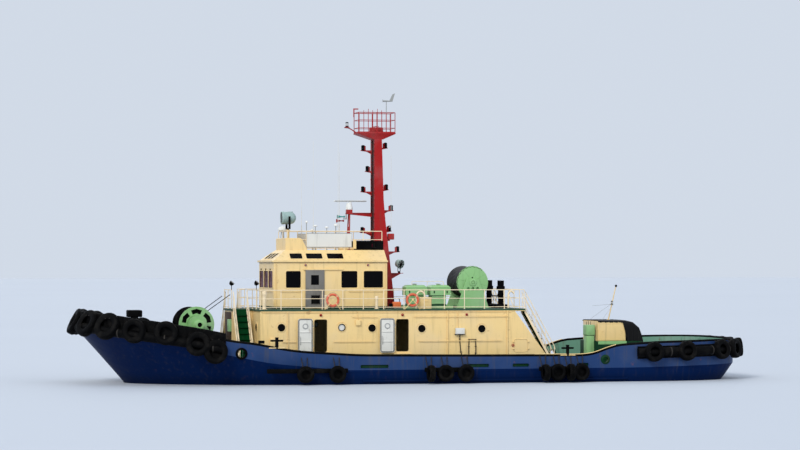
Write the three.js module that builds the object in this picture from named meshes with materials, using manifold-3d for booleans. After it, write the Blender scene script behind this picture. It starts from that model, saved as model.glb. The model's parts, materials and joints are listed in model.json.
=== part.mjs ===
// A 36 m harbour tug with a raked bow hung with tyres, a long deckhouse, a wheelhouse with a sloped
// glazed roof, a red mast, a towing winch forward, a hawser reel amidships and a covered winch aft.
// Millimetres, +X to the bow, +Y to port, +Z up. The origin is amidships on the centreline, at the
// waterline. Places are measured from there.
import * as THREE from "three";
import { mergeVertices } from "three/addons/utils/BufferGeometryUtils.js";
import Module from "manifold-3d";

const wasm = await Module();
wasm.setup();

// Driving dimensions
const SEAT = 0.4; // what two seated or welded neighbours keep between them
const CLEAR = 12; // running clearance of what turns or slides
const DECK = 750; // main deck
const UPPER = 3910; // top of the upper deck
const PLATE = 90; // a wall or a deck with its stiffeners
const HOUSE = { front: 8220, aft: -5600, half: 3600, heel: -7880 };
const PORCH = { front: 9300, half: 1200 };
const BRIDGE = { front: 7250, aft: 1070, half: 2150, eave: 6400 };
const CROWN = { front: 6490, aft: 1050, half: 1400, top: 7050 };
const RAIL_HIGH = 1030;
const BULWARK = 110;
const THRUSTER = { x: -13600, y: 2350, axis: -3150, nozzle: 1240, propeller: 1040 };
const WINCH = { x: 11250, z: 3100, radius: 900 };
const REEL = { x: -3880, z: 5300, radius: 880 };
const MAST = { front: 1390, half: 500 };

// Heights of the bulwark's rail and of the deck's edge along the hull, each as x, z
const RAIL_LINE = [
  [-18800, 2200], [-16400, 2170], [-13000, 2100], [-10700, 1950], [-10000, 1620], [-9300, 1430],
  [-7000, 1450], [-3000, 1470], [3200, 1530], [6400, 1740], [7400, 1890], [8600, 2150],
  [10250, 2340], [11700, 2770], [14050, 3300], [17400, 3820],
];
const EDGE_LINE = [[-18800, 900], [-12000, 750], [4000, 750], [8000, 1150], [11700, 1900], [17500, 2780]];
const BILGE_LINE = [[-18800, -150], [-15000, -700], [-9000, -1700], [9000, -1700], [14500, -1300]];
const KEEL_LINE = [
  [-18800, -500], [-15500, -1150], [-12000, -1750], [-7000, -3000], [-2000, -3300], [9000, -3300],
  [13500, -2900],
];

// Plan outlines of the hull by level, from the keel up: where the ends start to round, and how full
const LEVELS = {
  keel: { bow: 12600, bowRun: 1000, bowFull: 1.35, half: 2700, sternRun: -9000, stern: -17000, sternFull: 2.6 },
  bilge: { bow: 13900, bowRun: 2500, bowFull: 1.5, half: 4550, sternRun: -9500, stern: -17500, sternFull: 3.4 },
  water: { bow: 14900, bowRun: 4200, bowFull: 1.75, half: 4880, sternRun: -10500, stern: -17900, sternFull: 3.6 },
  edge: { bow: 17300, bowRun: 7900, bowFull: 2.35, half: 5000, sternRun: -11500, stern: -18600, sternFull: 3.4 },
  rail: { bow: 16750, bowRun: 7900, bowFull: 2.3, half: 4990, sternRun: -11500, stern: -18600, sternFull: 3.4 },
};
const SIDE_SHARES = [0.07, 0.13, 0.24, 0.57, 0.76, 0.87, 0.905, 0.94]; // of the straight side, bow to stern

const PAINT = {
  blue: [0x1c3f94, 0.55, 0.1], cream: [0xefd08c, 0.6, 0.0], green: [0x86c878, 0.55, 0.0],
  darkGreen: [0x0f4a2a, 0.7, 0.0], red: [0xb01c20, 0.5, 0.1], black: [0x141414, 0.8, 0.0],
  rubber: [0x171717, 0.9, 0.0], white: [0xe8e8e2, 0.5, 0.0], grey: [0x9fb0ae, 0.45, 0.4],
  orange: [0xe0482a, 0.6, 0.0], bronze: [0xa9822f, 0.35, 0.9], aluminium: [0x8c8c84, 0.45, 0.7],
};

const tug = new THREE.Group();

// Making and joining solids

function solid(geometry) {
  const loose = geometry.index ? geometry.toNonIndexed() : geometry.clone();
  const bare = new THREE.BufferGeometry().setAttribute("position", loose.getAttribute("position"));
  const merged = mergeVertices(bare, 1e-3);
  const corners = merged.index.array;
  const kept = [];
  for (let i = 0; i < corners.length; i += 3) {
    const [a, b, c] = [corners[i], corners[i + 1], corners[i + 2]];
    if (a !== b && b !== c && c !== a) kept.push(a, b, c);
  }
  const vertProperties = new Float32Array(merged.attributes.position.array);
  const made = new wasm.Manifold(new wasm.Mesh({ numProp: 3, vertProperties, triVerts: new Uint32Array(kept) }));
  if (made.volume() > 0) return made;
  for (let i = 0; i < kept.length; i += 3) [kept[i + 1], kept[i + 2]] = [kept[i + 2], kept[i + 1]];
  return new wasm.Manifold(new wasm.Mesh({ numProp: 3, vertProperties, triVerts: new Uint32Array(kept) }));
}

const join = (...solids) => solids.flat().reduce((all, next) => all.add(next));
const cut = (body, ...tools) => tools.flat().reduce((left, tool) => left.subtract(tool), body);

function add(name, made, [colour, roughness, metalness]) {
  const { numProp, vertProperties, triVerts } = made.getMesh();
  const places = new Float32Array((vertProperties.length / numProp) * 3);
  for (let i = 0; i < places.length / 3; i++) {
    places.set(vertProperties.subarray(i * numProp, i * numProp + 3), i * 3);
  }
  const geometry = new THREE.BufferGeometry()
    .setAttribute("position", new THREE.BufferAttribute(places, 3))
    .setIndex(new THREE.BufferAttribute(triVerts, 1));
  geometry.computeVertexNormals();
  const mesh = new THREE.Mesh(geometry, new THREE.MeshStandardMaterial({ color: colour, roughness, metalness }));
  mesh.name = name;
  tug.add(mesh);
}

// A solid moved, turned or mirrored
function moved(made, matrix) {
  const { numProp, vertProperties, triVerts } = made.getMesh();
  const places = new Float32Array((vertProperties.length / numProp) * 3);
  for (let i = 0; i < places.length / 3; i++) {
    places.set(vertProperties.subarray(i * numProp, i * numProp + 3), i * 3);
  }
  const geometry = new THREE.BufferGeometry()
    .setAttribute("position", new THREE.BufferAttribute(places, 3))
    .setIndex(new THREE.BufferAttribute(triVerts, 1));
  return solid(geometry.applyMatrix4(matrix));
}

const shifted = (made, x, y, z) => moved(made, new THREE.Matrix4().makeTranslation(x, y, z));
const mirrored = (made) => moved(made, new THREE.Matrix4().makeScale(1, -1, 1));

// A half or quarter turn about an upright line through x, y
function turnedAbout(made, degrees, x, y) {
  const turn = new THREE.Matrix4().makeRotationZ((degrees * Math.PI) / 180);
  turn.premultiply(new THREE.Matrix4().makeTranslation(x, y, 0));
  return moved(made, turn.multiply(new THREE.Matrix4().makeTranslation(-x, -y, 0)));
}

function box([x0, x1], [y0, y1], [z0, z1]) {
  const block = new THREE.BoxGeometry(x1 - x0, y1 - y0, z1 - z0);
  return solid(block.translate((x0 + x1) / 2, (y0 + y1) / 2, (z0 + z1) / 2));
}

// A plate whose outline is given in x and z, from y0 to y1
function plateY(outline, y0, y1) {
  const shape = new THREE.Shape(outline.map(([x, z]) => new THREE.Vector2(x, z)));
  const slab = new THREE.ExtrudeGeometry(shape, { depth: y1 - y0, bevelEnabled: false, curveSegments: 8 });
  return solid(slab.rotateX(Math.PI / 2).translate(0, y1, 0));
}

// A plate whose outline is given in y and z, from x0 to x1
function plateX(outline, x0, x1) {
  const shape = new THREE.Shape(outline.map(([y, z]) => new THREE.Vector2(y, z)));
  const slab = new THREE.ExtrudeGeometry(shape, { depth: x1 - x0, bevelEnabled: false });
  const turn = new THREE.Matrix4().makeBasis(
    new THREE.Vector3(0, 1, 0), new THREE.Vector3(0, 0, 1), new THREE.Vector3(1, 0, 0));
  return solid(slab.applyMatrix4(turn).translate(x0, 0, 0));
}

// A plate whose outline is given in x and y, from z0 to z1
function plateZ(outline, z0, z1) {
  const shape = new THREE.Shape(outline.map(([x, y]) => new THREE.Vector2(x, y)));
  const slab = new THREE.ExtrudeGeometry(shape, { depth: z1 - z0, bevelEnabled: false });
  return solid(slab.translate(0, 0, z0));
}

// A round bar or cone from one point to another
function bar(from, to, radius, sides = 6, endRadius = radius) {
  const [a, b] = [new THREE.Vector3(...from), new THREE.Vector3(...to)];
  const along = b.clone().sub(a);
  const rod = new THREE.CylinderGeometry(endRadius, radius, along.length(), sides);
  rod.applyQuaternion(new THREE.Quaternion().setFromUnitVectors(new THREE.Vector3(0, 1, 0), along.normalize()));
  const middle = a.add(b).multiplyScalar(0.5);
  return solid(rod.translate(middle.x, middle.y, middle.z));
}

// A turned piece: its profile is radius and height along an axis that starts at centre
function turned(profile, centre, axis, sides) {
  const lathe = new THREE.LatheGeometry(profile.map(([r, h]) => new THREE.Vector2(r, h)), sides);
  const aim = new THREE.Vector3(...axis).normalize();
  lathe.applyQuaternion(new THREE.Quaternion().setFromUnitVectors(new THREE.Vector3(0, 1, 0), aim));
  return solid(lathe.translate(...centre));
}

const closed = (profile) => [...profile, profile[0]];

// The height on a line of [x, z] points at some x
function heightAt(line, x) {
  const last = line.length - 1;
  if (x <= line[0][0]) return line[0][1];
  if (x >= line[last][0]) return line[last][1];
  const i = line.findIndex(([end]) => end >= x);
  const [[x0, z0], [x1, z1]] = [line[i - 1], line[i]];
  return z0 + ((z1 - z0) * (x - x0)) / (x1 - x0);
}

// The hull: rings from the keel to the rail, each half of an outline from stem to stern

const BOW_STEPS = 9;
const STERN_STEPS = 7;

function halfRing(level, height, grow = 0) {
  const ring = [];
  const half = level.half + grow;
  const [ahead, astern] = [level.bow + grow - level.bowRun, level.sternRun - level.stern + grow];
  for (let i = 0; i <= BOW_STEPS; i++) {
    const turn = (i / BOW_STEPS) * (Math.PI / 2);
    const power = 2 / level.bowFull;
    const side = i === 0 ? 0 : half * Math.sin(turn) ** power;
    ring.push([level.bowRun + (i === BOW_STEPS ? 0 : ahead * Math.cos(turn) ** power), side]);
  }
  for (const share of SIDE_SHARES) ring.push([level.bowRun + (level.sternRun - level.bowRun) * share, half]);
  for (let i = 0; i <= STERN_STEPS; i++) {
    const turn = (i / STERN_STEPS) * (Math.PI / 2);
    const power = 2 / level.sternFull;
    const side = i === STERN_STEPS ? 0 : half * Math.cos(turn) ** power;
    ring.push([level.sternRun - (i === 0 ? 0 : astern * Math.sin(turn) ** power), side]);
  }
  return ring.map(([x, y]) => [x, y, height(x)]);
}

// Joins half rings, mirrored to both sides, into a closed body, the lowest ring first
function ringBody(rings) {
  const last = rings[0].length - 1;
  const at = (level, i, side) => {
    const [x, y, z] = rings[level][i];
    return [x, i === 0 || i === last ? 0 : side * y, z];
  };
  const faces = [];
  const quad = (a, b, c, d) => faces.push(a, b, c, a, c, d);
  for (let i = 0; i < last; i++) {
    for (let level = 0; level + 1 < rings.length; level++) {
      quad(at(level, i, 1), at(level, i + 1, 1), at(level + 1, i + 1, 1), at(level + 1, i, 1));
      quad(at(level, i + 1, -1), at(level, i, -1), at(level + 1, i, -1), at(level + 1, i + 1, -1));
    }
    const top = rings.length - 1;
    quad(at(top, i, 1), at(top, i + 1, 1), at(top, i + 1, -1), at(top, i, -1));
    quad(at(0, i, -1), at(0, i + 1, -1), at(0, i + 1, 1), at(0, i, 1));
  }
  return solid(new THREE.BufferGeometry().setAttribute("position", new THREE.Float32BufferAttribute(faces.flat(), 3)));
}

const railAt = (x) => heightAt(RAIL_LINE, x);
const edgeAt = (x) => heightAt(EDGE_LINE, x);

function hullSkin(grow = 0) {
  return ringBody([
    halfRing(LEVELS.keel, (x) => heightAt(KEEL_LINE, x) - grow, grow),
    halfRing(LEVELS.bilge, (x) => heightAt(BILGE_LINE, x), grow),
    halfRing(LEVELS.water, () => 0, grow),
    halfRing(LEVELS.edge, edgeAt, grow),
    halfRing(LEVELS.rail, (x) => railAt(x) + grow, grow),
  ]);
}

const FORE_BREAK = 9700; // where the main deck steps up to the foredeck
const FORE_DECK = [1780, 2880]; // the foredeck's height at its break and at the stem
const foreDeckAt = (x) => heightAt([[FORE_BREAK, FORE_DECK[0]], [18500, FORE_DECK[1]]], x);

// All that lies above the decks, or a little more than that above them
const aboveDecks = (gap = 0) => plateY([
  [-20000, DECK + gap], [FORE_BREAK - gap, DECK + gap], [FORE_BREAK - gap, FORE_DECK[0] + gap],
  [18500, FORE_DECK[1] + gap], [18500, 7000], [-20000, 7000],
], -6000, 6000);

const insideBulwark = () => ringBody([
  halfRing(LEVELS.water, () => DECK - 150, -BULWARK - 60),
  halfRing(LEVELS.edge, edgeAt, -BULWARK - 30),
  halfRing(LEVELS.rail, railAt, -BULWARK),
  halfRing(LEVELS.rail, () => 6500, -BULWARK),
]);

// Freeing ports through the bulwark, each as its two ends in x
const FREEING_PORTS = [[1650, 3150], [-3800, -2400], [-6000, -5100], [-9300, -8650]];
const MOORING_PIPES = [[9150, 1640, 240], [-10250, 1330, 170]]; // x, z, radius
const BOLLARDS = [[12900, 2950], [7400, 4250], [-8900, 4250], [-15600, 3500]]; // x, y of each pair
const TRUNK_END = -1620; // foot of the trunk that each thruster turns under
const SKEG = [[-2500, -3200], [-3300, -3950], [-10600, -3950], [-11300, -2200], [-9500, -1900]];
const RAIL_BITTS = [7590, -8160]; // x of the cross-armed bitts on the bulwark's rail
const RAIL_BITT = { y: 4935, half: 90, high: 560, arm: [330, 430], reach: 340 };
const STEM_BITT = { x: [14000, 14750], half: 480, beam: [3480, 3850], leg: 90 }; // the staple bitt on the foredeck

function bollardPair(x, y) {
  const floor = (x > FORE_BREAK ? foreDeckAt(x) : DECK) - 60;
  const posts = [-270, 270].map((along) => bar([x + along, y, floor], [x + along, y, floor + 700], 120, 6));
  return join(posts, box([x - 460, x + 460], [y - 60, y + 60], [floor + 430, floor + 530]));
}

// A belting of square section along each side, on the deck's edge
const BELTING = { x: [-12200, 8300], half: 5110, z: [640, 860] };

function belting() {
  const strake = box(BELTING.x, [4960, BELTING.half], BELTING.z);
  return join(strake, mirrored(strake));
}

function stemBitt() {
  const { x, half, beam, leg } = STEM_BITT;
  const legs = [-half + leg, half - leg].map((y) =>
    box([x[0] + 220, x[1] - 220], [y - leg, y + leg], [foreDeckAt(x[0]) - 60, beam[0] + 10]));
  return join(legs, box(x, [-half, half], beam));
}

// The decked hull, up to its decks
function hull() {
  const shell = cut(join(hullSkin(), belting()), aboveDecks());
  const bitts = BOLLARDS.flatMap(([x, y]) => [bollardPair(x, y), bollardPair(x, -y)]);
  const trunks = [1, -1].map((side) =>
    bar([THRUSTER.x, side * THRUSTER.y, -1100], [THRUSTER.x, side * THRUSTER.y, TRUNK_END], 620, 14));
  return join(shell, bitts, stemBitt(), trunks);
}

function railBitt(x) {
  const { y, half, high, arm, reach } = RAIL_BITT;
  const foot = railAt(x) - 60;
  return join(box([x - half, x + half], [y - half, y + half], [foot, railAt(x) + high]),
    box([x - reach, x + reach], [y - half + 30, y + half - 30], [railAt(x) + arm[0], railAt(x) + arm[1]]));
}

// The bulwark that stands on the decks' edge, with its freeing ports, mooring pipes and rail bitts
function bulwark() {
  const holes = [];
  for (const [x0, x1] of FREEING_PORTS) holes.push(box([x0, x1], [-5400, 5400], [DECK + 90, DECK + 270]));
  for (const [x, z, radius] of MOORING_PIPES) holes.push(bar([x, -5600, z], [x, -4100, z], radius, 8));
  for (const [x, z, radius] of MOORING_PIPES) holes.push(bar([x, 4100, z], [x, 5600, z], radius, 8));
  const wall = cut(join(hullSkin(), belting()).intersect(aboveDecks(SEAT)), insideBulwark(), holes);
  const bitts = RAIL_BITTS.map(railBitt);
  return join(wall, bitts, bitts.map(mirrored));
}

const skeg = () => cut(plateY(SKEG, -110, 110), hullSkin(SEAT));

// Fenders: tyres strung along the hull's outline

const TYRE_SIDES = 8;
const TYRE = { stem: [740, 430], bow: [640, 430], stern: [540, 400], side: [455, 330] }; // radius, width

function tyre(centre, facing, [radius, width]) {
  const profile = closed([[radius, -width * 0.3], [radius, width * 0.3], [radius * 0.55, width / 2],
    [radius * 0.55, -width / 2]]);
  return turned(profile, centre, facing, TYRE_SIDES);
}

// The point a distance along a half ring from the stem, and the way outwards there
function alongRing(ring, distance) {
  let left = distance;
  for (let i = 0; i + 1 < ring.length; i++) {
    const [a, b] = [new THREE.Vector3(...ring[i]), new THREE.Vector3(...ring[i + 1])];
    const length = a.distanceTo(b);
    if (left <= length) {
      const run = b.clone().sub(a).normalize();
      return { at: a.addScaledVector(run, left), out: new THREE.Vector3(-run.y, run.x, 0).negate().normalize() };
    }
    left -= length;
  }
  throw new Error("past the stern");
}

const ringLength = (ring) => ring.reduce((sum, p, i) =>
  i ? sum + Math.hypot(p[0] - ring[i - 1][0], p[1] - ring[i - 1][1], p[2] - ring[i - 1][2]) : 0, 0);

// A rubber tube that follows a line of points, level in its section
function tube(points, radius, sides = 8) {
  const ring = points.map((p, i) => {
    const [before, after] = [points[Math.max(0, i - 1)], points[Math.min(points.length - 1, i + 1)]];
    const run = new THREE.Vector3(...after).sub(new THREE.Vector3(...before)).normalize();
    const across = new THREE.Vector3(0, 0, 1).cross(run).normalize();
    const up = run.clone().cross(across);
    return Array.from({ length: sides }, (_, k) => {
      const turn = (k / sides) * Math.PI * 2;
      const offset = across.clone().multiplyScalar(Math.cos(turn) * radius)
        .addScaledVector(up, Math.sin(turn) * radius);
      return [p[0] + offset.x, p[1] + offset.y, p[2] + offset.z];
    });
  });
  const faces = [];
  for (let i = 0; i + 1 < ring.length; i++) {
    for (let k = 0; k < sides; k++) {
      const n = (k + 1) % sides;
      faces.push(ring[i][k], ring[i][n], ring[i + 1][n], ring[i][k], ring[i + 1][n], ring[i + 1][k]);
    }
  }
  for (let k = 1; k + 1 < sides; k++) {
    const end = ring.length - 1;
    faces.push(ring[0][0], ring[0][k + 1], ring[0][k], ring[end][0], ring[end][k], ring[end][k + 1]);
  }
  return solid(new THREE.BufferGeometry().setAttribute("position", new THREE.Float32BufferAttribute(faces.flat(), 3)));
}

// Bow: each tyre's distance along the deck's edge from the stem, and its height over that edge
const BOW_TYRES = [[0, 510], [1900, 510], [3300, 510], [4850, 470], [6500, 600], [8130, 290], [9050, 60]];
const BOW_BELT_END = 9500;
const STERN_TYRES = [650, 2250, 3900, 5050, 7180, 9050]; // from the middle of the transom forward
const STERN_BELT_END = 9900;

function bowFender() {
  const edge = halfRing(LEVELS.edge, (x) => edgeAt(x) + 250);
  const belt = [];
  for (let d = BOW_BELT_END; d > 100; d -= 1250) {
    const { at, out } = alongRing(edge, d);
    belt.push([at.x + out.x * 130, at.y + out.y * 130, at.z]);
  }
  const mirror = belt.map(([x, y, z]) => [x, -y, z]).reverse();
  const pieces = [tube([...belt, ...mirror], 250, 6)];
  for (const [d, up] of BOW_TYRES) {
    const { at, out } = alongRing(edge, d);
    const nearStem = d < 4000;
    const lean = nearStem ? 0.5 : 0.12; // tyres at the stem lie back on the sloped bulwark
    const push = 330 - lean * 240;
    const lying = tyre([at.x + out.x * push, at.y + out.y * push, at.z - 250 + up], [out.x, out.y, lean],
      nearStem ? TYRE.stem : TYRE.bow);
    pieces.push(lying);
    if (d > 0) pieces.push(mirrored(lying));
  }
  return cut(join(pieces), hullSkin(SEAT));
}

function sternFender() {
  const edge = halfRing(LEVELS.edge, (x) => edgeAt(x) + 800);
  const whole = ringLength(edge);
  const belt = [];
  for (let d = whole - STERN_BELT_END; d < whole - 60; d += 1200) {
    const { at, out } = alongRing(edge, d);
    belt.push([at.x + out.x * 150, at.y + out.y * 150, at.z]);
  }
  const mirror = belt.map(([x, y, z]) => [x, -y, z]).reverse();
  const pieces = [tube([...belt, ...mirror], 240, 6)];
  for (const d of STERN_TYRES) {
    const { at, out } = alongRing(edge, whole - d);
    const hung = tyre([at.x + out.x * 400, at.y + out.y * 400, at.z + 20], [out.x, out.y, 0.1], TYRE.stern);
    pieces.push(hung, mirrored(hung));
  }
  return cut(join(pieces), hullSkin(SEAT));
}

// Groups of tyres along the side: the x of the tyres that hang flat, of those that stand edge on
// between them, and the ends of the rubber block behind them
const SIDE_GROUPS = {
  fore: { flat: [6150, 4450], edgeOn: [], block: [3850, 8150] },
  mid: { flat: [-1350, -2450], edgeOn: [-500], block: [-2900, -250] },
  aft: { flat: [-7500, -8800], edgeOn: [-6750, -8150], block: [-9200, -6500] },
};
const SIDE_Z = 560;

function sideTyres({ flat, edgeOn, block }) {
  const wall = BELTING.half + SEAT;
  const backing = box(block, [wall, wall + 110], [SIDE_Z + 60, SIDE_Z + 300]);
  const hung = flat.map((x) => tyre([x, wall + 100 + TYRE.side[1] / 2, SIDE_Z], [0, 1, 0], TYRE.side));
  const standing = edgeOn.map((x) => tyre([x, wall + TYRE.side[0] + 60, SIDE_Z], [1, 0, 0], TYRE.side));
  return join(backing, hung, standing);
}

// Azimuth thruster: leg, gear pod, nozzle and its struts, made about the turning axis
function thruster() {
  const aft = -780; // middle of the nozzle from the turning axis
  const length = 950;
  const ring = turned(closed([
    [THRUSTER.propeller + 35, 0], [THRUSTER.propeller + 35, length * 0.55], [THRUSTER.nozzle - 90, length],
    [THRUSTER.nozzle, length * 0.75], [THRUSTER.nozzle - 40, 0],
  ]), [aft - length / 2, 0, THRUSTER.axis], [1, 0, 0], 20);
  const pod = turned([[0, 0], [150, 0], [270, 250], [270, 900], [150, 1150], [0, 1200]],
    [-560, 0, THRUSTER.axis], [1, 0, 0], 10);
  const leg = bar([0, 0, THRUSTER.axis], [0, 0, TRUNK_END - SEAT], 210, 10, 330);
  const flange = bar([0, 0, TRUNK_END - 120], [0, 0, TRUNK_END - SEAT], 560, 14);
  const struts = [60, 180, 300].map((degrees) => {
    const turn = (degrees * Math.PI) / 180;
    const [y, z] = [Math.sin(turn), Math.cos(turn)];
    return bar([-420, y * 150, THRUSTER.axis + z * 150], [aft + 330, y * 1130, THRUSTER.axis + z * 1130], 45, 4);
  });
  return join(ring, pod, leg, flange, struts);
}

function propeller() {
  const hub = turned([[0, -260], [90, -240], [200, -60], [200, 230 - SEAT], [0, 230 - SEAT]], [-790, 0, 0], [1, 0, 0], 10);
  const blades = [0, 90, 180, 270].map((degrees) => {
    const outline = new THREE.Shape();
    outline.moveTo(-90, 120);
    outline.bezierCurveTo(-330, 420, -360, 820, -170, THRUSTER.propeller - 30);
    outline.quadraticCurveTo(60, THRUSTER.propeller + 15, 190, THRUSTER.propeller - 70);
    outline.bezierCurveTo(330, 760, 240, 420, 90, 120);
    const blade = new THREE.ExtrudeGeometry(outline, { depth: 46, bevelEnabled: false, curveSegments: 3 });
    blade.translate(0, 0, -23).rotateX(Math.PI / 2).rotateZ((62 * Math.PI) / 180);
    blade.rotateX((degrees * Math.PI) / 180).translate(-790, 0, 0);
    return solid(blade);
  });
  return join(hub, blades);
}

// Deckhouse: hollow, with its doorways, portholes and the wing plates beside the after stairs

const DECK_DOORS = [{ name: "fore", x: [4630, 5350] }, { name: "after", x: [210, 930] }];
const DOORWAY = [1650, 3390]; // sill and head
const PORTHOLES = [[7100, 2960], [3860, 2950], [2230, 2910], [-480, 2870], [-3780, 2840]]; // x, z on each side
const FRONT_PORTHOLES = [-2500, 2500]; // y on the front wall
const AFT_DOORWAY = [[-450, 450], [1250, 3000]]; // y, then z

// A door leaf: how far it laps its opening, what it leaves to its hinge line, and that line's stand-off
const LEAF = { thick: 60, lap: 35, edge: 34, standOff: 100, pin: 24, knuckle: 60 };
const hingeAt = ([, x1]) => x1 + LEAF.lap + LEAF.edge;
const knuckleHeights = [0.2, 0.8].map((share) => DOORWAY[0] + (DOORWAY[1] - DOORWAY[0]) * share);

function hingeLugs(opening) {
  const x = hingeAt(opening);
  return knuckleHeights.map((z) => box([x - LEAF.pin, x + LEAF.pin],
    [HOUSE.half - PLATE / 2, HOUSE.half + LEAF.standOff + LEAF.pin],
    [z - LEAF.knuckle - 55, z - LEAF.knuckle - SEAT]));
}

function deckhouse() {
  const [low, high] = [DECK + SEAT, UPPER - PLATE - SEAT];
  const side = plateY([[HOUSE.front, low], [HOUSE.front, high], [HOUSE.aft, high], [HOUSE.heel, low]],
    HOUSE.half - PLATE, HOUSE.half);
  const porch = cut(box([HOUSE.front - PLATE, PORCH.front], [-PORCH.half, PORCH.half], [low, high]),
    box([HOUSE.front - PLATE - 1, PORCH.front - PLATE], [-PORCH.half + PLATE, PORCH.half - PLATE],
      [low - 1, high + 1]));
  const lugs = DECK_DOORS.flatMap(({ x }) => hingeLugs(x));
  const walls = join(
    side, mirrored(side), porch, lugs, lugs.map(mirrored),
    box([HOUSE.front - PLATE, HOUSE.front], [-HOUSE.half, HOUSE.half], [low, high]),
    box([HOUSE.aft, HOUSE.aft + PLATE], [-HOUSE.half, HOUSE.half], [low, high]),
  );
  const holes = DECK_DOORS.map(({ x }) => box(x, [-HOUSE.half - 20, HOUSE.half + 20], DOORWAY));
  for (const [x, z] of PORTHOLES) holes.push(bar([x, -4000, z], [x, 4000, z], 180, 8));
  for (const y of FRONT_PORTHOLES) holes.push(bar([HOUSE.front - 300, y, 2960], [HOUSE.front + 300, y, 2960], 180, 8));
  holes.push(box([HOUSE.aft - 50, HOUSE.aft + PLATE + 50], ...AFT_DOORWAY));
  return cut(walls, holes);
}

// A weathertight leaf with a round window and a dog lever, made where it closes
function deckDoor(opening) {
  const [x0, x1] = opening;
  const hinge = hingeAt(opening);
  const [inner, line] = [HOUSE.half + CLEAR, HOUSE.half + LEAF.standOff];
  const leaf = box([x0 - LEAF.lap, x1 + LEAF.lap], [inner, inner + LEAF.thick],
    [DOORWAY[0] - LEAF.lap, DOORWAY[1] + LEAF.lap]);
  const knuckles = knuckleHeights.flatMap((z) => [
    bar([hinge, line, z - LEAF.knuckle], [hinge, line, z + LEAF.knuckle], LEAF.pin, 6),
    box([x1 - 10, hinge], [inner + 35, line + 10], [z - LEAF.knuckle, z + LEAF.knuckle]),
  ]);
  const lever = box([x0 + 60, x0 + 100], [inner + LEAF.thick - 5, inner + LEAF.thick + 40], [2330, 2500]);
  const middle = (x0 + x1) / 2;
  return cut(join(leaf, knuckles, lever), bar([middle, inner - 50, 3030], [middle, inner + 150, 3030], 120, 8));
}

// The leaf as it stands at rest, swung back flat beside its opening
const swungOpen = (opening) => turnedAbout(deckDoor(opening), 180, hingeAt(opening), HOUSE.half + LEAF.standOff);

// The deck over the house, with the porch ahead of it and a landing astern
const LANDING = -6200;

function upperDeck() {
  const [side, porch] = [HOUSE.half + 40, PORCH.half + 60];
  const half = [[LANDING, side], [HOUSE.front + 60, side], [HOUSE.front + 60, porch], [PORCH.front + 80, porch]];
  return plateZ([...half, ...half.map(([x, y]) => [x, -y]).reverse()], UPPER - PLATE, UPPER);
}

// Stairs from a head at the origin down ahead of it: stringers, treads and handrails
const STRINGER = 220; // its depth, upright

function stairs(run, rise, width, treads) {
  const outline = [[0, 0], [run, -rise], [(run * (rise - STRINGER)) / rise, -rise], [0, -STRINGER]];
  const parts = [];
  for (const y of [-width / 2, width / 2]) {
    parts.push(plateY(outline, y - 20, y + 20));
    const pitch = rise / run;
    parts.push(plateY([[50, 880 - 50 * pitch], [50, 930 - 50 * pitch], [run - 60, 930 - (run - 60) * pitch],
      [run - 60, 880 - (run - 60) * pitch]], y - 20, y + 20));
    for (const x of [60, run * 0.5, run - 100]) {
      parts.push(box([x, x + 40], [y - 18, y + 18], [-x * pitch - 120, 890 - x * pitch]));
    }
  }
  for (let i = 1; i < treads; i++) {
    const [x, z] = [(run * i) / treads, (-rise * i) / treads];
    parts.push(box([x - 110, x + 110], [-width / 2, width / 2], [z - 50, z - 20]));
  }
  return join(parts);
}

const STAIR = { foreX: 8900, aftY: 3110, width: 720, treads: 10 };

function foreStairs() {
  const head = PORCH.half + 60 + SEAT;
  const flight = stairs(2250, UPPER - DECK - SEAT, STAIR.width, STAIR.treads);
  return shifted(turnedAbout(flight, 90, 0, 0), STAIR.foreX, head, UPPER);
}

function afterStairs() {
  const flight = stairs(1750, UPPER - DECK - SEAT, STAIR.width, STAIR.treads);
  return shifted(turnedAbout(flight, 180, 0, 0), LANDING - SEAT, STAIR.aftY, UPPER);
}

// A level bar along x or y, between two heights
const [ROD, POST] = [18, 20]; // half the thickness of a rail's bars, and of its posts
const rod = ([ax, ay], [bx, by], z0, z1) => box([Math.min(ax, bx) - ROD, Math.max(ax, bx) + ROD],
  [Math.min(ay, by) - ROD, Math.max(ay, by) + ROD], [z0, z1]);

// Railings along a path of [x, y, gate]; a gate leaves the stretch to the next point without rails
function railing(path, base, high, spacing, midRails, loop = false) {
  const stops = loop ? [...path, path[0]] : path;
  const parts = [];
  for (let i = 0; i + 1 < stops.length; i++) {
    const [[ax, ay, gate], [bx, by]] = [stops[i], stops[i + 1]];
    if (gate) parts.push(rod([ax, ay], [bx, by], base, base + 50));
    const count = gate ? 1 : Math.max(1, Math.round(Math.hypot(bx - ax, by - ay) / spacing));
    for (let k = 0; k <= count; k++) {
      const [x, y] = [ax + ((bx - ax) * k) / count, ay + ((by - ay) * k) / count];
      if (k < count || !loop) parts.push(box([x - POST, x + POST], [y - POST, y + POST], [base, base + high - 6]));
    }
    for (const up of gate ? [] : [...midRails, high]) parts.push(rod([ax, ay], [bx, by], base + up - 40, base + up));
  }
  return join(parts);
}

const UPPER_RAIL = [
  [-6150, 2650, 0], [-6150, -2650, 1], [-6150, -3580, 0], [8220, -3580, 0], [8220, -1200, 0], [8500, -1200, 1],
  [9330, -1200, 0], [9330, 1200, 1], [8500, 1200, 0], [8220, 1200, 0], [8220, 3580, 0], [-6150, 3580, 1],
];
const LIFEBUOYS = [{ name: "fore", x: 4370 }, { name: "after", x: 50 }];

const BUOY = { ring: 300, tube: 75, rail: 3580 };

function lifebuoy(x) {
  const ring = new THREE.TorusGeometry(BUOY.ring, BUOY.tube, 4, 12).rotateX(Math.PI / 2);
  return solid(ring.translate(x, BUOY.rail + ROD + SEAT + BUOY.tube, UPPER + 480));
}

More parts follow.
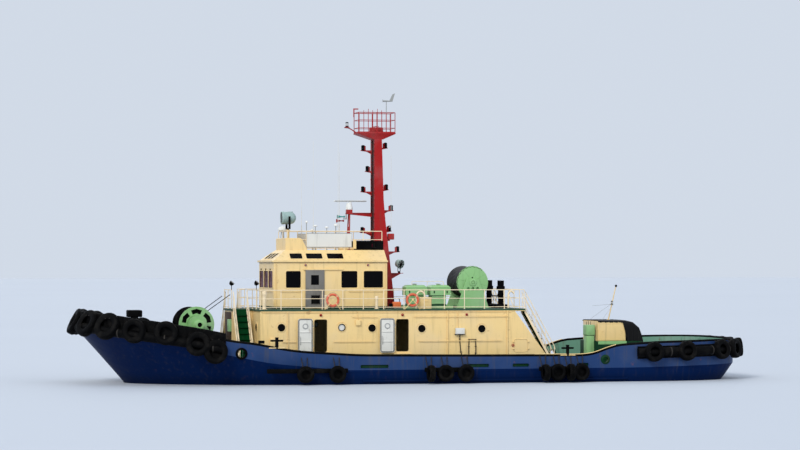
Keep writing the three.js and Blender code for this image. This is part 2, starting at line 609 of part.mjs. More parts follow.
// Wheelhouse: hollow walls with their windows and doorways, and the track that carries the doors
const WINDOWS = [5020, 5940]; // sill and head
const SIDE_WINDOWS = [[5770, 6600], [2690, 3590], [1290, 2370]];
const FRONT_WINDOWS = [[-1960, -740], [-600, 600], [740, 1960]];
const AFT_WINDOWS = [[-1900, -850], [850, 1900]];
const SLIDING = { x: [4540, 5500], z: [3990, 5950], lap: 30, thick: 45, track: [3500, 5620], travel: 950 };

function wheelhouse() {
  const { aft, front, half, eave } = BRIDGE;
  const low = UPPER + SEAT;
  const walls = cut(box([aft, front], [-half, half], [low, eave]),
    box([aft + PLATE, front - PLATE], [-half + PLATE, half - PLATE], [low - 1, eave + 1]));
  const track = box(SLIDING.track, [half - 5, half + CLEAR + SLIDING.thick + 10],
    [SLIDING.z[1] + SLIDING.lap + SEAT, SLIDING.z[1] + SLIDING.lap + 60]);
  const through = [-half - 20, half + 20];
  return cut(join(walls, track, mirrored(track)),
    SIDE_WINDOWS.map((x) => box(x, through, WINDOWS)),
    FRONT_WINDOWS.map((y) => box([front - 200, front + 50], y, WINDOWS)),
    AFT_WINDOWS.map((y) => box([aft - 50, aft + 200], y, WINDOWS)),
    box(SLIDING.x, through, SLIDING.z));
}

function slidingDoor() {
  const inner = BRIDGE.half + CLEAR;
  const [x0, x1] = SLIDING.x;
  const leaf = box([x0 - SLIDING.lap, x1 + SLIDING.lap], [inner, inner + SLIDING.thick],
    [SLIDING.z[0] - SLIDING.lap, SLIDING.z[1] + SLIDING.lap]);
  const handle = box([x1 - 90, x1 - 60], [inner, inner + SLIDING.thick + 40], [4850, 5050]);
  const light = box([x0 + 280, x1 - 280], [inner - 50, inner + 150], [5200, 5700]);
  return cut(join(leaf, handle), light);
}

// A block whose lower and upper faces are rectangles of [x0, x1, y0, y1]
function taperedBlock([a0, a1, b0, b1], low, [c0, c1, d0, d1], high) {
  const under = [[a0, b0], [a1, b0], [a1, b1], [a0, b1]].map(([x, y]) => [x, y, low]);
  const over = [[c0, d0], [c1, d0], [c1, d1], [c0, d1]].map(([x, y]) => [x, y, high]);
  const faces = [under[0], under[2], under[1], under[0], under[3], under[2]];
  faces.push(over[0], over[1], over[2], over[0], over[2], over[3]);
  for (let i = 0; i < 4; i++) {
    const n = (i + 1) % 4;
    faces.push(under[i], under[n], over[n], under[i], over[n], over[i]);
  }
  return solid(new THREE.BufferGeometry().setAttribute("position", new THREE.Float32BufferAttribute(faces.flat(), 3)));
}

const EYEBROWS = [[5640, 6330], [4550, 5450], [3410, 4310]]; // the sloped windows over each side, in x
const FRONT_EYEBROWS = [[-1250, -480], [-380, 380], [480, 1250]]; // and over the front, in y
const EYEBROW_HEIGHT = [6560, 6860];

function wheelhouseRoof() {
  const { aft, front, half, eave } = BRIDGE;
  const lip = eave + 90;
  const slab = box([aft - 30, front + 90], [-half - 80, half + 80], [eave + SEAT, lip]);
  const crown = taperedBlock([aft, front, -half, half], lip - 1,
    [CROWN.aft + 20, CROWN.front, -CROWN.half, CROWN.half], CROWN.top);
  const room = taperedBlock([aft + PLATE, front - PLATE, PLATE - half, half - PLATE], eave - 5,
    [aft + PLATE, CROWN.front - PLATE, PLATE - CROWN.half, CROWN.half - PLATE], CROWN.top - PLATE);
  return cut(join(slab, crown), room,
    EYEBROWS.map((x) => box(x, [-half - 50, half + 50], EYEBROW_HEIGHT)),
    FRONT_EYEBROWS.map((y) => box([CROWN.front - 300, front + 200], y, EYEBROW_HEIGHT)));
}

// On the roof: the breastwork round its fore end, rails, blank boards and sidelight screens
const TOP = CROWN.top + SEAT;
const BREASTWORK = { front: 6460, top: 7640, aft: 5600, foot: 5300, half: 1370, thick: 60 };
const TOP_RAIL = { aft: 1150, front: 6340, y: 1240 };
const BOARD = { x: [2830, 5290], z: [7210, 7930], thick: 30 };
const SCREEN = { x: [1080, 2580], z: [TOP, 7550], lamp: [1500, 1750] };

function breastwork() {
  const { front, top, aft, foot, half, thick } = BREASTWORK;
  const side = plateY([[front, TOP], [front, top], [aft, top], [foot, TOP]], half - thick, half);
  return join(side, mirrored(side), box([front - thick, front], [-half, half], [TOP, top]));
}

function topRail() {
  const { aft, front, y } = TOP_RAIL;
  return railing([[aft, -y, 0], [front, -y, 0], [front, y, 0], [aft, y, 0]], TOP, RAIL_HIGH, 1350, [560]);
}

const outsideTopRail = TOP_RAIL.y + POST + SEAT;

function sidelightScreen() {
  const board = box(SCREEN.x, [outsideTopRail, outsideTopRail + 30], SCREEN.z);
  const shelf = box(SCREEN.lamp, [outsideTopRail, outsideTopRail + 180], [7160, 7200]);
  const lamp = bar([1625, outsideTopRail + 100, 7190], [1625, outsideTopRail + 100, 7420], 75, 8);
  return join(board, shelf, lamp);
}

// Mast: a trunk that steps forward on to the roof, lamp brackets up both faces, and a railed basket
const MAST_TOP = 13060;
const MAST_AFT = [[-190, 0], [600, 7060], [800, 8800], [880, 9800], [980, MAST_TOP]]; // x, z of its after face
const MAST_LAMPS = [ // which way each bracket points, its height and its reach from the mast's face
  { way: 1, z: 7990, reach: 700 }, { way: 1, z: 10200, reach: 670 }, { way: 1, z: 11310, reach: 420 },
  { way: 1, z: 12440, reach: 660 }, { way: -1, z: 6950, reach: 720 }, { way: -1, z: 8070, reach: 390 },
  { way: -1, z: 9190, reach: 610 }, { way: -1, z: 10320, reach: 400 }, { way: -1, z: 12590, reach: 420 },
];

function mast() {
  const foot = heightAt(MAST_AFT.map(([x, z]) => [z, x]), UPPER);
  const outline = [
    [BRIDGE.aft - 30 - SEAT, UPPER + SEAT], [BRIDGE.aft - 30 - SEAT, TOP], [MAST.front, TOP],
    [MAST.front, MAST_TOP], ...MAST_AFT.slice(1).reverse(), [foot, UPPER + SEAT],
  ];
  const lamps = MAST_LAMPS.map(({ way, z, reach }) => {
    const face = way > 0 ? MAST.front : heightAt(MAST_AFT.map(([x, h]) => [h, x]), z);
    const out = face + way * reach;
    const bracket = plateY([[face - way * 40, z - 90], [out, z], [out, z + 35], [face - way * 40, z + 35]], -60, 60);
    return join(bracket, bar([out - way * 200, 0, z + 20], [out - way * 200, 0, z + 270], 85, 6));
  });
  return join(plateY(outline, -MAST.half, MAST.half), lamps);
}

const BASKET = { aft: 230, front: 2330, half: 620, floor: 13380, high: 1150, bow: { x: 2960, z: 13730 } };
const VANE = { x: 760, y: 600, z: 15130, length: 680, tail: 15580 };

// The wind vane on its pole over the basket's rail, its nose forward and its tail fin raised
function windVane() {
  const { x, y, z, length, tail } = VANE;
  const fore = x + length * 0.3;
  const aft = x - length * 0.7;
  return join(bar([x, y, BASKET.floor + BASKET.high - 20], [x, y, z + 10], 22, 6),
    box([aft + 150, fore], [y - 22, y + 22], [z - 22, z + 22]),
    plateY([[aft + 200, z - 20], [aft + 200, z + 60], [aft + 60, tail], [aft - 40, tail], [aft + 60, z + 60]], y - 12, y + 12),
    box([fore - 20, fore + 20], [y - 22, y + 22], [z - 130, z + 130]));
}

function mastBasket() {
  const { aft, front, half, floor, high, bow } = BASKET;
  const pan = plateY([
    [aft, floor], [aft, floor - 70], [880, MAST_TOP + SEAT], [1490, MAST_TOP + SEAT],
    [front, floor - 70], [front, floor],
  ], -half, half);
  const rim = [[aft + 30, 30 - half, 0], [front - 30, 30 - half, 0], [front - 30, half - 30, 0], [aft + 30, half - 30, 0]];
  const corner = [front - 30, 30 - half];
  const flagPlate = join(bar([...corner, floor + high - 20], [...corner, floor + high + 250], POST, 4),
    box([corner[0] - 170, corner[0] + 170], [corner[1] - 60, corner[1] + 60], [floor + high + 215, floor + high + 250]));
  const bracket = plateY([[front - 120, floor - 10], [front + 180, bow.z - 40], [bow.x, bow.z - 30], [bow.x, bow.z],
    [front + 130, bow.z], [front - 180, floor - 10]], -60, 60);
  const lamp = bar([bow.x - 150, 0, bow.z - 20], [bow.x - 150, 0, bow.z + 250], 85, 6);
  return join(pan, railing(rim, floor - 5, high, 540, [290, 720], true), flagPlate, bracket, lamp, windVane());
}

// The domed cap that closes the mast's top
function mastCap() {
  const profile = [[0, 0], [380, 0], [370, 120], [310, 240], [180, 320], [0, 340]];
  return turned(profile, [1190, 0, BASKET.floor + SEAT], [0, 0, 1], 12);
}

// Radar: an arm off the mast on two legs, its gearbox, and the scanner that turns on it
const RADAR = { x: 2630, arm: [9000, 9080], box: 9620, half: 900 };

function radarMount() {
  const [under, over] = RADAR.arm;
  const arm = plateY([[MAST.front + SEAT, under - 150], [RADAR.x + 220, under], [RADAR.x + 220, over],
    [MAST.front + SEAT, over]], -110, 110);
  const cross = box([RADAR.x - 90, RADAR.x + 220], [-230, 230], RADAR.arm);
  const legs = [-1, 1].map((side) => join(
    bar([RADAR.x + 130, side * 330, TOP + 10], [RADAR.x + 60, side * 150, under + 20], 42, 6),
    box([RADAR.x + 60, RADAR.x + 200], [side * 330 - 70, side * 330 + 70], [TOP, TOP + 20]),
  ));
  const seat = box([RADAR.x - 160, RADAR.x + 160], [-160, 160], [over - 5, over + 170]);
  const gearbox = turned([[0, 0], [190, 0], [205, 120], [150, 200], [140, 370 - 5], [0, 370 - 5]],
    [RADAR.x, 0, over + 165], [0, 0, 1], 12);
  return join(arm, cross, legs, seat, gearbox, bar([RADAR.x, 0, over + 500], [RADAR.x, 0, RADAR.box], 90, 10));
}

function radarScanner() {
  const boss = bar([RADAR.x, 0, RADAR.box + SEAT], [RADAR.x, 0, RADAR.box + 60], 80, 10);
  const beam = plateX([[-60, 40], [-85, 75], [-55, 130], [55, 130], [85, 75], [60, 40]], -RADAR.half, RADAR.half);
  return join(boss, shifted(beam, RADAR.x, 0, RADAR.box));
}

// Searchlight: a post on the roof, a yoke that pans on it and a lamp that tilts in the yoke
const LIGHT = { x: 6060, z: 8780, base: 8180, arm: 410, radius: 355 };

const lightPost = () => join(
  bar([LIGHT.x, 0, TOP], [LIGHT.x, 0, LIGHT.base - SEAT], 75, 10),
  bar([LIGHT.x, 0, TOP], [LIGHT.x, 0, TOP + 30], 190, 10));

function lightYoke() {
  const { x, z, base, arm } = LIGHT;
  const arms = [-1, 1].map((side) => box([x - 60, x + 60],
    [Math.min(side * arm, side * (arm + 30)), Math.max(side * arm, side * (arm + 30))], [base, z + 80]));
  return join(arms, box([x - 90, x + 90], [-arm - 30, arm + 30], [base, base + 45]));
}

function lightLamp() {
  const { x, z, arm, radius } = LIGHT;
  const can = turned([[0, -430], [190, -420], [320, -230], [radius, -200], [radius, 360], [radius - 30, 375],
    [radius - 45, 330], [0, 330]], [x, 0, z], [1, 0, 0], 14);
  return join(can, bar([x, SEAT - arm, z], [x, arm - SEAT, z], 50, 8));
}

// On the upper deck: mushroom vents in pairs, a locker, the exhaust stacks
const VENTS = [{ trunk: [-1030, -190], cap: [-1200, -20] }, { trunk: [-2250, -1490], cap: [-2500, -1390] }];
const VENT_STAGGER = -710; // the starboard pair stands this much further aft, hidden from abeam

function vents() {
  const floor = UPPER + SEAT;
  const parts = [box([-2620, 80], [1020, 1980], [floor, UPPER + 130])];
  for (const { trunk, cap } of VENTS) {
    parts.push(box(trunk, [1150, 1850], [UPPER + 100, 4850]));
    const [x0, x1] = cap;
    parts.push(box(cap, [1080, 1920], [4620, 5040]));
    parts.push(taperedBlock([x0, x1, 1080, 1920], 5035, [x0 + 120, x1 - 120, 1200, 1800], 5140));
  }
  return join(parts);
}

const locker = () => box([-1150, -550], [2550, 3050], [UPPER + SEAT, 4500]);

function stacks() {
  const casing = box([-5900, -5100], [-1550, 1550], [UPPER + SEAT, UPPER + 190]);
  const pipes = [-1200, 1200].map((y) => turned([
    [0, 0], [150, 0], [150, 800], [230, 820], [230, 1000], [180, 1010], [180, 1310], [130, 1310], [130, 900], [0, 900],
  ], [-5500, y, UPPER + 180], [0, 0, 1], 10));
  return join(casing, pipes);
}

// Hawser reel: a stand with two cheeks, the drum full of rope, and the cover lashed on it
const REEL_CHEEKS = [[-960, -880], [1320, 1400]]; // y of each
const REEL_FLANGES = [[-860, -820], [1260, 1300]];

function reelStand() {
  const { x, z } = REEL;
  const low = UPPER + SEAT;
  const outline = [[x - 880, low], [x + 880, low], [x + 330, z + 180], [x - 330, z + 180]];
  const lightening = [-260, 0, 260].map((dx) => bar([x + dx, -1500, z - 330], [x + dx, 1600, z - 330], 90, 6));
  const cheeks = REEL_CHEEKS.map(([y0, y1]) => plateY(outline, y0, y1));
  const sills = [x - 800, x + 700].map((start) => box([start, start + 100], [-900, 1350], [low, low + 120]));
  const bore = bar([x, -1500, z], [x, 1600, z], 90, 10);
  return cut(join(cheeks, sills), lightening, bore);
}

function reelDrum() {
  const { x, z, radius } = REEL;
  const plates = REEL_FLANGES.map(([y0, y1]) => bar([x, y0, z], [x, y1, z], radius, 20));
  const rope = bar([x, -830, z], [x, 1270, z], radius - 90, 20);
  const boss = bar([x, REEL_CHEEKS[0][1] + SEAT, z], [x, REEL_CHEEKS[1][0] - SEAT, z], 150, 8);
  const axle = bar([x, REEL_CHEEKS[0][0] - 40, z], [x, REEL_CHEEKS[1][1] + 40, z], 75, 8);
  return join(plates, rope, boss, axle);
}

function reelCover() {
  const [inner, outer] = [REEL.radius + SEAT, REEL.radius + 34];
  const [start, end, steps] = [-0.1 * Math.PI, 0.7 * Math.PI, 8]; // its folds lie on the flanges' corners
  const arc = (radius, share) => {
    const turn = start + (end - start) * share;
    return [REEL.x + radius * Math.cos(turn), REEL.z + radius * Math.sin(turn)];
  };
  const over = Array.from({ length: steps + 1 }, (_, i) => arc(outer, i / steps));
  const under = Array.from({ length: steps + 1 }, (_, i) => arc(inner, 1 - i / steps));
  return plateY([...over, ...under], -850, 1290);
}

// Towing winch on the foredeck: side plates, a round guard, a gear case, and the drum with its warping head
const WINCH_PLATES = [[-1430, -1350], [1350, 1430]];

function sectorHoles() {
  return Array.from({ length: 6 }, (_, i) => {
    const [a, b] = [(i / 6) * 2 * Math.PI + 0.14, ((i + 1) / 6) * 2 * Math.PI - 0.14];
    const at = (radius, turn) => [WINCH.x + radius * Math.cos(turn), WINCH.z + radius * Math.sin(turn)];
    return plateY([at(560, a), at(800, a), at(830, (a + b) / 2), at(800, b), at(560, b), at(590, (a + b) / 2)], 1300, 1500);
  });
}

const belowForeDeck = () => plateY([
  [FORE_BREAK, 0], [18500, 0], [18500, FORE_DECK[1] + SEAT], [FORE_BREAK, FORE_DECK[0] + SEAT],
], -6000, 6000);

function winchFrame() {
  const { x, z } = WINCH;
  const low = foreDeckAt(x) - 250;
  const outline = [[x - 1150, low], [x + 1150, low], [x + 1150, low + 480], [x + 300, z + 250], [x - 300, z + 250],
    [x - 1150, low + 420]];
  const plates = WINCH_PLATES.map(([y0, y1]) => plateY(outline, y0, y1));
  const guard = cut(bar([x, 1350, z], [x, 1410, z], WINCH.radius + 40, 20), sectorHoles());
  const beams = [x - 1100, x + 1000].map((start) => box([start, start + 100], [-1400, 1400], [low, low + 430]));
  const gearCase = bar([x, 1400, z], [x, 1900, z], 470, 14);
  const foot = box([x - 260, x + 260], [1600, 1880], [low, z]);
  const brake = box([x + 150, x + 650], [-1850, -1400], [low, z + 150]);
  const bore = bar([x, -1500, z], [x, 2000, z], 130, 10);
  return cut(join(plates, guard, beams, gearCase, foot, brake), bore, belowForeDeck());
}

function winchDrum() {
  const { x, z, radius } = WINCH;
  const plates = [[-1290, -1240], [1240, 1290], [-60, -10]].map(([y0, y1]) => bar([x, y0, z], [x, y1, z], radius, 18));
  const rope = bar([x, -1250, z], [x, -50, z], 640, 14);
  const core = bar([x, -50, z], [x, 1250, z], 470, 12);
  const boss = bar([x, WINCH_PLATES[0][1] + SEAT, z], [x, WINCH_PLATES[1][0] - SEAT, z], 200, 10);
  const shaft = bar([x, -1420, z], [x, 2250, z], 100, 8);
  const head = turned([[0, 0], [230, 0], [230, 50], [150, 120], [150, 290], [230, 360], [230, 400], [0, 400]],
    [x, 2200, z], [0, 1, 0], 10);
  return join(plates, rope, core, boss, shaft, head);
}

// Aft: the covered winch with its control box, and a raked light mast on its casing
const AFT_WINCH = { front: -11000, aft: -12600, half: 1450, base: 2060, top: 3170 };

function aftWinch() {
  const { front, aft, half, base, top } = AFT_WINCH;
  const low = DECK + SEAT;
  const hood = plateY([[aft + 50, top - 20], [-13050, 3060], [-13400, 2750], [-13600, 2300], [-13600, 1950], [aft + 50, 1950]],
    100 - half, half - 100);
  return join(
    box([-13500, front + 150], [-half, half], [low, base]),
    box([aft, front], [50 - half, half - 50], [base - 5, top]),
    hood,
    box([front + 100, front + 600], [500, 1150], [low, 2950]),
  );
}

function lightMast() {
  const foot = AFT_WINCH.top + SEAT;
  return join(
    box([-12110, -11950], [-80, 80], [foot, foot + 30]),
    bar([-12030, 0, foot + 15], [-12480, 0, 5080], 34, 6),
    box([-12250, -12200], [-260, 260], [4020, 4060]),
    bar([-12480, 0, 5040], [-12495, 0, 5150], 70, 8),
  );
}

// The whole, put together

function addBoth(name, made, paint) {
  add(name + "_port", made, paint);
  add(name + "_starboard", mirrored(made), paint);
}

add("hull", hull(), PAINT.blue);
add("bulwark", bulwark(), PAINT.blue);
add("skeg", skeg(), PAINT.blue);
add("bow_fender", bowFender(), PAINT.rubber);
add("stern_fender", sternFender(), PAINT.rubber);
for (const [place, tyres] of Object.entries(SIDE_GROUPS)) addBoth(`side_tyres_${place}`, sideTyres(tyres), PAINT.rubber);
const pod = shifted(thruster(), THRUSTER.x, THRUSTER.y, 0);
const screw = shifted(propeller(), THRUSTER.x, THRUSTER.y, THRUSTER.axis);
addBoth("thruster", pod, PAINT.blue);
addBoth("propeller", screw, PAINT.bronze);
add("deckhouse", deckhouse(), PAINT.cream);
for (const { name, x } of DECK_DOORS) addBoth(`door_${name}`, swungOpen(x), PAINT.white);
add("upper_deck", upperDeck(), PAINT.darkGreen);
addBoth("fore_stairs", foreStairs(), PAINT.cream);
addBoth("after_stairs", afterStairs(), PAINT.cream);
add("upper_rail", railing(UPPER_RAIL, UPPER + SEAT, RAIL_HIGH, 1500, [560], true), PAINT.cream);
for (const { name, x } of LIFEBUOYS) addBoth(`lifebuoy_${name}`, lifebuoy(x), PAINT.orange);
add("wheelhouse", wheelhouse(), PAINT.cream);
addBoth("sliding_door", slidingDoor(), PAINT.aluminium);
add("wheelhouse_roof", wheelhouseRoof(), PAINT.cream);
add("breastwork", breastwork(), PAINT.cream);
add("top_rail", topRail(), PAINT.cream);
addBoth("board", box(BOARD.x, [outsideTopRail, outsideTopRail + BOARD.thick], BOARD.z), PAINT.white);
addBoth("sidelight_screen", sidelightScreen(), PAINT.black);
add("mast", mast(), PAINT.red);
add("mast_basket", mastBasket(), PAINT.red);
add("mast_cap", mastCap(), PAINT.red);
add("radar_mount", radarMount(), PAINT.red);
add("radar_scanner", radarScanner(), PAINT.white);
add("searchlight_post", lightPost(), PAINT.cream);
add("searchlight_yoke", lightYoke(), PAINT.black);
add("searchlight_lamp", lightLamp(), PAINT.grey);
add("vents_port", vents(), PAINT.green);
add("vents_starboard", shifted(mirrored(vents()), VENT_STAGGER, 0, 0), PAINT.green);
add("deck_locker", locker(), PAINT.cream);
add("exhaust_stacks", stacks(), PAINT.black);
add("reel_stand", reelStand(), PAINT.green);
add("reel_drum", reelDrum(), PAINT.green);
add("reel_cover", reelCover(), PAINT.black);
add("fore_winch_frame", winchFrame(), PAINT.green);
add("fore_winch_drum", winchDrum(), PAINT.black);
add("aft_winch", aftWinch(), PAINT.cream);
add("light_mast", lightMast(), PAINT.cream);

export default tug;
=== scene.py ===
"""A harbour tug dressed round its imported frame: smooth plating, fenders, houses, winches, mast and fittings.

Metres, +X to the bow, +Y to port, +Z up, with the origin on the centreline at the waterline.
"""

import json
import math

import bmesh
import bpy
import numpy as np
from bpy.props import FloatProperty, FloatVectorProperty, IntProperty, PointerProperty
from bpy.types import Operator, Panel, PropertyGroup
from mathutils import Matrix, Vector

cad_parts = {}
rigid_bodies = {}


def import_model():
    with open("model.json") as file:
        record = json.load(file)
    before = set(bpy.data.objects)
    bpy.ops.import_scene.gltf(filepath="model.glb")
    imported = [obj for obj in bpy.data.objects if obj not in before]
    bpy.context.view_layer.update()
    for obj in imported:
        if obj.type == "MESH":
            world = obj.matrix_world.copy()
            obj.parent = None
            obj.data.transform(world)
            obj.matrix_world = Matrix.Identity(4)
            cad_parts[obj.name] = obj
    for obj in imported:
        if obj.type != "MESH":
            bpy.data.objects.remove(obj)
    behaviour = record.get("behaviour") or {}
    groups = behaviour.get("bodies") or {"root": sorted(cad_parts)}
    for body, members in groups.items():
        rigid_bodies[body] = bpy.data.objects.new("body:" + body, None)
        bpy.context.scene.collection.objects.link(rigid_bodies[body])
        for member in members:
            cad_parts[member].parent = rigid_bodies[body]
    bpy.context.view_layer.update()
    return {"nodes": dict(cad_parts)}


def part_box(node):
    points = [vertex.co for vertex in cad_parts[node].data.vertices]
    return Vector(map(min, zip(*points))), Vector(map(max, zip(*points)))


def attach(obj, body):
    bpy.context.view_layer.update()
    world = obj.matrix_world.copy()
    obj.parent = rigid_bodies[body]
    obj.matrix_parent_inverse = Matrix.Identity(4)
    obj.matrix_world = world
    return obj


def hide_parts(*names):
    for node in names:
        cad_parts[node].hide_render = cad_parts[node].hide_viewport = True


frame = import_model()

bl_info = {
    "name": "Harbour Tug",
    "version": (1, 0, 0),
    "blender": (4, 5, 0),
    "location": "View3D > Sidebar > Tug",
    "description": "Dresses a packed harbour tug with its plating, fittings and finishes",
    "category": "Add Mesh",
}


X, Y, Z = (1, 0, 0), (0, 1, 0), (0, 0, 1)


# Shapes: each function returns (points, quads), and a quad that repeats its last corner is a triangle


def grid_quads(rows, columns, close_rows=False, close_columns=False):
    """Quads over a rows by columns grid of points numbered row by row, closed into a loop where asked."""
    r = np.arange(rows if close_rows else rows - 1)[:, None]
    c = np.arange(columns if close_columns else columns - 1)[None, :]
    r1, c1 = (r + 1) % rows, (c + 1) % columns
    corners = [r * columns + c, r * columns + c1, r1 * columns + c1, r1 * columns + c]
    return np.stack([np.broadcast_to(k, (len(r), c.shape[1])) for k in corners], axis=-1).reshape(-1, 4)


def fan(ring, centre, flip=False):
    """Triangles from a loop of point numbers to one centre point."""
    following = np.roll(ring, -1)
    middle = np.full(len(ring), centre)
    sides = (following, ring) if flip else (ring, following)
    return np.stack([sides[0], sides[1], middle, middle], axis=-1)


def joined(*shapes):
    """Several shapes as one."""
    points, quads, start = [], [], 0
    for p, q in shapes:
        points.append(p)
        quads.append(q + start)
        start += len(p)
    return np.concatenate(points), np.concatenate(quads)


def moved(shape, offset=(0, 0, 0), matrix=None):
    """The shape through a 3x3 matrix, then along an offset."""
    points, quads = shape
    if matrix is not None:
        points = points @ np.asarray(matrix, float).T
    return points + np.asarray(offset, float), quads


def mirrored(shape):
    """The shape on the other side of the centreline, with its faces turned to point out again."""
    points, quads = shape
    return points * (1, -1, 1), quads[:, [1, 0, 3, 2]]


def both_sides(*shapes):
    """Shapes and their mirrors as one."""
    shape = joined(*shapes)
    return joined(shape, mirrored(shape))


def basis(axis):
    """Two unit vectors square to an axis and to each other."""
    axis = np.asarray(axis, float) / np.linalg.norm(axis)
    helper = Z if abs(axis[2]) < 0.9 else X
    u = np.cross(helper, axis)
    u /= np.linalg.norm(u)
    return axis, u, np.cross(axis, u)


def lathe(profile, centre, axis, sides=24):
    """A turned shape: radius r at height h along the axis, point = centre + h*axis + r*(cos a*u + sin a*v).

    A profile that starts and ends at radius 0 is closed by its two poles; any other closes on itself.
    """
    axis, u, v = basis(axis)
    r, h = np.asarray(profile, float).T
    turn = np.linspace(0, 2 * math.pi, sides, endpoint=False)
    around = np.cos(turn)[:, None] * u + np.sin(turn)[:, None] * v
    points = np.asarray(centre) + h[:, None, None] * axis + r[:, None, None] * around
    count = len(r)
    if r[0] > 1e-9 or r[-1] > 1e-9:
        return points.reshape(-1, 3), grid_quads(count, sides, close_rows=True, close_columns=True)
    inner = points[1:-1].reshape(-1, 3)
    poles = np.array([np.asarray(centre) + h[0] * axis, np.asarray(centre) + h[-1] * axis])
    quads = grid_quads(count - 2, sides, close_columns=True)
    first, last = np.arange(sides), np.arange(sides) + (count - 3) * sides
    ends = np.concatenate([fan(first, len(inner), flip=True), fan(last, len(inner) + 1)])
    return np.concatenate([inner, poles]), np.concatenate([quads, ends])


def capped(rows, ends):
    """Rows of an outline's points as a solid, closed at its first and last row by fans to two end points."""
    rows = np.asarray(rows)
    count, sides = rows.shape[:2]
    loop = np.arange(sides)
    quads = [grid_quads(count, sides, close_columns=True), fan(loop, count * sides, flip=True),
             fan(loop + (count - 1) * sides, count * sides + 1)]
    return np.concatenate([rows.reshape(-1, 3), ends]), np.concatenate(quads)


def hoop(rows):
    """Rows of an outline's points, the last joined to the first, as a ring with a hole through it."""
    rows = np.asarray(rows)
    return rows.reshape(-1, 3), grid_quads(*rows.shape[:2], close_rows=True, close_columns=True)


def disc(radius, low, high, centre, axis=Z, sides=24):
    """A plain round between two heights along its axis."""
    return lathe([(0, low), (radius, low), (radius, high), (0, high)], centre, axis, sides)


def collar(inner, outer, low, high, centre, axis=Z, sides=24):
    """A square-edged ring between two radii and two heights."""
    return lathe([(inner, low), (outer, low), (outer, high), (inner, high)], centre, axis, sides)


def plinth(outer, edge, inner, top, centre, axis=Z, sides=16, hole=0):
    """A round plate, straight up to its edge's height and then sloped in to a narrower top."""
    return lathe([(hole, 0), (outer, 0), (outer, edge), (inner, top), (hole, top)], centre, axis, sides)


def sweep(path, outline, closed=False, up=Z):
    """An outline of (across, above) points carried along a path.

    At each path point, point = path + across*side + above*top, where side is up x run and top is run x side.
    """
    path, outline = np.asarray(path, float), np.asarray(outline, float)
    if closed:
        run = np.roll(path, -1, axis=0) - np.roll(path, 1, axis=0)
    else:
        run = np.gradient(path, axis=0)
    run /= np.linalg.norm(run, axis=1, keepdims=True)
    side = np.cross(np.broadcast_to(up, run.shape), run)
    side /= np.linalg.norm(side, axis=1, keepdims=True)
    top = np.cross(run, side)
    points = path[:, None] + outline[:, 0, None] * side[:, None] + outline[:, 1, None] * top[:, None]
    return hoop(points) if closed else capped(points, [points[0].mean(axis=0), points[-1].mean(axis=0)])


def circle(radius, sides=10):
    """Points of a circle, evenly spaced by angle: the cosine and sine of each, times the radius."""
    turn = np.linspace(0, 2 * math.pi, sides, endpoint=False)
    return np.stack([np.cos(turn), np.sin(turn)], axis=-1) * radius


def tube(path, radius, sides=8, closed=False):
    """A round bar: a circle carried along a path, framed by the axis that the path runs least along."""
    path = np.asarray(path, float)
    run = np.gradient(path, axis=0)
    run /= np.linalg.norm(run, axis=1, keepdims=True)
    up = np.eye(3)[2 - np.abs(run).max(axis=0)[::-1].argmin()]
    return sweep(path, circle(radius, sides), closed, up=up)


def bent(corners, radius=0.08, steps=4):
    """A path through corners, each corner rounded by a quadratic arc of about the radius."""
    corners = np.asarray(corners, float)
    path = [corners[:1]]
    share = np.linspace(0, 1, steps + 1)[:, None]
    for before, here, after in zip(corners, corners[1:], corners[2:]):
        a = here + (before - here) * min(0.5, radius / np.linalg.norm(before - here))
        b = here + (after - here) * min(0.5, radius / np.linalg.norm(after - here))
        path.append(a * (1 - share) ** 2 + here * 2 * share * (1 - share) + b * share ** 2)
    return np.concatenate([*path, corners[-1:]])


def rounded_box(low, high, radius=0.02, steps=2):
    """A box with round edges: cube-grid points are clamped to an inner box and pushed out by the radius."""
    low, high = np.asarray(low, float), np.asarray(high, float)
    radius = min(radius, 0.49 * (high - low).min())
    t = np.tan(np.linspace(-1, 1, 2 * steps + 2) * math.pi / 4)
    t = np.where(np.abs(t) < 1 / (2 * steps + 2), np.sign(t) * 1e-6, t)
    a, b = np.meshgrid(t, t, indexing="ij")
    n = len(t)
    points, quads = [], []
    for axis in range(3):
        for sign in (-1, 1):
            face = np.empty((n, n, 3))
            face[..., axis] = sign
            face[..., (axis + 1) % 3] = a if sign > 0 else b
            face[..., (axis + 2) % 3] = b if sign > 0 else a
            corner = np.sign(face)
            inner = (low + high) / 2 + corner * ((high - low) / 2 - radius)
            push = face.copy()
            others = [(axis + 1) % 3, (axis + 2) % 3]
            push[..., others] = np.sign(face[..., others]) * np.clip(
                (np.abs(face[..., others]) - 1e-3) / (1 - 1e-3), 0, 1)
            push /= np.linalg.norm(push, axis=-1, keepdims=True)
            quads.append(grid_quads(n, n) + len(points) * n * n)
            points.append((inner + push * radius).reshape(-1, 3))
    return np.concatenate(points), np.concatenate(quads)


def slab(outline, low, high, axis="z"):
    """A flat plate: a polygon of two coordinates between two levels of an axis, fanned from its middle."""
    rows = [in_plane(outline, level, axis) for level in (low, high)]
    return capped(rows, [row.mean(axis=0) for row in rows])


def rounded_outline(width, height, radius, steps=4):
    """A rectangle of two sizes about 0 with its corners turned by quarter circles."""
    turn = np.linspace(0, math.pi / 2, steps + 1)
    arc = np.stack([np.cos(turn), np.sin(turn)], axis=-1) * radius
    corners = []
    for k, (sx, sy) in enumerate([(1, 1), (-1, 1), (-1, -1), (1, -1)]):
        spin = np.array([[math.cos(k * math.pi / 2), -math.sin(k * math.pi / 2)],
                         [math.sin(k * math.pi / 2), math.cos(k * math.pi / 2)]])
        corners.append(arc @ spin.T + (sx * (width / 2 - radius), sy * (height / 2 - radius)))
    return np.concatenate(corners)


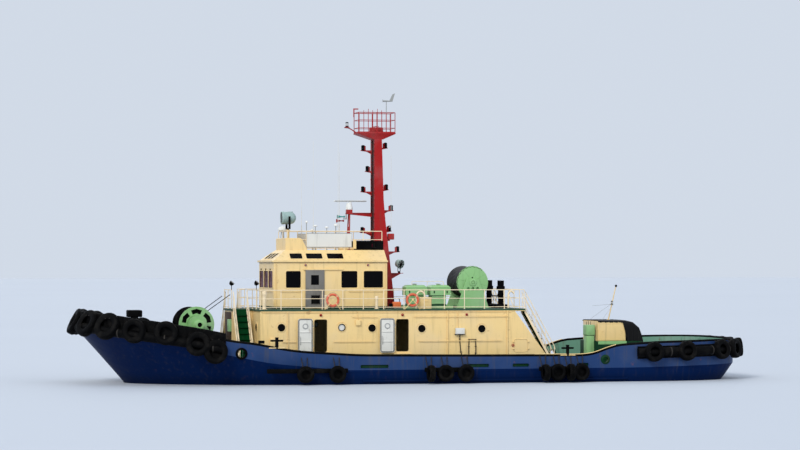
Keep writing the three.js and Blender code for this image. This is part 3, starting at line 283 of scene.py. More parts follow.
def rectangle(a0, a1, b0, b1):
    """A rectangle's corners, as a flat outline."""
    return [(a0, b0), (a1, b0), (a1, b1), (a0, b1)]


def in_plane(outline, level, axis="y"):
    """A flat outline set square to an axis at a level on it, as 3-D points."""
    return np.insert(np.asarray(outline, float), "xyz".index(axis), level, axis=1)


def rim(outline, level, axis="y", radius=0.014, sides=6):
    """A closed bar along a flat outline, square to an axis."""
    return sweep(in_plane(outline, level, axis), circle(radius, sides), closed=True,
                 up=np.eye(3)["xyz".index(axis)])


# Pieces: shapes, each with its finish, become one object at the origin that rides on a body

MATERIALS = {}


def as_one(shape):
    """One shape, from a shape or a list of shapes."""
    return shape if isinstance(shape, tuple) else joined(*shape)


def new_mesh(name, shape, index=None):
    """A mesh of a shape, with points within a hundredth of a millimetre merged and its faces turned out."""
    points, quads = shape
    mesh = bpy.data.meshes.new(name)
    mesh.from_pydata(points.tolist(), [], [q[:3] if q[2] == q[3] else q for q in quads.tolist()])
    if index is not None:
        mesh.polygons.foreach_set("material_index", index.astype(np.int32))
    work = bmesh.new()
    work.from_mesh(mesh)
    bmesh.ops.remove_doubles(work, verts=work.verts, dist=1e-5)
    bmesh.ops.recalc_face_normals(work, faces=work.faces)
    work.to_mesh(mesh)
    work.free()
    return mesh


def make_piece(name, parts, body="root", stands_for=(), slot=None, sharp=38):
    """One mesh of (material, shapes) pairs, smoothed up to the sharp angle and seated on its body."""
    names = list(dict.fromkeys(material for material, _ in parts))
    shapes = [as_one(shape) for _, shape in parts]
    index = [np.full(len(quads), names.index(material)) for (material, _), (_, quads) in zip(parts, shapes)]
    mesh = new_mesh(name, joined(*shapes), np.concatenate(index))
    for entry in names:
        mesh.materials.append(MATERIALS[entry])
    mesh.shade_smooth()
    mesh.set_sharp_from_angle(angle=math.radians(sharp))
    piece = bpy.data.objects.new(name, mesh)
    bpy.context.scene.collection.objects.link(piece)
    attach(piece, body)
    if stands_for:
        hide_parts(*stands_for)
    return piece


def body_of(node):
    """The body that a node of the frame rides on."""
    return frame["nodes"][node].parent.name.split(":", 1)[-1]


def make_side(side, name, parts, slot, **options):
    """The piece of a node on one side, on its node's body: port's shapes, mirrored for starboard."""
    node, turned = f"{name}_{side}", mirrored if side == "starboard" else joined
    shown = [(material, turned(as_one(shape))) for material, shape in parts]
    make_piece(node + "_dressed", shown, body_of(node), [node], slot, **options)


def make_pair(name, parts, slot, **options):
    """The pieces of the port node and of the starboard node."""
    for side in ("port", "starboard"):
        make_side(side, name, parts, slot, **options)


# Finishes: node groups that the materials share, then the materials


def lay(tree, kind, values=None, **settings):
    """One node in a tree, each of its named or numbered inputs given a value or joined to a socket."""
    node = tree.nodes.new(kind)
    for key, value in settings.items():
        setattr(node, key, value)
    for key, value in (values or {}).items():
        if isinstance(value, bpy.types.NodeSocket):
            tree.links.new(value, node.inputs[key])
        else:
            node.inputs[key].default_value = value
    return node


def noise(tree, vector, scale, detail=4.0, stretch=None):
    """Noise from 0 to 1 over a vector, which may first be stretched along its axes."""
    if stretch:
        vector = lay(tree, "ShaderNodeMapping", {"Vector": vector, "Scale": stretch}).outputs[0]
    return lay(tree, "ShaderNodeTexNoise", {"Vector": vector, "Scale": scale, "Detail": detail}).outputs[0]


def ramp(tree, value, low, high, start=0.0, end=1.0):
    """A value between two limits, spread over start to end and held there."""
    values = {"Value": value, "From Min": low, "From Max": high, "To Min": start, "To Max": end}
    return lay(tree, "ShaderNodeMapRange", values, interpolation_type="SMOOTHSTEP").outputs[0]


def maths(tree, operation, first, second=0.0):
    """One sum on two values."""
    return lay(tree, "ShaderNodeMath", {0: first, 1: second}, operation=operation).outputs[0]


def times(tree, first, second):
    """The product of two values."""
    return maths(tree, "MULTIPLY", first, second)


def plus(tree, first, second):
    """The sum of two values."""
    return maths(tree, "ADD", first, second)


def tint(tree, share, first, second):
    """Two colours mixed by a share."""
    return lay(tree, "ShaderNodeMix", {0: share, 6: first, 7: second}, data_type="RGBA").outputs[2]


def group_tree(name, inputs, outputs):
    """An empty group: its tree, its input sockets by name, and its output node to join the results to."""
    tree = bpy.data.node_groups.new(name, "ShaderNodeTree")
    for label, kind, default in inputs:
        socket = tree.interface.new_socket(name=label, in_out="INPUT", socket_type="NodeSocket" + kind)
        if default is not None:
            socket.default_value = default
    for label, kind in outputs:
        tree.interface.new_socket(name=label, in_out="OUTPUT", socket_type="NodeSocket" + kind)
    return tree, tree.nodes.new("NodeGroupInput").outputs, tree.nodes.new("NodeGroupOutput").inputs


def use_group(tree, name, values):
    """The outputs of a shared node group, with its inputs given."""
    return lay(tree, "ShaderNodeGroup", values, node_tree=bpy.data.node_groups[name]).outputs


def weathered_group():
    """Paint that fades in broad patches, with upright streaks of grime and a fine brushed grain."""
    tree, given, out = group_tree("weathered_paint",
                                  [("Vector", "Vector", None), ("Paint", "Color", (0.5, 0.5, 0.5, 1)),
                                   ("Faded", "Color", (0.6, 0.6, 0.6, 1)),
                                   ("Grime", "Color", (0.08, 0.07, 0.05, 1)), ("Streaks", "Float", 0.4),
                                   ("Roughness", "Float", 0.4)],
                                  [("Color", "Color"), ("Roughness", "Float"), ("Height", "Float")])
    patches = ramp(tree, noise(tree, given["Vector"], 0.5, 5.0), 0.4, 0.7)
    faded = tint(tree, patches, given["Paint"], given["Faded"])
    runs = ramp(tree, noise(tree, given["Vector"], 2.2, 6.0, (2.4, 2.4, 0.22)), 0.5, 0.82)
    marks = ramp(tree, noise(tree, given["Vector"], 7.0, 8.0), 0.6, 0.78)
    dirt = times(tree, plus(tree, runs, times(tree, marks, 0.4)),
                 given["Streaks"])
    grain = noise(tree, given["Vector"], 26.0, 3.0)
    tree.links.new(tint(tree, dirt, faded, given["Grime"]), out["Color"])
    rough = plus(tree, given["Roughness"], times(tree, dirt, 0.35))
    rougher = plus(tree, rough, times(tree, grain, 0.12))
    tree.links.new(rougher, out["Roughness"])
    tree.links.new(grain, out["Height"])


def rust_group():
    """Rust: small blotches, and the stains that run down from them."""
    tree, given, out = group_tree(
        "rust_bleed", [("Vector", "Vector", None), ("Amount", "Float", 0.3)],
        [("Mask", "Float"), ("Color", "Color"), ("Height", "Float")])
    blotches = ramp(tree, noise(tree, given["Vector"], 3.1, 9.0), 0.66, 0.74)
    stains = ramp(tree, noise(tree, given["Vector"], 4.5, 7.0, (3.0, 3.0, 0.3)), 0.68, 0.88)
    both = maths(tree, "MAXIMUM", blotches, times(tree, stains, 0.7))
    tones = noise(tree, given["Vector"], 17.0, 4.0)
    tree.links.new(times(tree, both, given["Amount"]), out["Mask"])
    tree.links.new(tint(tree, tones, (0.09, 0.02, 0.008, 1), (0.32, 0.11, 0.035, 1)), out["Color"])
    tree.links.new(times(tree, blotches, tones), out["Height"])


def plates_group():
    """Welded plating: each panel between frames and strakes dishes a little, with a bead at its seams."""
    tree, given, out = group_tree(
        "welded_plates", [("Vector", "Vector", None), ("Frames", "Float", 0.6), ("Strakes", "Float", 1.5)],
        [("Height", "Float")])
    split = lay(tree, "ShaderNodeSeparateXYZ", {0: given["Vector"]}).outputs
    along = maths(tree, "DIVIDE", plus(tree, split["X"], split["Y"]), given["Frames"])
    above = maths(tree, "DIVIDE", split["Z"], given["Strakes"])
    dished, beads = [], []
    for place in (along, above):
        share = maths(tree, "ABSOLUTE", maths(tree, "SUBTRACT", maths(tree, "FRACT", place), 0.5))
        dished.append(ramp(tree, share, 0.0, 0.5))
        beads.append(ramp(tree, share, 0.488, 0.5))
    dish = maths(tree, "MAXIMUM", dished[0], dished[1])
    bead = maths(tree, "MAXIMUM", times(tree, beads[0], 0.4), beads[1])
    tree.links.new(plus(tree, dish, times(tree, bead, 0.25)), out["Height"])


def grip_group():
    """Anti-slip deck paint: a coarse grit, scuffed paler where people walk."""
    tree, given, out = group_tree("deck_grip",
                                  [("Vector", "Vector", None), ("Paint", "Color", (0, 0.1, 0, 1)),
                                   ("Scuffed", "Color", (0.2, 0.2, 0.2, 1))],
                                  [("Color", "Color"), ("Height", "Float")])
    grit = lay(tree, "ShaderNodeTexVoronoi", {"Vector": given["Vector"], "Scale": 55.0}).outputs["Distance"]
    worn = ramp(tree, noise(tree, given["Vector"], 1.1, 9.0), 0.5, 0.75, 0.0, 0.75)
    tree.links.new(tint(tree, worn, given["Paint"], given["Scuffed"]), out["Color"])
    tree.links.new(grit, out["Height"])


def rubber_group():
    """Old rubber: chalky scuffs over black, and a net of fine cracks."""
    tree, given, out = group_tree(
        "old_rubber", [("Vector", "Vector", None), ("Scuffs", "Float", 0.5)],
        [("Color", "Color"), ("Roughness", "Float"), ("Height", "Float")])
    scuffs = times(tree, ramp(tree, noise(tree, given["Vector"], 2.6, 8.0), 0.48, 0.72),
                   given["Scuffs"])
    cracks = lay(tree, "ShaderNodeTexVoronoi", {"Vector": given["Vector"], "Scale": 13.0},
                 feature="DISTANCE_TO_EDGE").outputs["Distance"]
    tree.links.new(tint(tree, scuffs, (0.0014, 0.0014, 0.0017, 1), (0.016, 0.0145, 0.013, 1)), out["Color"])
    tree.links.new(ramp(tree, scuffs, 0.0, 1.0, 0.62, 0.9), out["Roughness"])
    tree.links.new(ramp(tree, cracks, 0.0, 0.05), out["Height"])


def lay_group():
    """The lay of a rope: slanting bands for its strands, with finer yarns across them."""
    tree, given, out = group_tree("rope_lay",
                                  [("Vector", "Vector", None), ("Light", "Color", (1, 1, 1, 1)),
                                   ("Dark", "Color", (0, 0, 0, 1))],
                                  [("Color", "Color"), ("Height", "Float")])
    strands = lay(tree, "ShaderNodeTexWave", {"Vector": given["Vector"], "Scale": 9.0, "Distortion": 1.2},
                  wave_type="BANDS", bands_direction="DIAGONAL").outputs[1]
    yarns = noise(tree, given["Vector"], 60.0, 3.0)
    tree.links.new(tint(tree, times(tree, strands, yarns), given["Dark"], given["Light"]),
                   out["Color"])
    tree.links.new(plus(tree, strands, times(tree, yarns, 0.3)), out["Height"])


def weave_group():
    """Coated cloth: a plain weave that shows faintly, and long soft creases."""
    tree, given, out = group_tree(
        "coated_weave", [("Vector", "Vector", None)], [("Color", "Color"), ("Height", "Float")])
    threads = []
    for direction in ("X", "Z"):
        threads.append(lay(tree, "ShaderNodeTexWave", {"Vector": given["Vector"], "Scale": 60.0},
                           wave_type="BANDS", bands_direction=direction).outputs[1])
    creases = noise(tree, given["Vector"], 2.4, 5.0, (1.0, 0.35, 1.0))
    faded = ramp(tree, noise(tree, given["Vector"], 1.2, 6.0), 0.4, 0.7)
    tree.links.new(tint(tree, faded, (0.005, 0.005, 0.006, 1), (0.016, 0.015, 0.017, 1)), out["Color"])
    weave = times(tree, times(tree, threads[0], threads[1]), 0.06)
    tree.links.new(plus(tree, weave, creases), out["Height"])


def new_material(name):
    """A material with one Principled BSDF: its tree, that shader, and the object's own coordinates."""
    material = bpy.data.materials.new(name)
    material.use_nodes = True
    tree = material.node_tree
    tree.nodes.clear()
    shader = tree.nodes.new("ShaderNodeBsdfPrincipled")
    lay(tree, "ShaderNodeOutputMaterial", {"Surface": shader.outputs[0]})
    MATERIALS[name] = material
    return tree, shader, lay(tree, "ShaderNodeTexCoord").outputs["Object"]


def set_shader(tree, shader, height=None, depth=0.004, **sockets):
    """Gives the shader its inputs, an underscore for each space, and its bump from a height."""
    for key, value in sockets.items():
        socket = shader.inputs[key.replace("_", " ")]
        if isinstance(value, bpy.types.NodeSocket):
            tree.links.new(value, socket)
        else:
            socket.default_value = value
    if height is not None:
        bump = lay(tree, "ShaderNodeBump", {"Height": height, "Strength": 0.7, "Distance": depth})
        tree.links.new(bump.outputs[0], shader.inputs["Normal"])


def paler(colour, share):
    """A colour part of the way to a pale grey."""
    return tuple(c + (0.55 - c) * share for c in colour[:3]) + (1,)


def paint(name, colour, roughness=0.35, streaks=0.35, rust=0.2, plates=None, shine=0.3, fade=0.14):
    """Ship's paint: weathering, rust and, on plating, dished panels between welded seams."""
    tree, shader, place = new_material(name)
    worn = use_group(tree, "weathered_paint",
                     {"Vector": place, "Paint": (*colour, 1), "Faded": paler(colour, fade),
                      "Streaks": streaks, "Roughness": roughness})
    rusty = use_group(tree, "rust_bleed", {"Vector": place, "Amount": rust})
    colour_out = tint(tree, rusty["Mask"], worn["Color"], rusty["Color"])
    height = plus(tree, times(tree, worn["Height"], 0.12),
                   times(tree, rusty["Height"], 0.2))
    if plates:
        panels = use_group(tree, "welded_plates",
                           {"Vector": place, "Frames": plates[0], "Strakes": plates[1]})
        height = plus(tree, height, times(tree, panels["Height"], 0.9))
    set_shader(tree, shader, height, 0.006, Base_Color=colour_out, Roughness=worn["Roughness"],
               Specular_IOR_Level=shine)
    return tree, shader, place, colour_out


def hull_finish(name, top, bottom, streaks=0.5, shine=0.12, fade=0.025, rust=0.25):
    """Blue topsides, scuffed, and darker towards the waterline, over a red-brown bottom."""
    tree, shader, place, colour = paint(name, top, 0.4, streaks, rust, (0.62, 1.35), shine, fade)
    height = lay(tree, "ShaderNodeSeparateXYZ", {0: place}).outputs["Z"]
    wavy = plus(tree, height, times(tree, noise(tree, place, 1.5, 5.0), 0.16))
    # Darker towards the waterline, from the deck's edge down
    waterline_darkening = ramp(tree, wavy, 0.15, 0.75, 0.62, 0.0)
    darker = tint(tree, waterline_darkening, colour, tuple(c * 0.45 for c in top) + (1,))
    below = ramp(tree, height, -0.38, -0.36, 1.0, 0.0)
    fouled = tint(tree, noise(tree, place, 3.0, 8.0), (*bottom, 1), tuple(c * 0.5 for c in bottom) + (1,))
    tree.links.new(tint(tree, below, darker, fouled), shader.inputs["Base Color"])


def deck_finish(name, colour):
    """Gritty deck paint, scuffed paler, weathered, and stained where rust bleeds through."""
    tree, shader, place = new_material(name)
    grip = use_group(tree, "deck_grip",
                     {"Vector": place, "Paint": (*colour, 1), "Scuffed": paler(colour, 0.08)})
    rusty = use_group(tree, "rust_bleed", {"Vector": place, "Amount": 0.5})
    worn = use_group(tree, "weathered_paint", {
        "Vector": place, "Paint": grip["Color"], "Faded": grip["Color"], "Streaks": 0.5, "Roughness": 0.6})
    set_shader(tree, shader, grip["Height"], 0.004, Roughness=worn["Roughness"],
               Base_Color=tint(tree, rusty["Mask"], worn["Color"], rusty["Color"]))


def rubber_finish():
    """Old rubber, greyed and scuffed, with hardly any shine."""
    tree, shader, place = new_material("rubber")
    aged = use_group(tree, "old_rubber", {"Vector": place, "Scuffs": 0.5})
    set_shader(tree, shader, aged["Height"], 0.003, Base_Color=aged["Color"], Roughness=aged["Roughness"],
               Specular_IOR_Level=0.06)


def bare_metal(name, colour, roughness, rust=0.1, metallic=0.9):
    """Bare or thinly painted metal: brushed grain, stains, and its own shine."""
    tree, shader, place = new_material(name)
    worn = use_group(tree, "weathered_paint",
                     {"Vector": place, "Paint": (*colour, 1), "Faded": tuple(c * 0.75 for c in colour) + (1,),
                      "Streaks": 0.25, "Roughness": roughness})
    rusty = use_group(tree, "rust_bleed", {"Vector": place, "Amount": rust})
    set_shader(tree, shader, worn["Height"], 0.002, Metallic=metallic, Roughness=worn["Roughness"],
               Base_Color=tint(tree, rusty["Mask"], worn["Color"], rusty["Color"]))


def rope_finish(name, light, dark):
    """Laid rope in two shades, with its strands raised."""
    tree, shader, place = new_material(name)
    laid = use_group(tree, "rope_lay", {"Vector": place, "Light": (*light, 1), "Dark": (*dark, 1)})
    set_shader(tree, shader, laid["Height"], 0.008, Base_Color=laid["Color"], Roughness=0.85)


def cloth_finish():
    """Coated cloth with its weave just raised."""
    tree, shader, place = new_material("tarpaulin")
    woven = use_group(tree, "coated_weave", {"Vector": place})
    set_shader(tree, shader, woven["Height"], 0.02, Base_Color=woven["Color"], Roughness=0.65,
               Specular_IOR_Level=0.15)


def foam_finish(name, colour):
    """Moulded foam with a fine skin, rubbed paler on its outside."""
    tree, shader, place = new_material(name)
    skin = use_group(tree, "weathered_paint",
                     {"Vector": place, "Paint": (*colour, 1), "Faded": paler(colour, 0.25), "Streaks": 0.2,
                      "Roughness": 0.5})
    set_shader(tree, shader, skin["Height"], 0.003, Base_Color=skin["Color"], Roughness=skin["Roughness"])


def glass_finish(name, colour, transmission, roughness=0.04, shine=0.12):
    """Glass with a film of salt that dulls its gloss in patches."""
    tree, shader, place = new_material(name)
    salt = ramp(tree, noise(tree, place, 5.0, 7.0), 0.45, 0.75, roughness, roughness + 0.16)
    shade = tint(tree, noise(tree, place, 1.3, 3.0), (*colour, 1), tuple(c * 0.7 for c in colour) + (1,))
    set_shader(tree, shader, Base_Color=shade, Roughness=salt, Transmission_Weight=transmission, IOR=1.48,
               Specular_IOR_Level=shine)


GROUPS = [weathered_group, rust_group, plates_group, grip_group, rubber_group, lay_group, weave_group]
HULL_PAINTED_SHADE = (0.05, 0.26, 0.45)  # how much of the bulwark's blue the plating below the deck's edge keeps: the same paint, darkened as painted shade


def make_finishes(colours):
    """Every material of the tug, from the sidebar's colours."""
    for make_group in GROUPS:
        make_group()
    hull_finish("hull_blue", tuple(colours.hull), tuple(colours.bottom))
    # The plating below the deck's edge: the bulwark's blue darkened and with less shine, as painted shade
    # under the deck's edge
    hull_finish("hull_low", tuple(c * s for c, s in zip(colours.hull, HULL_PAINTED_SHADE)), tuple(colours.bottom),
                0.2, 0.04, 0.0, 0.06)
    cream, green = tuple(colours.house), tuple(colours.machinery)
    paint("antifouling", tuple(colours.bottom), 0.6, 0.5, 0.5)
    paint("cream", cream, 0.33, 0.3, 0.35, (0.65, 2.6))
    paint("light_green", green, 0.38, 0.35, 0.3)
    paint("inside_green", (0.13, 0.29, 0.21), 0.5, 0.55, 0.5, (0.62, 1.35))
    paint("mast_red", tuple(colours.mast), 0.4, 0.35, 0.2, (1.2, 1.9), 0.15)
    paint("black", (0.0016, 0.0016, 0.002), 0.6, 0.12, 0.05, shine=0.03, fade=0.006)
    paint("white", (0.7, 0.69, 0.64), 0.35, 0.3, 0.3)
    paint("grey_green", (0.3, 0.42, 0.4), 0.3, 0.3, 0.1)
    paint("grey", (0.3, 0.31, 0.3), 0.4, 0.4, 0.2)
    paint("brown", (0.055, 0.026, 0.012), 0.5, 0.3, 0.2, shine=0.08, fade=0.02)
    paint("dark_green", (0.003, 0.035, 0.014), 0.5, 0.25, 0.1, shine=0.08, fade=0.02)
    paint("teal", (0.03, 0.25, 0.24), 0.4, 0.3, 0.2)
    paint("orange", (0.75, 0.16, 0.03), 0.4, 0.3, 0.1)
    paint("pale_cream", tuple(c + (1 - c) * 0.3 for c in cream), 0.4, 0.3, 0.35)
    paint("stair_green", (0.001, 0.036, 0.009), 0.6, 0.2, 0.05, shine=0.03, fade=0.0)
    deck_finish("deck_green", tuple(colours.deck))
    rubber_finish()
    bare_metal("door_metal", (0.25, 0.235, 0.21), 0.36, 0.1, 0.6)
    bare_metal("bronze", (0.55, 0.36, 0.13), 0.28, 0.0, 0.95)
    bare_metal("steel", (0.42, 0.42, 0.41), 0.4, 0.45, 0.8)
    bare_metal("chain", (0.02, 0.016, 0.013), 0.7, 0.6, 0.1)
    rope_finish("rope_dark", (0.075, 0.07, 0.06), (0.014, 0.014, 0.016))
    rope_finish("rope_pale", (0.6, 0.52, 0.38), (0.25, 0.2, 0.13))
    cloth_finish()
    foam_finish("foam", (0.66, 0.105, 0.04))
    foam_finish("foam_band", (0.78, 0.36, 0.2))
    foam_finish("dome", (0.78, 0.78, 0.75))
    # Both window glasses let no light through; their dark colour is painted shade, standing for the dim rooms
    # behind them
    glass_finish("glass", (0.0025, 0.0025, 0.0035), 0.0, 0.08, 0.05)
    glass_finish("fore_glass", (0.1, 0.008, 0.02), 0.0, 0.2, 0.02)
    glass_finish("lens", (0.85, 0.87, 0.85), 0.6)
    glass_finish("red_lens", (0.6, 0.03, 0.02), 0.4)


# What each node of the frame that stays shown is finished in
KEPT = {
    "cream": ["deckhouse", "wheelhouse", "wheelhouse_roof", "breastwork", "deck_locker"],
    "deck_green": ["upper_deck"],
    "white": ["board_port", "board_starboard"],
    "black": ["sidelight_screen_port", "sidelight_screen_starboard"],
    "antifouling": ["skeg"],
    "mast_red": ["mast"],
    "light_green": ["vents_port", "vents_starboard", "reel_stand", "fore_winch_frame"],
    "door_metal": ["sliding_door_port", "sliding_door_starboard"],
}


class TugColours(PropertyGroup):
    """The paints that give the tug its look, as linear red, green and blue."""

    hull: FloatVectorProperty(
        name="Topsides", description="Blue of the hull above the water", subtype="COLOR", size=3,
        min=0, max=1, default=(0.014, 0.042, 0.135))
    bottom: FloatVectorProperty(
        name="Bottom", description="Red-brown below the water", subtype="COLOR", size=3,
        min=0, max=1, default=(0.2, 0.035, 0.022))
    house: FloatVectorProperty(
        name="Houses", description="Cream of the deckhouse and the wheelhouse", subtype="COLOR", size=3,
        min=0, max=1, default=(0.84, 0.61, 0.27))
    machinery: FloatVectorProperty(
        name="Machinery", description="Light green of the winches, vents and reel", subtype="COLOR", size=3,
        min=0, max=1, default=(0.25, 0.49, 0.2))
    mast: FloatVectorProperty(
        name="Mast", description="Red of the mast and its basket", subtype="COLOR", size=3,
        min=0, max=1, default=(0.36, 0.009, 0.01))
    deck: FloatVectorProperty(
        name="Decks", description="Green of the walking decks", subtype="COLOR", size=3,
        min=0, max=1, default=(0.006, 0.05, 0.022))


class TUG_OT_finishes(Operator):
    """Makes the finishes and paints the frame's own nodes with them"""

    bl_idname = "tug.finishes"
    bl_label = "Finishes"

    def execute(self, context):
        make_finishes(context.scene.tug_colours)
        for material, nodes in KEPT.items():
            for node in nodes:
                data = frame["nodes"][node].data
                data.materials.clear()
                data.materials.append(MATERIALS[material])
        return {"FINISHED"}


class TugHull(PropertyGroup):
    """Sizes of the hull's plating and of what runs round it."""

    plating_steps: IntProperty(
        name="Plating steps", description="Steps round each end of the hull", default=30, min=9, max=90)
    strake: FloatProperty(
        name="Strake", description="Radius of the half-round strake on the deck's edge", default=0.11,
        min=0.02, max=0.3, unit="LENGTH")
    cap: FloatProperty(
        name="Rail cap", description="Radius of the bar that caps the bulwark", default=0.075,
        min=0.02, max=0.2, unit="LENGTH")
    stay_spacing: FloatProperty(
        name="Stay spacing", description="Distance between the bulwark's inside stays", default=1.25,
        min=0.4, max=3, unit="LENGTH")


# The hull's lines, as the frame's solids have them: heights along the hull, and plan outlines by level

RAIL_LINE = [(-18.8, 2.2), (-16.4, 2.17), (-13.0, 2.1), (-10.7, 1.95), (-10.0, 1.62), (-9.3, 1.43),
             (-7.0, 1.45), (-3.0, 1.47), (3.2, 1.53), (6.4, 1.74), (7.4, 1.89), (8.6, 2.15), (10.25, 2.34),
             (11.7, 2.77), (14.05, 3.3), (17.4, 3.82)]
EDGE_LINE = [(-18.8, 0.9), (-12.0, 0.75), (4.0, 0.75), (8.0, 1.15), (11.7, 1.9), (17.5, 2.78)]
BILGE_LINE = [(-18.8, -0.15), (-15.0, -0.7), (-9.0, -1.7), (9.0, -1.7), (14.5, -1.3)]
KEEL_LINE = [(-18.8, -0.5), (-15.5, -1.15), (-12.0, -1.75), (-7.0, -3.0), (-2.0, -3.3), (9.0, -3.3),
             (13.5, -2.9)]
# Each level: the bow's tip, where the bow starts to round and how full it is, half the beam, and then where
# the stern starts to round, its end and how full it is
LEVELS = {
    "keel": (12.6, 1.0, 1.35, 2.7, -9.0, -17.0, 2.6),
    "bilge": (13.9, 2.5, 1.5, 4.55, -9.5, -17.5, 3.4),
    "water": (14.9, 4.2, 1.75, 4.88, -10.5, -17.9, 3.6),
    "edge": (17.3, 7.9, 2.35, 5.0, -11.5, -18.6, 3.4),
    "rail": (16.75, 7.9, 2.3, 4.99, -11.5, -18.6, 3.4),
}
WATER_LINE = [(-20, 0.0), (20, 0.0)]
DECK, UPPER, TOP = 0.75, 3.91, 7.05  # the main deck, the upper deck and the wheelhouse's roof
FORE_BREAK = 9.7
FORE_DECK = [(FORE_BREAK, 1.78), (18.5, 2.88)]
BULWARK = 0.11  # the bulwark's thickness
# Freeing ports: their ends in x. Mooring pipes: x, height and radius
FREEING_PORTS = [(1.65, 3.15), (-3.8, -2.4), (-6.0, -5.1), (-9.3, -8.65)]
MOORING_PIPES = [(9.45, 1.66, 0.22), (-10.25, 1.2, 0.17)]


def height_on(line, x):
    """The height on a line of (x, z) points, each bend eased over half a metre to either side."""
    xs, zs = np.array(line).T
    spread = np.array([-0.5, -0.25, 0.0, 0.25, 0.5])
    return np.interp(np.asarray(x)[..., None] + spread, xs, zs).mean(axis=-1)


def half_outline(level, line, grow=0.0, steps=30):
    """Half of a plan outline from the stem to the stern, as x, y, z.

    Each end is a superellipse: across = half * sin(t)^(2/full) and along = run * cos(t)^(2/full), with a
    straight side between them, and the heights come from the line.
    """
    bow, bow_run, bow_full, half, stern_run, stern, stern_full = LEVELS[level]
    turn = np.linspace(0, 1, steps + 1)
    ahead = (turn ** 0.8) * math.pi / 2
    fore_x = bow_run + (bow + grow - bow_run) * np.cos(ahead).clip(0) ** (2 / bow_full)
    fore_y = (half + grow) * np.sin(ahead) ** (2 / bow_full)
    side = np.linspace(bow_run, stern_run, 2 * steps + 1)[1:-1]
    behind = (1 - (1 - turn) ** 0.8) * math.pi / 2
    aft_x = stern_run - (stern_run - stern + grow) * np.sin(behind) ** (2 / stern_full)
    aft_y = (half + grow) * np.cos(behind).clip(0) ** (2 / stern_full)
    x = np.concatenate([fore_x, side, aft_x])
    y = np.concatenate([fore_y, np.full(len(side), half + grow), aft_y])
    return np.stack([x, y, height_on(line, x)], axis=-1)


def whole_outline(half):
    """A half outline and its mirror as one loop, from the stem by port to the stern and back."""
    return np.concatenate([half, half[-2:0:-1] * (1, -1, 1)])


def lengths_along(outline):
    """How far along an outline each of its points lies."""
    return np.concatenate([[0], np.cumsum(np.linalg.norm(np.diff(outline, axis=0), axis=1))])


def along_outline(outline, distance):
    """The points a distance along an outline, and the level directions outwards there."""
    lengths = lengths_along(outline)
    behind, at, ahead = (
        np.stack([np.interp(np.asarray(distance) + step, lengths, outline[:, k]) for k in range(3)], axis=-1)
        for step in (-0.1, 0, 0.1))
    run = ahead - behind
    out = np.stack([run[..., 1], -run[..., 0], np.zeros_like(run[..., 0])], axis=-1)
    return at, out / np.linalg.norm(out, axis=-1, keepdims=True)


def smooth_rows(rows, steps):
    """Rows of points joined by Catmull-Rom curves, each span cut in steps; the ends are held."""
    rows = np.asarray(rows)
    padded = np.concatenate([2 * rows[:1] - rows[1:2], rows, 2 * rows[-1:] - rows[-2:-1]])
    t = np.linspace(0, 1, steps, endpoint=False)[:, None, None]
    spans = []
    for a, b, c, d in zip(padded, padded[1:], padded[2:], padded[3:]):
        spans.append(0.5 * (2 * b + (c - a) * t + (2 * a - 5 * b + 4 * c - d) * t ** 2
                            + (3 * b - a - 3 * c + d) * t ** 3))
    return np.concatenate([*spans, rows[-1:]])


def hull_rows(steps):
    """Half-hull rows from the centreline under the keel up to the deck's edge."""
    keel, *sides = (half_outline(level, line, 0, steps) for level, line in (
        ("keel", KEEL_LINE), ("bilge", BILGE_LINE), ("water", WATER_LINE), ("edge", EDGE_LINE)))
    return smooth_rows([keel * (1, 0, 1), keel, *sides], 6)


def strip(rows):
    """Rows of a half hull and their mirror as closed rings."""
    rings = np.concatenate([rows, rows[:, -2:0:-1] * (1, -1, 1)], axis=1)
    return rings.reshape(-1, 3), grid_quads(*rings.shape[:2], close_columns=True)


def inside_at(height, steps):
    """The bulwark's inner half outline at a height worked out from x, as x, y, z.

    Between the waterline, the deck's edge and the rail the point is mixed by its height; each of the three
    lies in from the hull's skin by its plate and frames.
    """
    water = half_outline("water", WATER_LINE, -0.17, steps)
    edge = half_outline("edge", EDGE_LINE, -0.14, steps)
    rail = half_outline("rail", RAIL_LINE, -BULWARK, steps)
    z = height(edge[:, 0])
    low = np.clip(z / edge[:, 2], 0, 1)[:, None]
    high = np.clip((z - edge[:, 2]) / (rail[:, 2] - edge[:, 2]), 0, 1)[:, None]
    mixed = water + (edge - water) * low + (rail - edge) * high
    mixed[:, 2] = z
    return mixed


def deck_surface(outline, low, high, height, thick=0.03):
    """A deck inside a half outline, from x low to high: rows across it, at a height worked out from x."""
    order = np.argsort(outline[:, 0], kind="stable")
    x, y = outline[order, 0], outline[order, 1]
    xs = np.concatenate([[low], x[(x > low + 0.02) & (x < high - 0.02)], [high]])
    half = np.interp(xs, x, y)
    share = np.linspace(-1, 1, 9)[:, None]
    top, under = (np.stack(np.broadcast_arrays(xs, share * half, height(xs) - drop), axis=-1)
                  for drop in (0, thick))
    ring = np.concatenate([top, under[::-1]])
    return ring.reshape(-1, 3), grid_quads(18, len(xs), close_rows=True)


def fore_deck_height(x):
    """The foredeck's height at a place along the boat, on straight lines between its measured points."""
    return np.interp(x, [p[0] for p in FORE_DECK], [p[1] for p in FORE_DECK])


def deck_height(x):
    """The main deck, or the foredeck ahead of the break."""
    return np.where(x > FORE_BREAK, fore_deck_height(x), DECK)


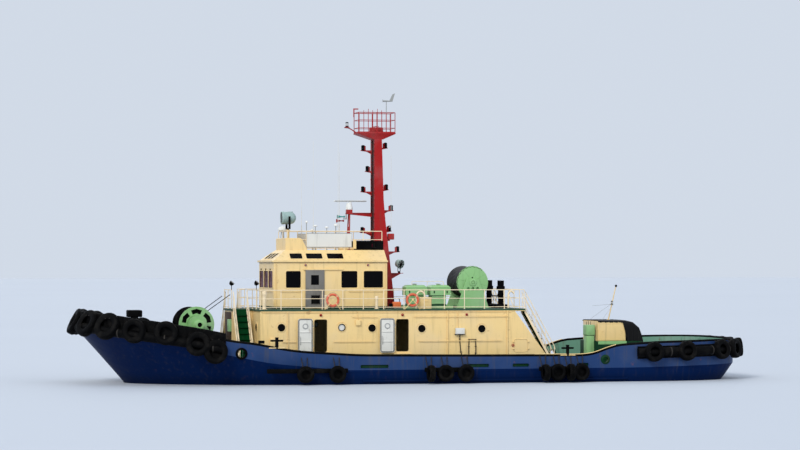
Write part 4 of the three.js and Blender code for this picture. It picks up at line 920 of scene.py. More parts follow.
class TUG_OT_hull(Operator):
    """Plates the hull with smooth lines and lays the main deck, the break and the foredeck"""

    bl_idname = "tug.hull"
    bl_label = "Hull and decks"

    def execute(self, context):
        settings = context.scene.tug_hull
        rows = hull_rows(settings.plating_steps)
        rows[..., 2] = np.maximum(rows[..., 2], height_on(KEEL_LINE, rows[..., 0]))
        low_edge = inside_at(lambda x: np.full_like(x, DECK), settings.plating_steps)
        high_edge = inside_at(fore_deck_height, settings.plating_steps)
        main = deck_surface(low_edge, low_edge[:, 0].min(), FORE_BREAK, lambda x: np.full_like(x, DECK))
        fore = deck_surface(high_edge, FORE_BREAK, high_edge[:, 0].max(), fore_deck_height)
        foot, head = (float(np.interp(FORE_BREAK, e[::-1, 0], e[::-1, 1])) for e in (low_edge, high_edge))
        wall = slab([(-foot, DECK - 0.02), (foot, DECK - 0.02), (head, FORE_DECK[0][1]),
                     (-head, FORE_DECK[0][1])], FORE_BREAK, FORE_BREAK + 0.02, "x")
        trunks = both_sides(lathe([(0, 0.6), (0.62, 0.6), (0.62, 0.03), (0.59, 0), (0, 0)],
                                  (-13.6, 2.35, -1.62), Z, 40))
        # The hull's plating takes the darkened copy of the bulwark's blue, which is painted shade
        make_piece("hull_plating", [
            ("hull_low", strip(rows)), ("deck_green", main), ("deck_green", fore), ("inside_green", wall),
            ("antifouling", trunks)], stands_for=["hull"], slot="hull_paint")
        side = half_outline("edge", EDGE_LINE, 0, settings.plating_steps)
        along = side[(side[:, 0] < 8.3) & (side[:, 0] > -12.2)]
        turn = np.linspace(-1.57, 1.57, 9)
        half_round = np.stack([np.cos(turn), np.sin(turn)], axis=-1) * settings.strake
        low_line = [(x, 4.955, 0.17) for x in np.linspace(-11.5, 3.0, 30)]
        strakes = [sweep(along[::-1] * (1, 1, 0) + (0, -0.005, DECK), half_round * (-1, 1)),
                   sweep(low_line, half_round * 0.55)]
        # The strakes share that darkened blue, painted shade
        make_piece("deck_edge_strakes", [("hull_low", both_sides(*strakes))])
        return {"FINISHED"}


def port_cutters():
    """Boxes and bars that cut the freeing ports and the mooring pipes through both bulwarks."""
    cutters = [rounded_box((x0, -5.4, 0.84), (x1, 5.4, 1.02), 0.05) for x0, x1 in FREEING_PORTS]
    for x, z, radius in MOORING_PIPES:
        for side in (-1, 1):
            cutters.append(disc(radius, -0.6, 0.6, (x, side * 4.9, z), Y, 24))
    return cutters


def cut_through(piece, cutters):
    """Cuts closed shapes out of a piece with a Boolean modifier, applied at once."""
    for shape in cutters:
        cutter = bpy.data.objects.new("cutter", new_mesh("cutter", shape))
        bpy.context.scene.collection.objects.link(cutter)
        modifier = piece.modifiers.new("cut", "BOOLEAN")
        modifier.object, modifier.operation, modifier.solver = cutter, "DIFFERENCE", "EXACT"
        bpy.context.view_layer.update()
        done = bpy.data.meshes.new_from_object(piece.evaluated_get(bpy.context.evaluated_depsgraph_get()))
        piece.modifiers.clear()
        old, piece.data = piece.data, done
        bpy.data.meshes.remove(old)
        bpy.data.objects.remove(cutter)


PLATE_FACES = [(0, 1, 2, 3), (7, 6, 5, 4), (0, 4, 5, 1), (1, 5, 6, 2), (2, 6, 7, 3), (3, 7, 4, 0)]


def bulwark_stays(rail, foot, spacing):
    """Triangular plates that stay the bulwark from inside, each from the rail to a foot on the deck."""
    length = lengths_along(rail)
    column = np.unique(np.searchsorted(length, np.arange(0.9, length[-1] - 0.6, spacing)))
    _, out = along_outline(rail, length[column])
    run = np.cross(out, Z)
    stays = []
    for p, q, o, r in zip(rail[column], foot[column], out, run):
        z1, z0 = p[2] - 0.09, q[2]
        q = p[:2] - o[:2] * (max(float((p[:2] - q[:2]) @ o[:2]), 0) + 0.13)
        corners = np.array([[*p[:2], z1], [*(p[:2] - o[:2] * 0.05), z1], [*(q - o[:2] * 0.28), z0], [*q, z0]])
        points = np.concatenate([corners - r * 0.012, corners + r * 0.012])
        stays.append((points, np.array(PLATE_FACES)))
    return joined(*stays)


class TUG_OT_bulwark(Operator):
    """Raises the bulwark with its cap, stays, freeing ports, mooring pipes and rail bitts"""

    bl_idname = "tug.bulwark"
    bl_label = "Bulwark"

    def execute(self, context):
        settings = context.scene.tug_hull
        steps = settings.plating_steps
        edge = half_outline("edge", EDGE_LINE, 0, steps)
        rail = half_outline("rail", RAIL_LINE, 0, steps)
        inner_rail = half_outline("rail", RAIL_LINE, -BULWARK, steps)
        inner_foot = inside_at(lambda x: deck_height(x) - 0.05, steps)
        wall = make_piece("bulwark_plating", [
            ("hull_blue", strip(np.stack([edge, rail]))), ("hull_blue", strip(np.stack([rail, inner_rail]))),
            ("inside_green", strip(np.stack([inner_rail, inner_foot]))),
            ("inside_green", strip(np.stack([inner_foot, edge])))], stands_for=["bulwark"], slot="hull_paint")
        cut_through(wall, port_cutters())
        middle = half_outline("rail", RAIL_LINE, -BULWARK / 2, steps)
        cap = tube(whole_outline(middle) - (0, 0, 0.02), settings.cap, 8, closed=True)
        stays = bulwark_stays(inner_rail, inside_at(deck_height, steps), settings.stay_spacing)
        low_run = middle[(middle[:, 0] < -6.2) & (middle[:, 0] > -10.9)]
        bead = both_sides(tube(low_run + (0, 0.03, settings.cap * 0.85), 0.02, 8))
        # The cap is black as painted shade: it gives the dark line of shadow along the bulwark's top
        make_piece("rail_cap_and_stays", [("black", cap), ("inside_green", both_sides(stays)),
                                          ("cream", bead)])
        lip = np.array([(-0.02, -0.12), (0.05, -0.1), (0.09, -0.05), (0.09, 0.05), (0.05, 0.1),
                        (-0.02, 0.12)])
        pipes = [lathe(lip + (radius, 0), (x, 4.95, z), Y, 32) for x, z, radius in MOORING_PIPES]
        rims, flaps = [], []
        for x0, x1 in FREEING_PORTS:
            outline = rounded_outline(x1 - x0 + 0.03, 0.21, 0.07) + ((x0 + x1) / 2, 0.93)
            rims.append(rim(outline, 5.0, radius=0.018))
            flaps.append(rounded_box((x0 - 0.02, 4.9, 0.83), (x1 + 0.02, 4.92, 1.03), 0.006))
            flaps += [tube([(x, 4.93, 0.83), (x, 4.93, 1.03)], 0.014, 6)
                      for x in np.linspace(x0 + 0.15, x1 - 0.15, 5)]
        make_piece("port_rims", [("hull_blue", both_sides(*rims)),
                                 ("dark_green", both_sides(*flaps, pipes[1])),
                                 ("black", both_sides(pipes[0]))])
        make_piece("rail_bitts", rail_bitts())
        return {"FINISHED"}


def rail_bitts():
    """Cross-armed bitts on the rail: a post with a cap, a bar through it, and a pale foot plate."""
    black, pale = [], []
    for x in (7.59, -8.16):
        foot = float(height_on(RAIL_LINE, x))
        black.append(lathe([(0, -0.05), (0.09, -0.05), (0.085, 0.5), (0.1, 0.52), (0.1, 0.55), (0, 0.56)],
                           (x, 4.935, foot), Z, 20))
        black.append(lathe([(0, -0.34), (0.035, -0.34), (0.05, -0.3), (0.05, 0.3), (0.035, 0.34), (0, 0.34)],
                           (x, 4.935, foot + 0.38), X, 16))
        pale.append(rounded_box((x - 0.42, 4.86, foot - 0.02), (x + 0.42, 5.01, foot + 0.03), 0.01))
    black.append(rounded_box((8.23, 4.85, 2.17), (8.56, 4.95, 2.33), 0.03))
    return [("black", both_sides(*black)), ("cream", both_sides(*pale))]


class TUG_OT_deck_gear(Operator):
    """Sets the bollards, the staple bitt at the stem and the small deck fittings"""

    bl_idname = "tug.deck_gear"
    bl_label = "Bollards and bitts"

    def execute(self, context):
        posts, bars = [], []
        for x, y in [(12.9, 2.95), (7.4, 4.25), (-8.9, 4.25), (-15.6, 3.5)]:
            floor = float(deck_height(np.array(x))) - 0.06
            post = [(0, 0), (0.115, 0), (0.112, 0.62), (0.14, 0.65), (0.14, 0.69), (0.1, 0.7), (0, 0.7)]
            for along in (-0.27, 0.27):
                posts.append(lathe(post, (x + along, y, floor), Z, 24))
            bars.append(lathe([(0, -0.46), (0.04, -0.46), (0.05, -0.44), (0.05, 0.44), (0.04, 0.46),
                               (0, 0.46)], (x, y, floor + 0.48), X, 14))
            bars.append(rounded_box((x - 0.5, y - 0.2, floor + 0.03), (x + 0.5, y + 0.2, floor + 0.09), 0.02))
        make_piece("bollards", [("black", both_sides(*posts, *bars))])
        legs = [rounded_box((14.22, side * 0.39 - 0.09, 2.3), (14.53, side * 0.39 + 0.09, 3.5), 0.03)
                for side in (-1, 1)]
        beam = rounded_box((14.0, -0.48, 3.48), (14.75, 0.48, 3.85), 0.06)
        knees = [slab([(13.95, 2.32), (14.25, 2.32), (14.25, 2.9)], side * 0.39 - 0.015, side * 0.39 + 0.015,
                      "y") for side in (-1, 1)]
        make_piece("stem_bitt", [("black", [beam, *legs, *knees])])
        hatch = [rounded_box((-16.9, -0.45, 0.74), (-16.0, 0.45, 1.02), 0.03),
                 rounded_box((-16.95, -0.5, 1.0), (-15.95, 0.5, 1.06), 0.02)]
        wheel = [collar(0.13, 0.16, -0.015, 0.015, (-16.45, 0, 1.12), Z, 20),
                 tube([(-16.59, 0, 1.12), (-16.31, 0, 1.12)], 0.01),
                 tube([(-16.45, -0.14, 1.12), (-16.45, 0.14, 1.12)], 0.01),
                 tube([(-16.45, 0, 1.05), (-16.45, 0, 1.13)], 0.02)]
        make_piece("after_hatch", [("light_green", hatch), ("steel", wheel)])
        return {"FINISHED"}


class TugFenders(PropertyGroup):
    """Sizes of the tyres hung as fenders, and of the chains that carry them."""

    sides: IntProperty(name="Tyre sides", description="Steps round each tyre", default=48, min=16, max=96)
    chain: FloatProperty(name="Chain link", description="Length of a chain's link", default=0.11, min=0.03,
                         max=0.3, unit="LENGTH")


# Each tyre's radius and width
TYRES = {"stem": (0.74, 0.43), "bow": (0.64, 0.43), "stern": (0.54, 0.4), "side": (0.455, 0.33)}
# Bow tyres: distance along the deck's edge from the stem, and rise. Stern tyres: distance from the stern.
# Belts: how far the rubber tubes run round each end
BOW_TYRES = [(0, 0.51), (1.9, 0.51), (3.3, 0.51), (4.85, 0.47), (6.5, 0.6), (8.13, 0.29), (9.05, 0.06)]
STERN_TYRES = [0.65, 2.25, 3.9, 5.05, 7.18, 9.05]
BOW_BELT, STERN_BELT = 9.5, 9.9
SIDE_GROUPS = {  # x of the tyres that hang flat, of those edge on, and of the ends of the block behind them
    "fore": ((6.15, 4.45), (), (3.85, 8.15)),
    "mid": ((-1.35, -2.45), (-0.5,), (-2.9, -0.25)),
    "aft": ((-7.5, -8.8), (-6.75, -8.15), (-9.2, -6.5)),
}
# A tyre's section, as shares of its radius and of half its width: tread, shoulder, sidewall, bead and hollow
TYRE_SECTION = [(1.0, 0.0), (0.975, 0.04), (1.0, 0.1), (0.996, 0.34), (0.97, 0.38), (0.99, 0.44),
                (0.975, 0.68), (0.94, 0.84), (0.86, 0.98), (0.75, 1.0), (0.62, 0.9), (0.53, 0.74),
                (0.5, 0.62), (0.55, 0.55), (0.76, 0.74), (0.9, 0.6), (0.93, 0.0)]


def tyre(centre, facing, size, sides):
    """A worn tyre: its section turned about the facing axis.

    The tread's outer rows drop by a twentieth of the radius at every fourth column, which cuts the lugs, and
    the whole sags out of round by a little.
    """
    radius, width = size
    half = np.array(TYRE_SECTION)
    section = np.concatenate([half, half[-2:0:-1] * (1, -1)])
    axis, u, v = basis(facing)
    turn = np.linspace(0, 2 * math.pi, sides, endpoint=False)
    r = np.repeat(section[:, :1] * radius, sides, axis=1)
    lug = (section[:, 0] > 0.95) & (np.abs(section[:, 1]) > 0.4)
    r[np.ix_(lug, np.arange(0, sides, 4))] *= 0.95
    r *= 0.988 + 0.012 * np.cos(2 * turn + centre[0])
    h = section[:, 1, None] * width / 2 * np.ones(sides)
    points = np.asarray(centre) + h[..., None] * axis + r[..., None] * (
        np.cos(turn)[:, None] * u + np.sin(turn)[:, None] * v)
    body = points.reshape(-1, 3), grid_quads(len(section), sides, close_rows=True, close_columns=True)
    # The disc in the hollow is a rubber backing; its dark across the hollow is also painted shade
    return joined(body, disc(radius * 0.8, -0.3 * width, -0.26 * width, centre, facing, 28))


def chain(start, end, link=0.11):
    """A chain of links, each a ring drawn out to twice its width and turned a quarter from the last."""
    start, end = np.asarray(start, float), np.asarray(end, float)
    length = np.linalg.norm(end - start)
    count = max(2, int(length / (link * 0.74)))
    turn = np.linspace(0, 2 * math.pi, 10, endpoint=False)
    bar = link * 0.13
    wide, long = link * 0.3, link * 0.5 - bar
    path = np.stack([np.clip(np.cos(turn) * 1.4, -1, 1) * long, np.sin(turn) * (wide - bar), 0 * turn],
                    axis=-1)
    points, quads = sweep(path, circle(bar, 5), closed=True)
    axis, u, v = basis(end - start)
    places = start + (np.arange(count) + 0.5)[:, None] / count * (end - start)
    odd = (np.arange(count) % 2)[:, None, None]
    across = np.where(odd, v, u)
    above = np.where(odd, -u, v)
    run, aside, up = (points[None, :, k:k + 1] for k in range(3))
    links = places[:, None] + run * axis + aside * across + up * above
    offsets = (np.arange(count) * len(points))[:, None, None]
    return links.reshape(-1, 3), (quads[None] + offsets).reshape(-1, 4)


def apron(outline, distances, low, high, off=0.05):
    """Rubber strips against the plating behind the tyres, along the outline between two heights over it.

    Every second column stands out by 35 mm, so that the apron shows as upright strips.
    """
    at, out = along_outline(outline, distances)
    push = off + 0.035 * (np.arange(len(distances)) % 4 < 2)
    rows = []
    for up, share in ((low, 0.0), (low + 0.04, 1.0), (high - 0.04, 1.0), (high, 0.0)):
        rows.append(at + out * (push * share - 0.02)[:, None] + (0, 0, up))
    rows.append(rows[0] - out * 0.03)
    points = np.stack(rows)
    return points.reshape(-1, 3), grid_quads(*points.shape[:2], close_rows=True)


def belt(path, radius, bands):
    """A rubber tube along a path, with straps round it."""
    rings = []
    at, out = along_outline(path, np.arange(0.6, lengths_along(path)[-1], bands))
    for p, o in zip(at, out):
        rings.append(collar(radius - 0.02, radius + 0.01, -0.03, 0.03, p, np.cross(o, Z), 24))
    return tube(path, radius, 16), joined(*rings)


class TUG_OT_fenders(Operator):
    """Hangs the tyres and rubber tubes round the bow, the stern and the sides, on their chains"""

    bl_idname = "tug.fenders"
    bl_label = "Fenders"

    def execute(self, context):
        settings = context.scene.tug_fenders
        self.end_fender(settings, "bow", 0.25, 0.13, 0.25)
        self.end_fender(settings, "stern", 0.8, 0.15, 0.24)
        for place, (flat, edge_on, block) in SIDE_GROUPS.items():
            self.side_group(settings, "side_tyres_" + place, flat, edge_on, block)
        return {"FINISHED"}

    def end_fender(self, settings, end, up, off, radius):
        """One end's tube, tyres and chains, from places measured along the deck's edge."""
        outline = half_outline("edge", EDGE_LINE, 0, 60) + (0, 0, up)
        whole = lengths_along(outline)[-1]
        if end == "bow":
            distances = np.linspace(BOW_BELT, 0, 40)
            hung = [(d, rise - 0.25, TYRES["stem" if d < 4 else "bow"], 0.5 if d < 4 else 0.12)
                    for d, rise in BOW_TYRES]
        else:
            distances = whole - np.linspace(STERN_BELT, 0, 40)
            hung = [(whole - d, 0.02, TYRES["stern"], 0.1) for d in STERN_TYRES]
        at, out = along_outline(outline, distances)
        run = at + out * off
        run[-1, 1] = 0
        path = np.concatenate([run, run[-2::-1] * (1, -1, 1)])
        rubber, bands = belt(path, radius, 1.25)
        tyres, chains = [], []
        for d, rise, size, lean in hung:
            (at,), (out,) = along_outline(outline, np.array([d]))
            push = 0.3 - lean * 0.24 if end == "bow" else 0.355
            centre = at + out * push + (0, 0, rise)
            facing = out + (0, 0, lean)
            hung_tyre = tyre(centre, facing, size, settings.sides)
            head = np.array([*(at[:2] - out[:2] * 0.02), height_on(RAIL_LINE, at[0]) - 0.03])
            across = np.cross(out, Z) * size[0] * 0.3
            foot = centre + (0, 0, size[0] * 0.55) + out * 0.02
            pair = joined(chain(foot + across * 0.5, head + across, settings.chain),
                          chain(foot - across * 0.5, head - across, settings.chain))
            for turned in (joined, mirrored) if d else (joined,):
                tyres.append(turned(hung_tyre))
                chains.append(turned(pair))
        if end == "bow":
            strips = apron(outline, np.linspace(0.02, 9.6, 120), -0.1, 0.86)
        else:
            strips = apron(outline, np.linspace(whole - STERN_BELT, whole - 0.02, 120), -0.36, 0.33)
        make_piece(end + "_fender_dressed",
                   [("rubber", [rubber, both_sides(strips), *tyres]), ("chain", [bands, *chains])],
                   stands_for=[end + "_fender"], slot="fender_rubber", sharp=32)

    def side_group(self, settings, name, flat, edge_on, block):
        """Tyres on each side: flat against their rubber block, or edge on between two others."""
        wall = 5.11
        size = radius, width = TYRES["side"]
        shapes = [tyre((x, wall + 0.1 + width / 2, 0.56), (0, 1, 0.03), size, settings.sides) for x in flat]
        shapes += [tyre((x, wall + radius + 0.06, 0.56), X, size, settings.sides) for x in edge_on]
        backing = rounded_box((block[0], wall, 0.62), (block[1], wall + 0.11, 0.86), 0.05)
        ties = [chain((x + s * 0.1, wall + 0.14, 0.75), (x + s * 0.16, wall - 0.12, 1.44), settings.chain)
                for x in (*flat, *edge_on) for s in (-1, 1)]
        make_pair(name, [("rubber", [backing, *shapes]), ("chain", ties)], "fender_rubber", sharp=32)


def propeller_blade(steps=14):
    """One blade: sections from root to tip, each a thin lens of chord c(r) pitched by atan(0.34 / r).

    Along the lens the point is off the radius by s*c*cos(pitch) round the shaft and s*c*sin(pitch) along it.
    """
    span = np.linspace(0.17, 1.0, steps)[:, None]
    share = (span - 0.17) / 0.83
    chord = 0.2 + 0.47 * np.sin(np.clip(share, 0, 1) ** 0.8 * math.pi * 0.86)
    chord[-1] = 0.06
    pitch = np.arctan(0.34 / span)
    s = np.linspace(-0.5, 0.5, 9)[None, :]
    thick = 0.05 * (1 - share * 0.75) * (1 - (2 * s) ** 2) + 0.002
    sheets = []
    for side in (1, -1):
        along = s * chord * np.sin(pitch) * 0.8 + side * thick / 2 * np.cos(pitch)
        around = s * chord * np.cos(pitch) - side * thick / 2 * np.sin(pitch) + 0.1 * share ** 2
        turn = around / span
        sheets.append(np.stack([along, span * np.sin(turn), span * np.cos(turn)], axis=-1))
    ring = np.concatenate([sheets[0], sheets[1][:, ::-1]], axis=1)
    points = ring.reshape(-1, 3)
    quads = grid_quads(steps, 18, close_columns=True)
    last = (steps - 1) * 18
    cap = np.stack([last + np.arange(8), last + 1 + np.arange(8), last + 16 - np.arange(8),
                    last + 17 - np.arange(8)], axis=-1)
    return points, np.concatenate([quads, cap])


class TUG_OT_thrusters(Operator):
    """Shapes the two azimuth thrusters with their nozzles and bronze propellers"""

    bl_idname = "tug.thrusters"
    bl_label = "Thrusters"

    def execute(self, context):
        x, y, z = -13.6, 2.35, -3.15
        inner = [(1.075, -0.02), (1.072, 0.3), (1.075, 0.55), (1.1, 0.8), (1.15, 0.95)]
        outer = [(1.2, 0.94), (1.235, 0.82), (1.24, 0.7), (1.225, 0.4), (1.2, 0.0), (1.15, -0.03)]
        nozzle = lathe(inner + outer, (x - 1.255, y, z), X, 64)
        pod = [(0, 0), (0.1, 0.02), (0.17, 0.1), (0.25, 0.28), (0.27, 0.5), (0.27, 0.85), (0.2, 1.05),
               (0.1, 1.17), (0, 1.2)]
        leg = [(0, 0.0), (0.21, 0.0), (0.22, 0.7), (0.27, 1.2), (0.33, 1.52), (0, 1.52)]
        body = [nozzle, lathe(pod, (x - 0.56, y, z), X, 28), lathe(leg, (x, y, z), Z, 28)]
        flange = lathe([(0, 0), (0.53, 0), (0.56, 0.03), (0.56, 0.12), (0, 0.12)], (x, y, -1.741), Z, 44)
        bolts = [disc(0.03, -0.03, 0, (x + 0.49 * math.cos(a), y + 0.49 * math.sin(a), -1.741), Z, 6)
                 for a in np.linspace(0, 2 * math.pi, 16, endpoint=False)]
        struts = []
        for a in np.radians((60, 180, 300)):
            path = [(x + dx, y + r * math.sin(a), z + r * math.cos(a))
                    for dx, r in ((-0.42, 0.15), (-0.45, 1.13))]
            struts.append(sweep(path, circle(1, 12) * (0.035, 0.13), up=(1, 0, 0.001)))
        anodes = [rounded_box((x - 0.12, y + s * 0.27 - 0.03, -2.5), (x + 0.12, y + s * 0.27 + 0.03, -2.2),
                              0.02) for s in (-1, 1)]
        parts = [("antifouling", [*body, flange, *struts]), ("steel", [*bolts, *anodes])]
        blade = propeller_blade()
        turned = []
        for a in np.radians((0, 90, 180, 270)):
            spin = [X, (0, math.cos(a), -math.sin(a)), (0, math.sin(a), math.cos(a))]
            turned.append(moved(blade, (x - 0.79, y, z), spin))
        hub = lathe([(0, -0.26), (0.05, -0.255), (0.12, -0.2), (0.19, -0.06), (0.2, 0.05), (0.2, 0.2296),
                     (0, 0.2296)], (x - 0.79, y, z), X, 32)
        for side in ("port", "starboard"):
            make_side(side, "thruster", parts, "antifouling")
            make_side(side, "propeller", [("bronze", [hub, *turned])], "bronze")
        return {"FINISHED"}


# Deckhouse: x of the doorways, places of the portholes, and the runs of the handrails
DOORWAYS = {"fore": (4.63, 5.35), "after": (0.21, 0.93)}
PORTHOLES = [(7.1, 2.96), (3.86, 2.95), (2.23, 2.91), (-0.48, 2.87), (-3.78, 2.84)]
HOUSE = 3.6  # the deckhouse's side
BLIND = 3.86  # the porthole with a pale blind behind its glass
HIGH_RAILS, LOW_RAILS = [(3.3, 1.95), (-0.05, -5.3)], [(7.05, 6.34), (4.3, 2.1), (-0.3, -4.9)]
# Each hose: x and height where it leaves its box, x half way down and x at the deck; then where the clips sit
HOSES = [(-2.56, 2.54, -2.62, -2.84), (-3.07, 2.26, -3.05, -3.12), (-3.43, 2.26, -3.46, -3.2)]
HOSE_CLIPS = [(-2.56, 2.3), (-2.62, 1.62), (-3.06, 1.9), (-3.05, 1.45), (-3.44, 1.9), (-3.44, 1.55)]


def bolts_round(centre, axis, radius, count, size=0.012):
    """Small hexagon heads on a circle."""
    _, u, v = basis(axis)
    turn = np.linspace(0, 2 * math.pi, count, endpoint=False)
    head = [(0, 0), (size, 0), (size, size * 0.8), (0, size * 0.8)]
    return joined(*[lathe(head, np.asarray(centre) + radius * (math.cos(a) * u + math.sin(a) * v), axis, 6)
                    for a in turn])


def porthole(centre, axis):
    """A round window in its ring, with a brow above: frame, glass and heads of the bolts."""
    ring = [(0.2, -0.05), (0.25, -0.05), (0.25, 0.018), (0.235, 0.026), (0.2, 0.026)]
    liner = [(0.155, -0.05), (0.2, -0.05), (0.203, 0.027), (0.19, 0.034), (0.165, 0.02)]
    _, u, v = basis(axis)
    a = np.linspace(0.3, math.pi - 0.3, 12)
    arch = np.cos(a)[:, None] * u + np.sin(a)[:, None] * v
    brow = np.asarray(centre) + 0.285 * arch + 0.012 * np.asarray(axis)
    return ([("black", lathe(liner, centre, axis, 28)), ("cream", lathe(ring, centre, axis, 28)),
             ("cream", sweep(brow, circle(0.014, 6), up=axis)),
             ("steel", bolts_round(np.asarray(centre) + 0.027 * np.asarray(axis), axis, 0.224, 8, 0.009))],
            [("glass", disc(0.175, -0.04, -0.03, centre, axis, 28))])


def handrail(path, off, radius=0.017, spacing=1.1):
    """A bar held off a wall by short pegs along its length."""
    path = np.asarray(path, float)
    length = np.linalg.norm(path[-1] - path[0])
    pegs = []
    for share in np.linspace(0.04, 0.96, max(2, int(length / spacing) + 1)):
        at = path[0] + (path[-1] - path[0]) * share
        pegs.append(tube([at, at - np.asarray(off)], radius * 0.7, 6))
    return joined(tube(path, radius, 8), *pegs)


def wall_lamp(at, axis=Y, size=0.07):
    """A round bulkhead lamp in its cage."""
    body = plinth(size, size * 0.5, size * 0.86, size * 0.6, at, axis)
    dome = lathe([(0, size * 0.5), (size * 0.74, size * 0.5), (size * 0.66, size * 1.0),
                  (size * 0.3, size * 1.28), (0, size * 1.34)], at, axis, 16)
    _, u, v = basis(axis)
    at, axis = np.asarray(at), np.asarray(axis)
    low, high = at + axis * size * 0.5, at + axis * size * 1.45
    cage = [tube(bent([low - size * w, high - size * 0.7 * w, high + size * 0.7 * w, low + size * w], 0.03),
                 size * 0.06, 5) for w in (u, v)]
    return body, dome, joined(*cage)


class TUG_OT_deckhouse(Operator):
    """Fits the deckhouse with portholes, door frames, handrails, lamps, pipes and boxes"""

    bl_idname = "tug.deckhouse"
    bl_label = "Deckhouse fittings"

    def execute(self, context):
        frames, glass = [], []
        for x, z in PORTHOLES:
            for side in (1, -1):
                ring, pane = porthole((x, side * HOUSE, z), (0, side, 0))
                frames += ring
                glass += [("white", shape) for _, shape in pane] if x == BLIND else pane
        for y in (-2.5, 2.5):
            ring, pane = porthole((8.22, y, 2.96), X)
            frames += ring
            glass += pane
        make_piece("portholes", frames)
        make_piece("porthole_glass", glass)
        trim = []
        for low, high in DOORWAYS.values():
            outline = rounded_outline(high - low + 0.1, 1.84, 0.13) + ((low + high) / 2, 2.52)
            inner = rounded_outline(high - low - 0.02, 1.72, 0.1) + ((low + high) / 2, 2.52)
            rows = [(outline, 3.59), (outline, 3.604), (inner, 3.604), (inner, 3.49), (outline, 3.49)]
            trim.append(hoop([in_plane(o, y) for o, y in rows]))
            trim.append(rounded_box((low - 0.12, HOUSE, 1.52), (high + 0.12, 3.78, 1.56), 0.012))
            for x in (low + 0.06, high - 0.06):
                trim.append(slab([(HOUSE, 1.4), (HOUSE, 1.53), (3.74, 1.53)], x - 0.01, x + 0.01, "x"))
        for high, runs in ((3.5, HIGH_RAILS), (2.2, LOW_RAILS)):
            trim += [handrail([(a, 3.672, high), (b, 3.672, high)], (0, 0.08, 0)) for a, b in runs]
        for x in (6.75, -1.9, -5.2):
            trim.append(tube(bent([(x, 3.64, 3.82), (x, 3.645, 1.0), (x, 3.72, 0.86)], 0.12), 0.028, 8))
            trim += [rounded_box((x - 0.045, HOUSE, z), (x + 0.045, 3.68, z + 0.04), 0.01)
                     for z in (3.3, 2.35, 1.4)]
        trim.append(tube([(-6.15, 3.615, 3.8), (8.2, 3.615, 3.8)], 0.022, 8))
        trim.append(rim(rounded_outline(0.77, 0.68, 0.12) + (-5.945, 1.94), 3.605, radius=0.022))
        for x, z in ((-6.36, 1.75), (-6.36, 2.13), (-5.53, 1.75), (-5.53, 2.13)):
            trim.append(rounded_box((x - 0.05, HOUSE, z - 0.02), (x + 0.05, 3.67, z + 0.02), 0.012))
        boxes = [rounded_box((-2.81, HOUSE, 2.56), (-2.31, 3.74, 2.89), 0.02),
                 rounded_box((2.86, HOUSE, 3.05), (3.12, 3.7, 3.35), 0.02),
                 rounded_box((7.45, HOUSE, 1.9), (7.72, 3.7, 2.4), 0.02)]
        hoses = [tube(bent([(x0, 3.66, z0), (x0, 3.63, 2.2), (x1, 3.63, 1.6), (x2, 3.63, 0.77)], 0.25), 0.024)
                 for x0, z0, x1, x2 in HOSES]
        hoses += [rounded_box((x - 0.05, HOUSE, z - 0.015), (x + 0.05, 3.66, z + 0.015), 0.006)
                  for x, z in HOSE_CLIPS]
        cables = [tube(bent([(-2.45, 3.66, 2.87), (-2.45, 3.63, 3.6), (-2.45, 3.63, 3.81)], 0.05), 0.014, 6),
                  tube(bent([(3.0, 3.65, 3.33), (3.0, 3.625, 3.81)], 0.05), 0.012, 6),
                  tube([(-5.4, 3.62, 3.72), (8.1, 3.62, 3.72)], 0.014, 6)]
        rack = [tube(bent([(-3.05, HOUSE, 2.28), (-3.05, 3.72, 2.28), (-3.45, 3.72, 2.28),
                           (-3.45, HOUSE, 2.28)], 0.05), 0.02, 8),
                rounded_box((-2.84, HOUSE, 2.53), (-2.28, 3.76, 2.57), 0.012)]
        lamps, domes, cages = zip(*[wall_lamp((x, HOUSE, 3.6)) for x in (4.99, 0.57, -2.95)])
        make_piece("deckhouse_trim", [("cream", both_sides(*trim))])
        make_piece("deckhouse_boxes", [("white", both_sides(boxes[0])),
                                       ("cream", both_sides(*cables, *boxes[1:])),
                                       ("chain", both_sides(*rack, *hoses)),
                                       ("mast_red",
                                        both_sides(*lamps, hand_wheel((-5.5, HOUSE, 1.95), Y, 0.07))),
                                       ("red_lens", both_sides(*domes)), ("brown", both_sides(*cages))])
        self.porch()
        self.after_wall()
        return {"FINISHED"}

    def porch(self):
        """The dark panel on the porch's front, with its frame, a small green box and a grab rail."""
        # The panel's dark brown is partly its paint and partly painted shade on the porch's front
        panel = rounded_box((9.295, -1.16, 0.85), (9.312, 1.16, 3.74), 0.006)
        edge = rim(rounded_outline(2.3, 2.9, 0.06) + (0, 2.3), 9.305, "x", 0.025)
        box = [rounded_box((9.31, 0.62, 2.7), (9.48, 1.12, 3.35), 0.03),
               rounded_box((9.475, 0.79, 2.95), (9.495, 0.95, 3.1), 0.008)]
        rail = handrail([(9.39, -0.95, 1.9), (9.39, 0.95, 1.9)], (0.08, 0, 0), 0.016)
        lamps, faces = [], []
        for x in (9.34, 8.0):
            at, axis = (x, 1.18, 5.27), (-0.6, 0.3, 0.7)
            lamps.append(tube([(x, 1.18, 4.9), (x, 1.18, 5.2)], 0.018, 8))
            lamps.append(lathe([(0, -0.12), (0.07, -0.11), (0.125, -0.02), (0.135, 0.08), (0.125, 0.085),
                                (0, 0.07)], at, axis, 20))
            faces.append(lathe([(0, 0.072), (0.12, 0.074), (0.12, 0.084), (0, 0.094)], at, axis, 20))
        make_piece("porch_fittings", [("brown", panel), ("cream", [edge, rail]), ("light_green", box),
                                      ("black", lamps), ("lens", faces)])

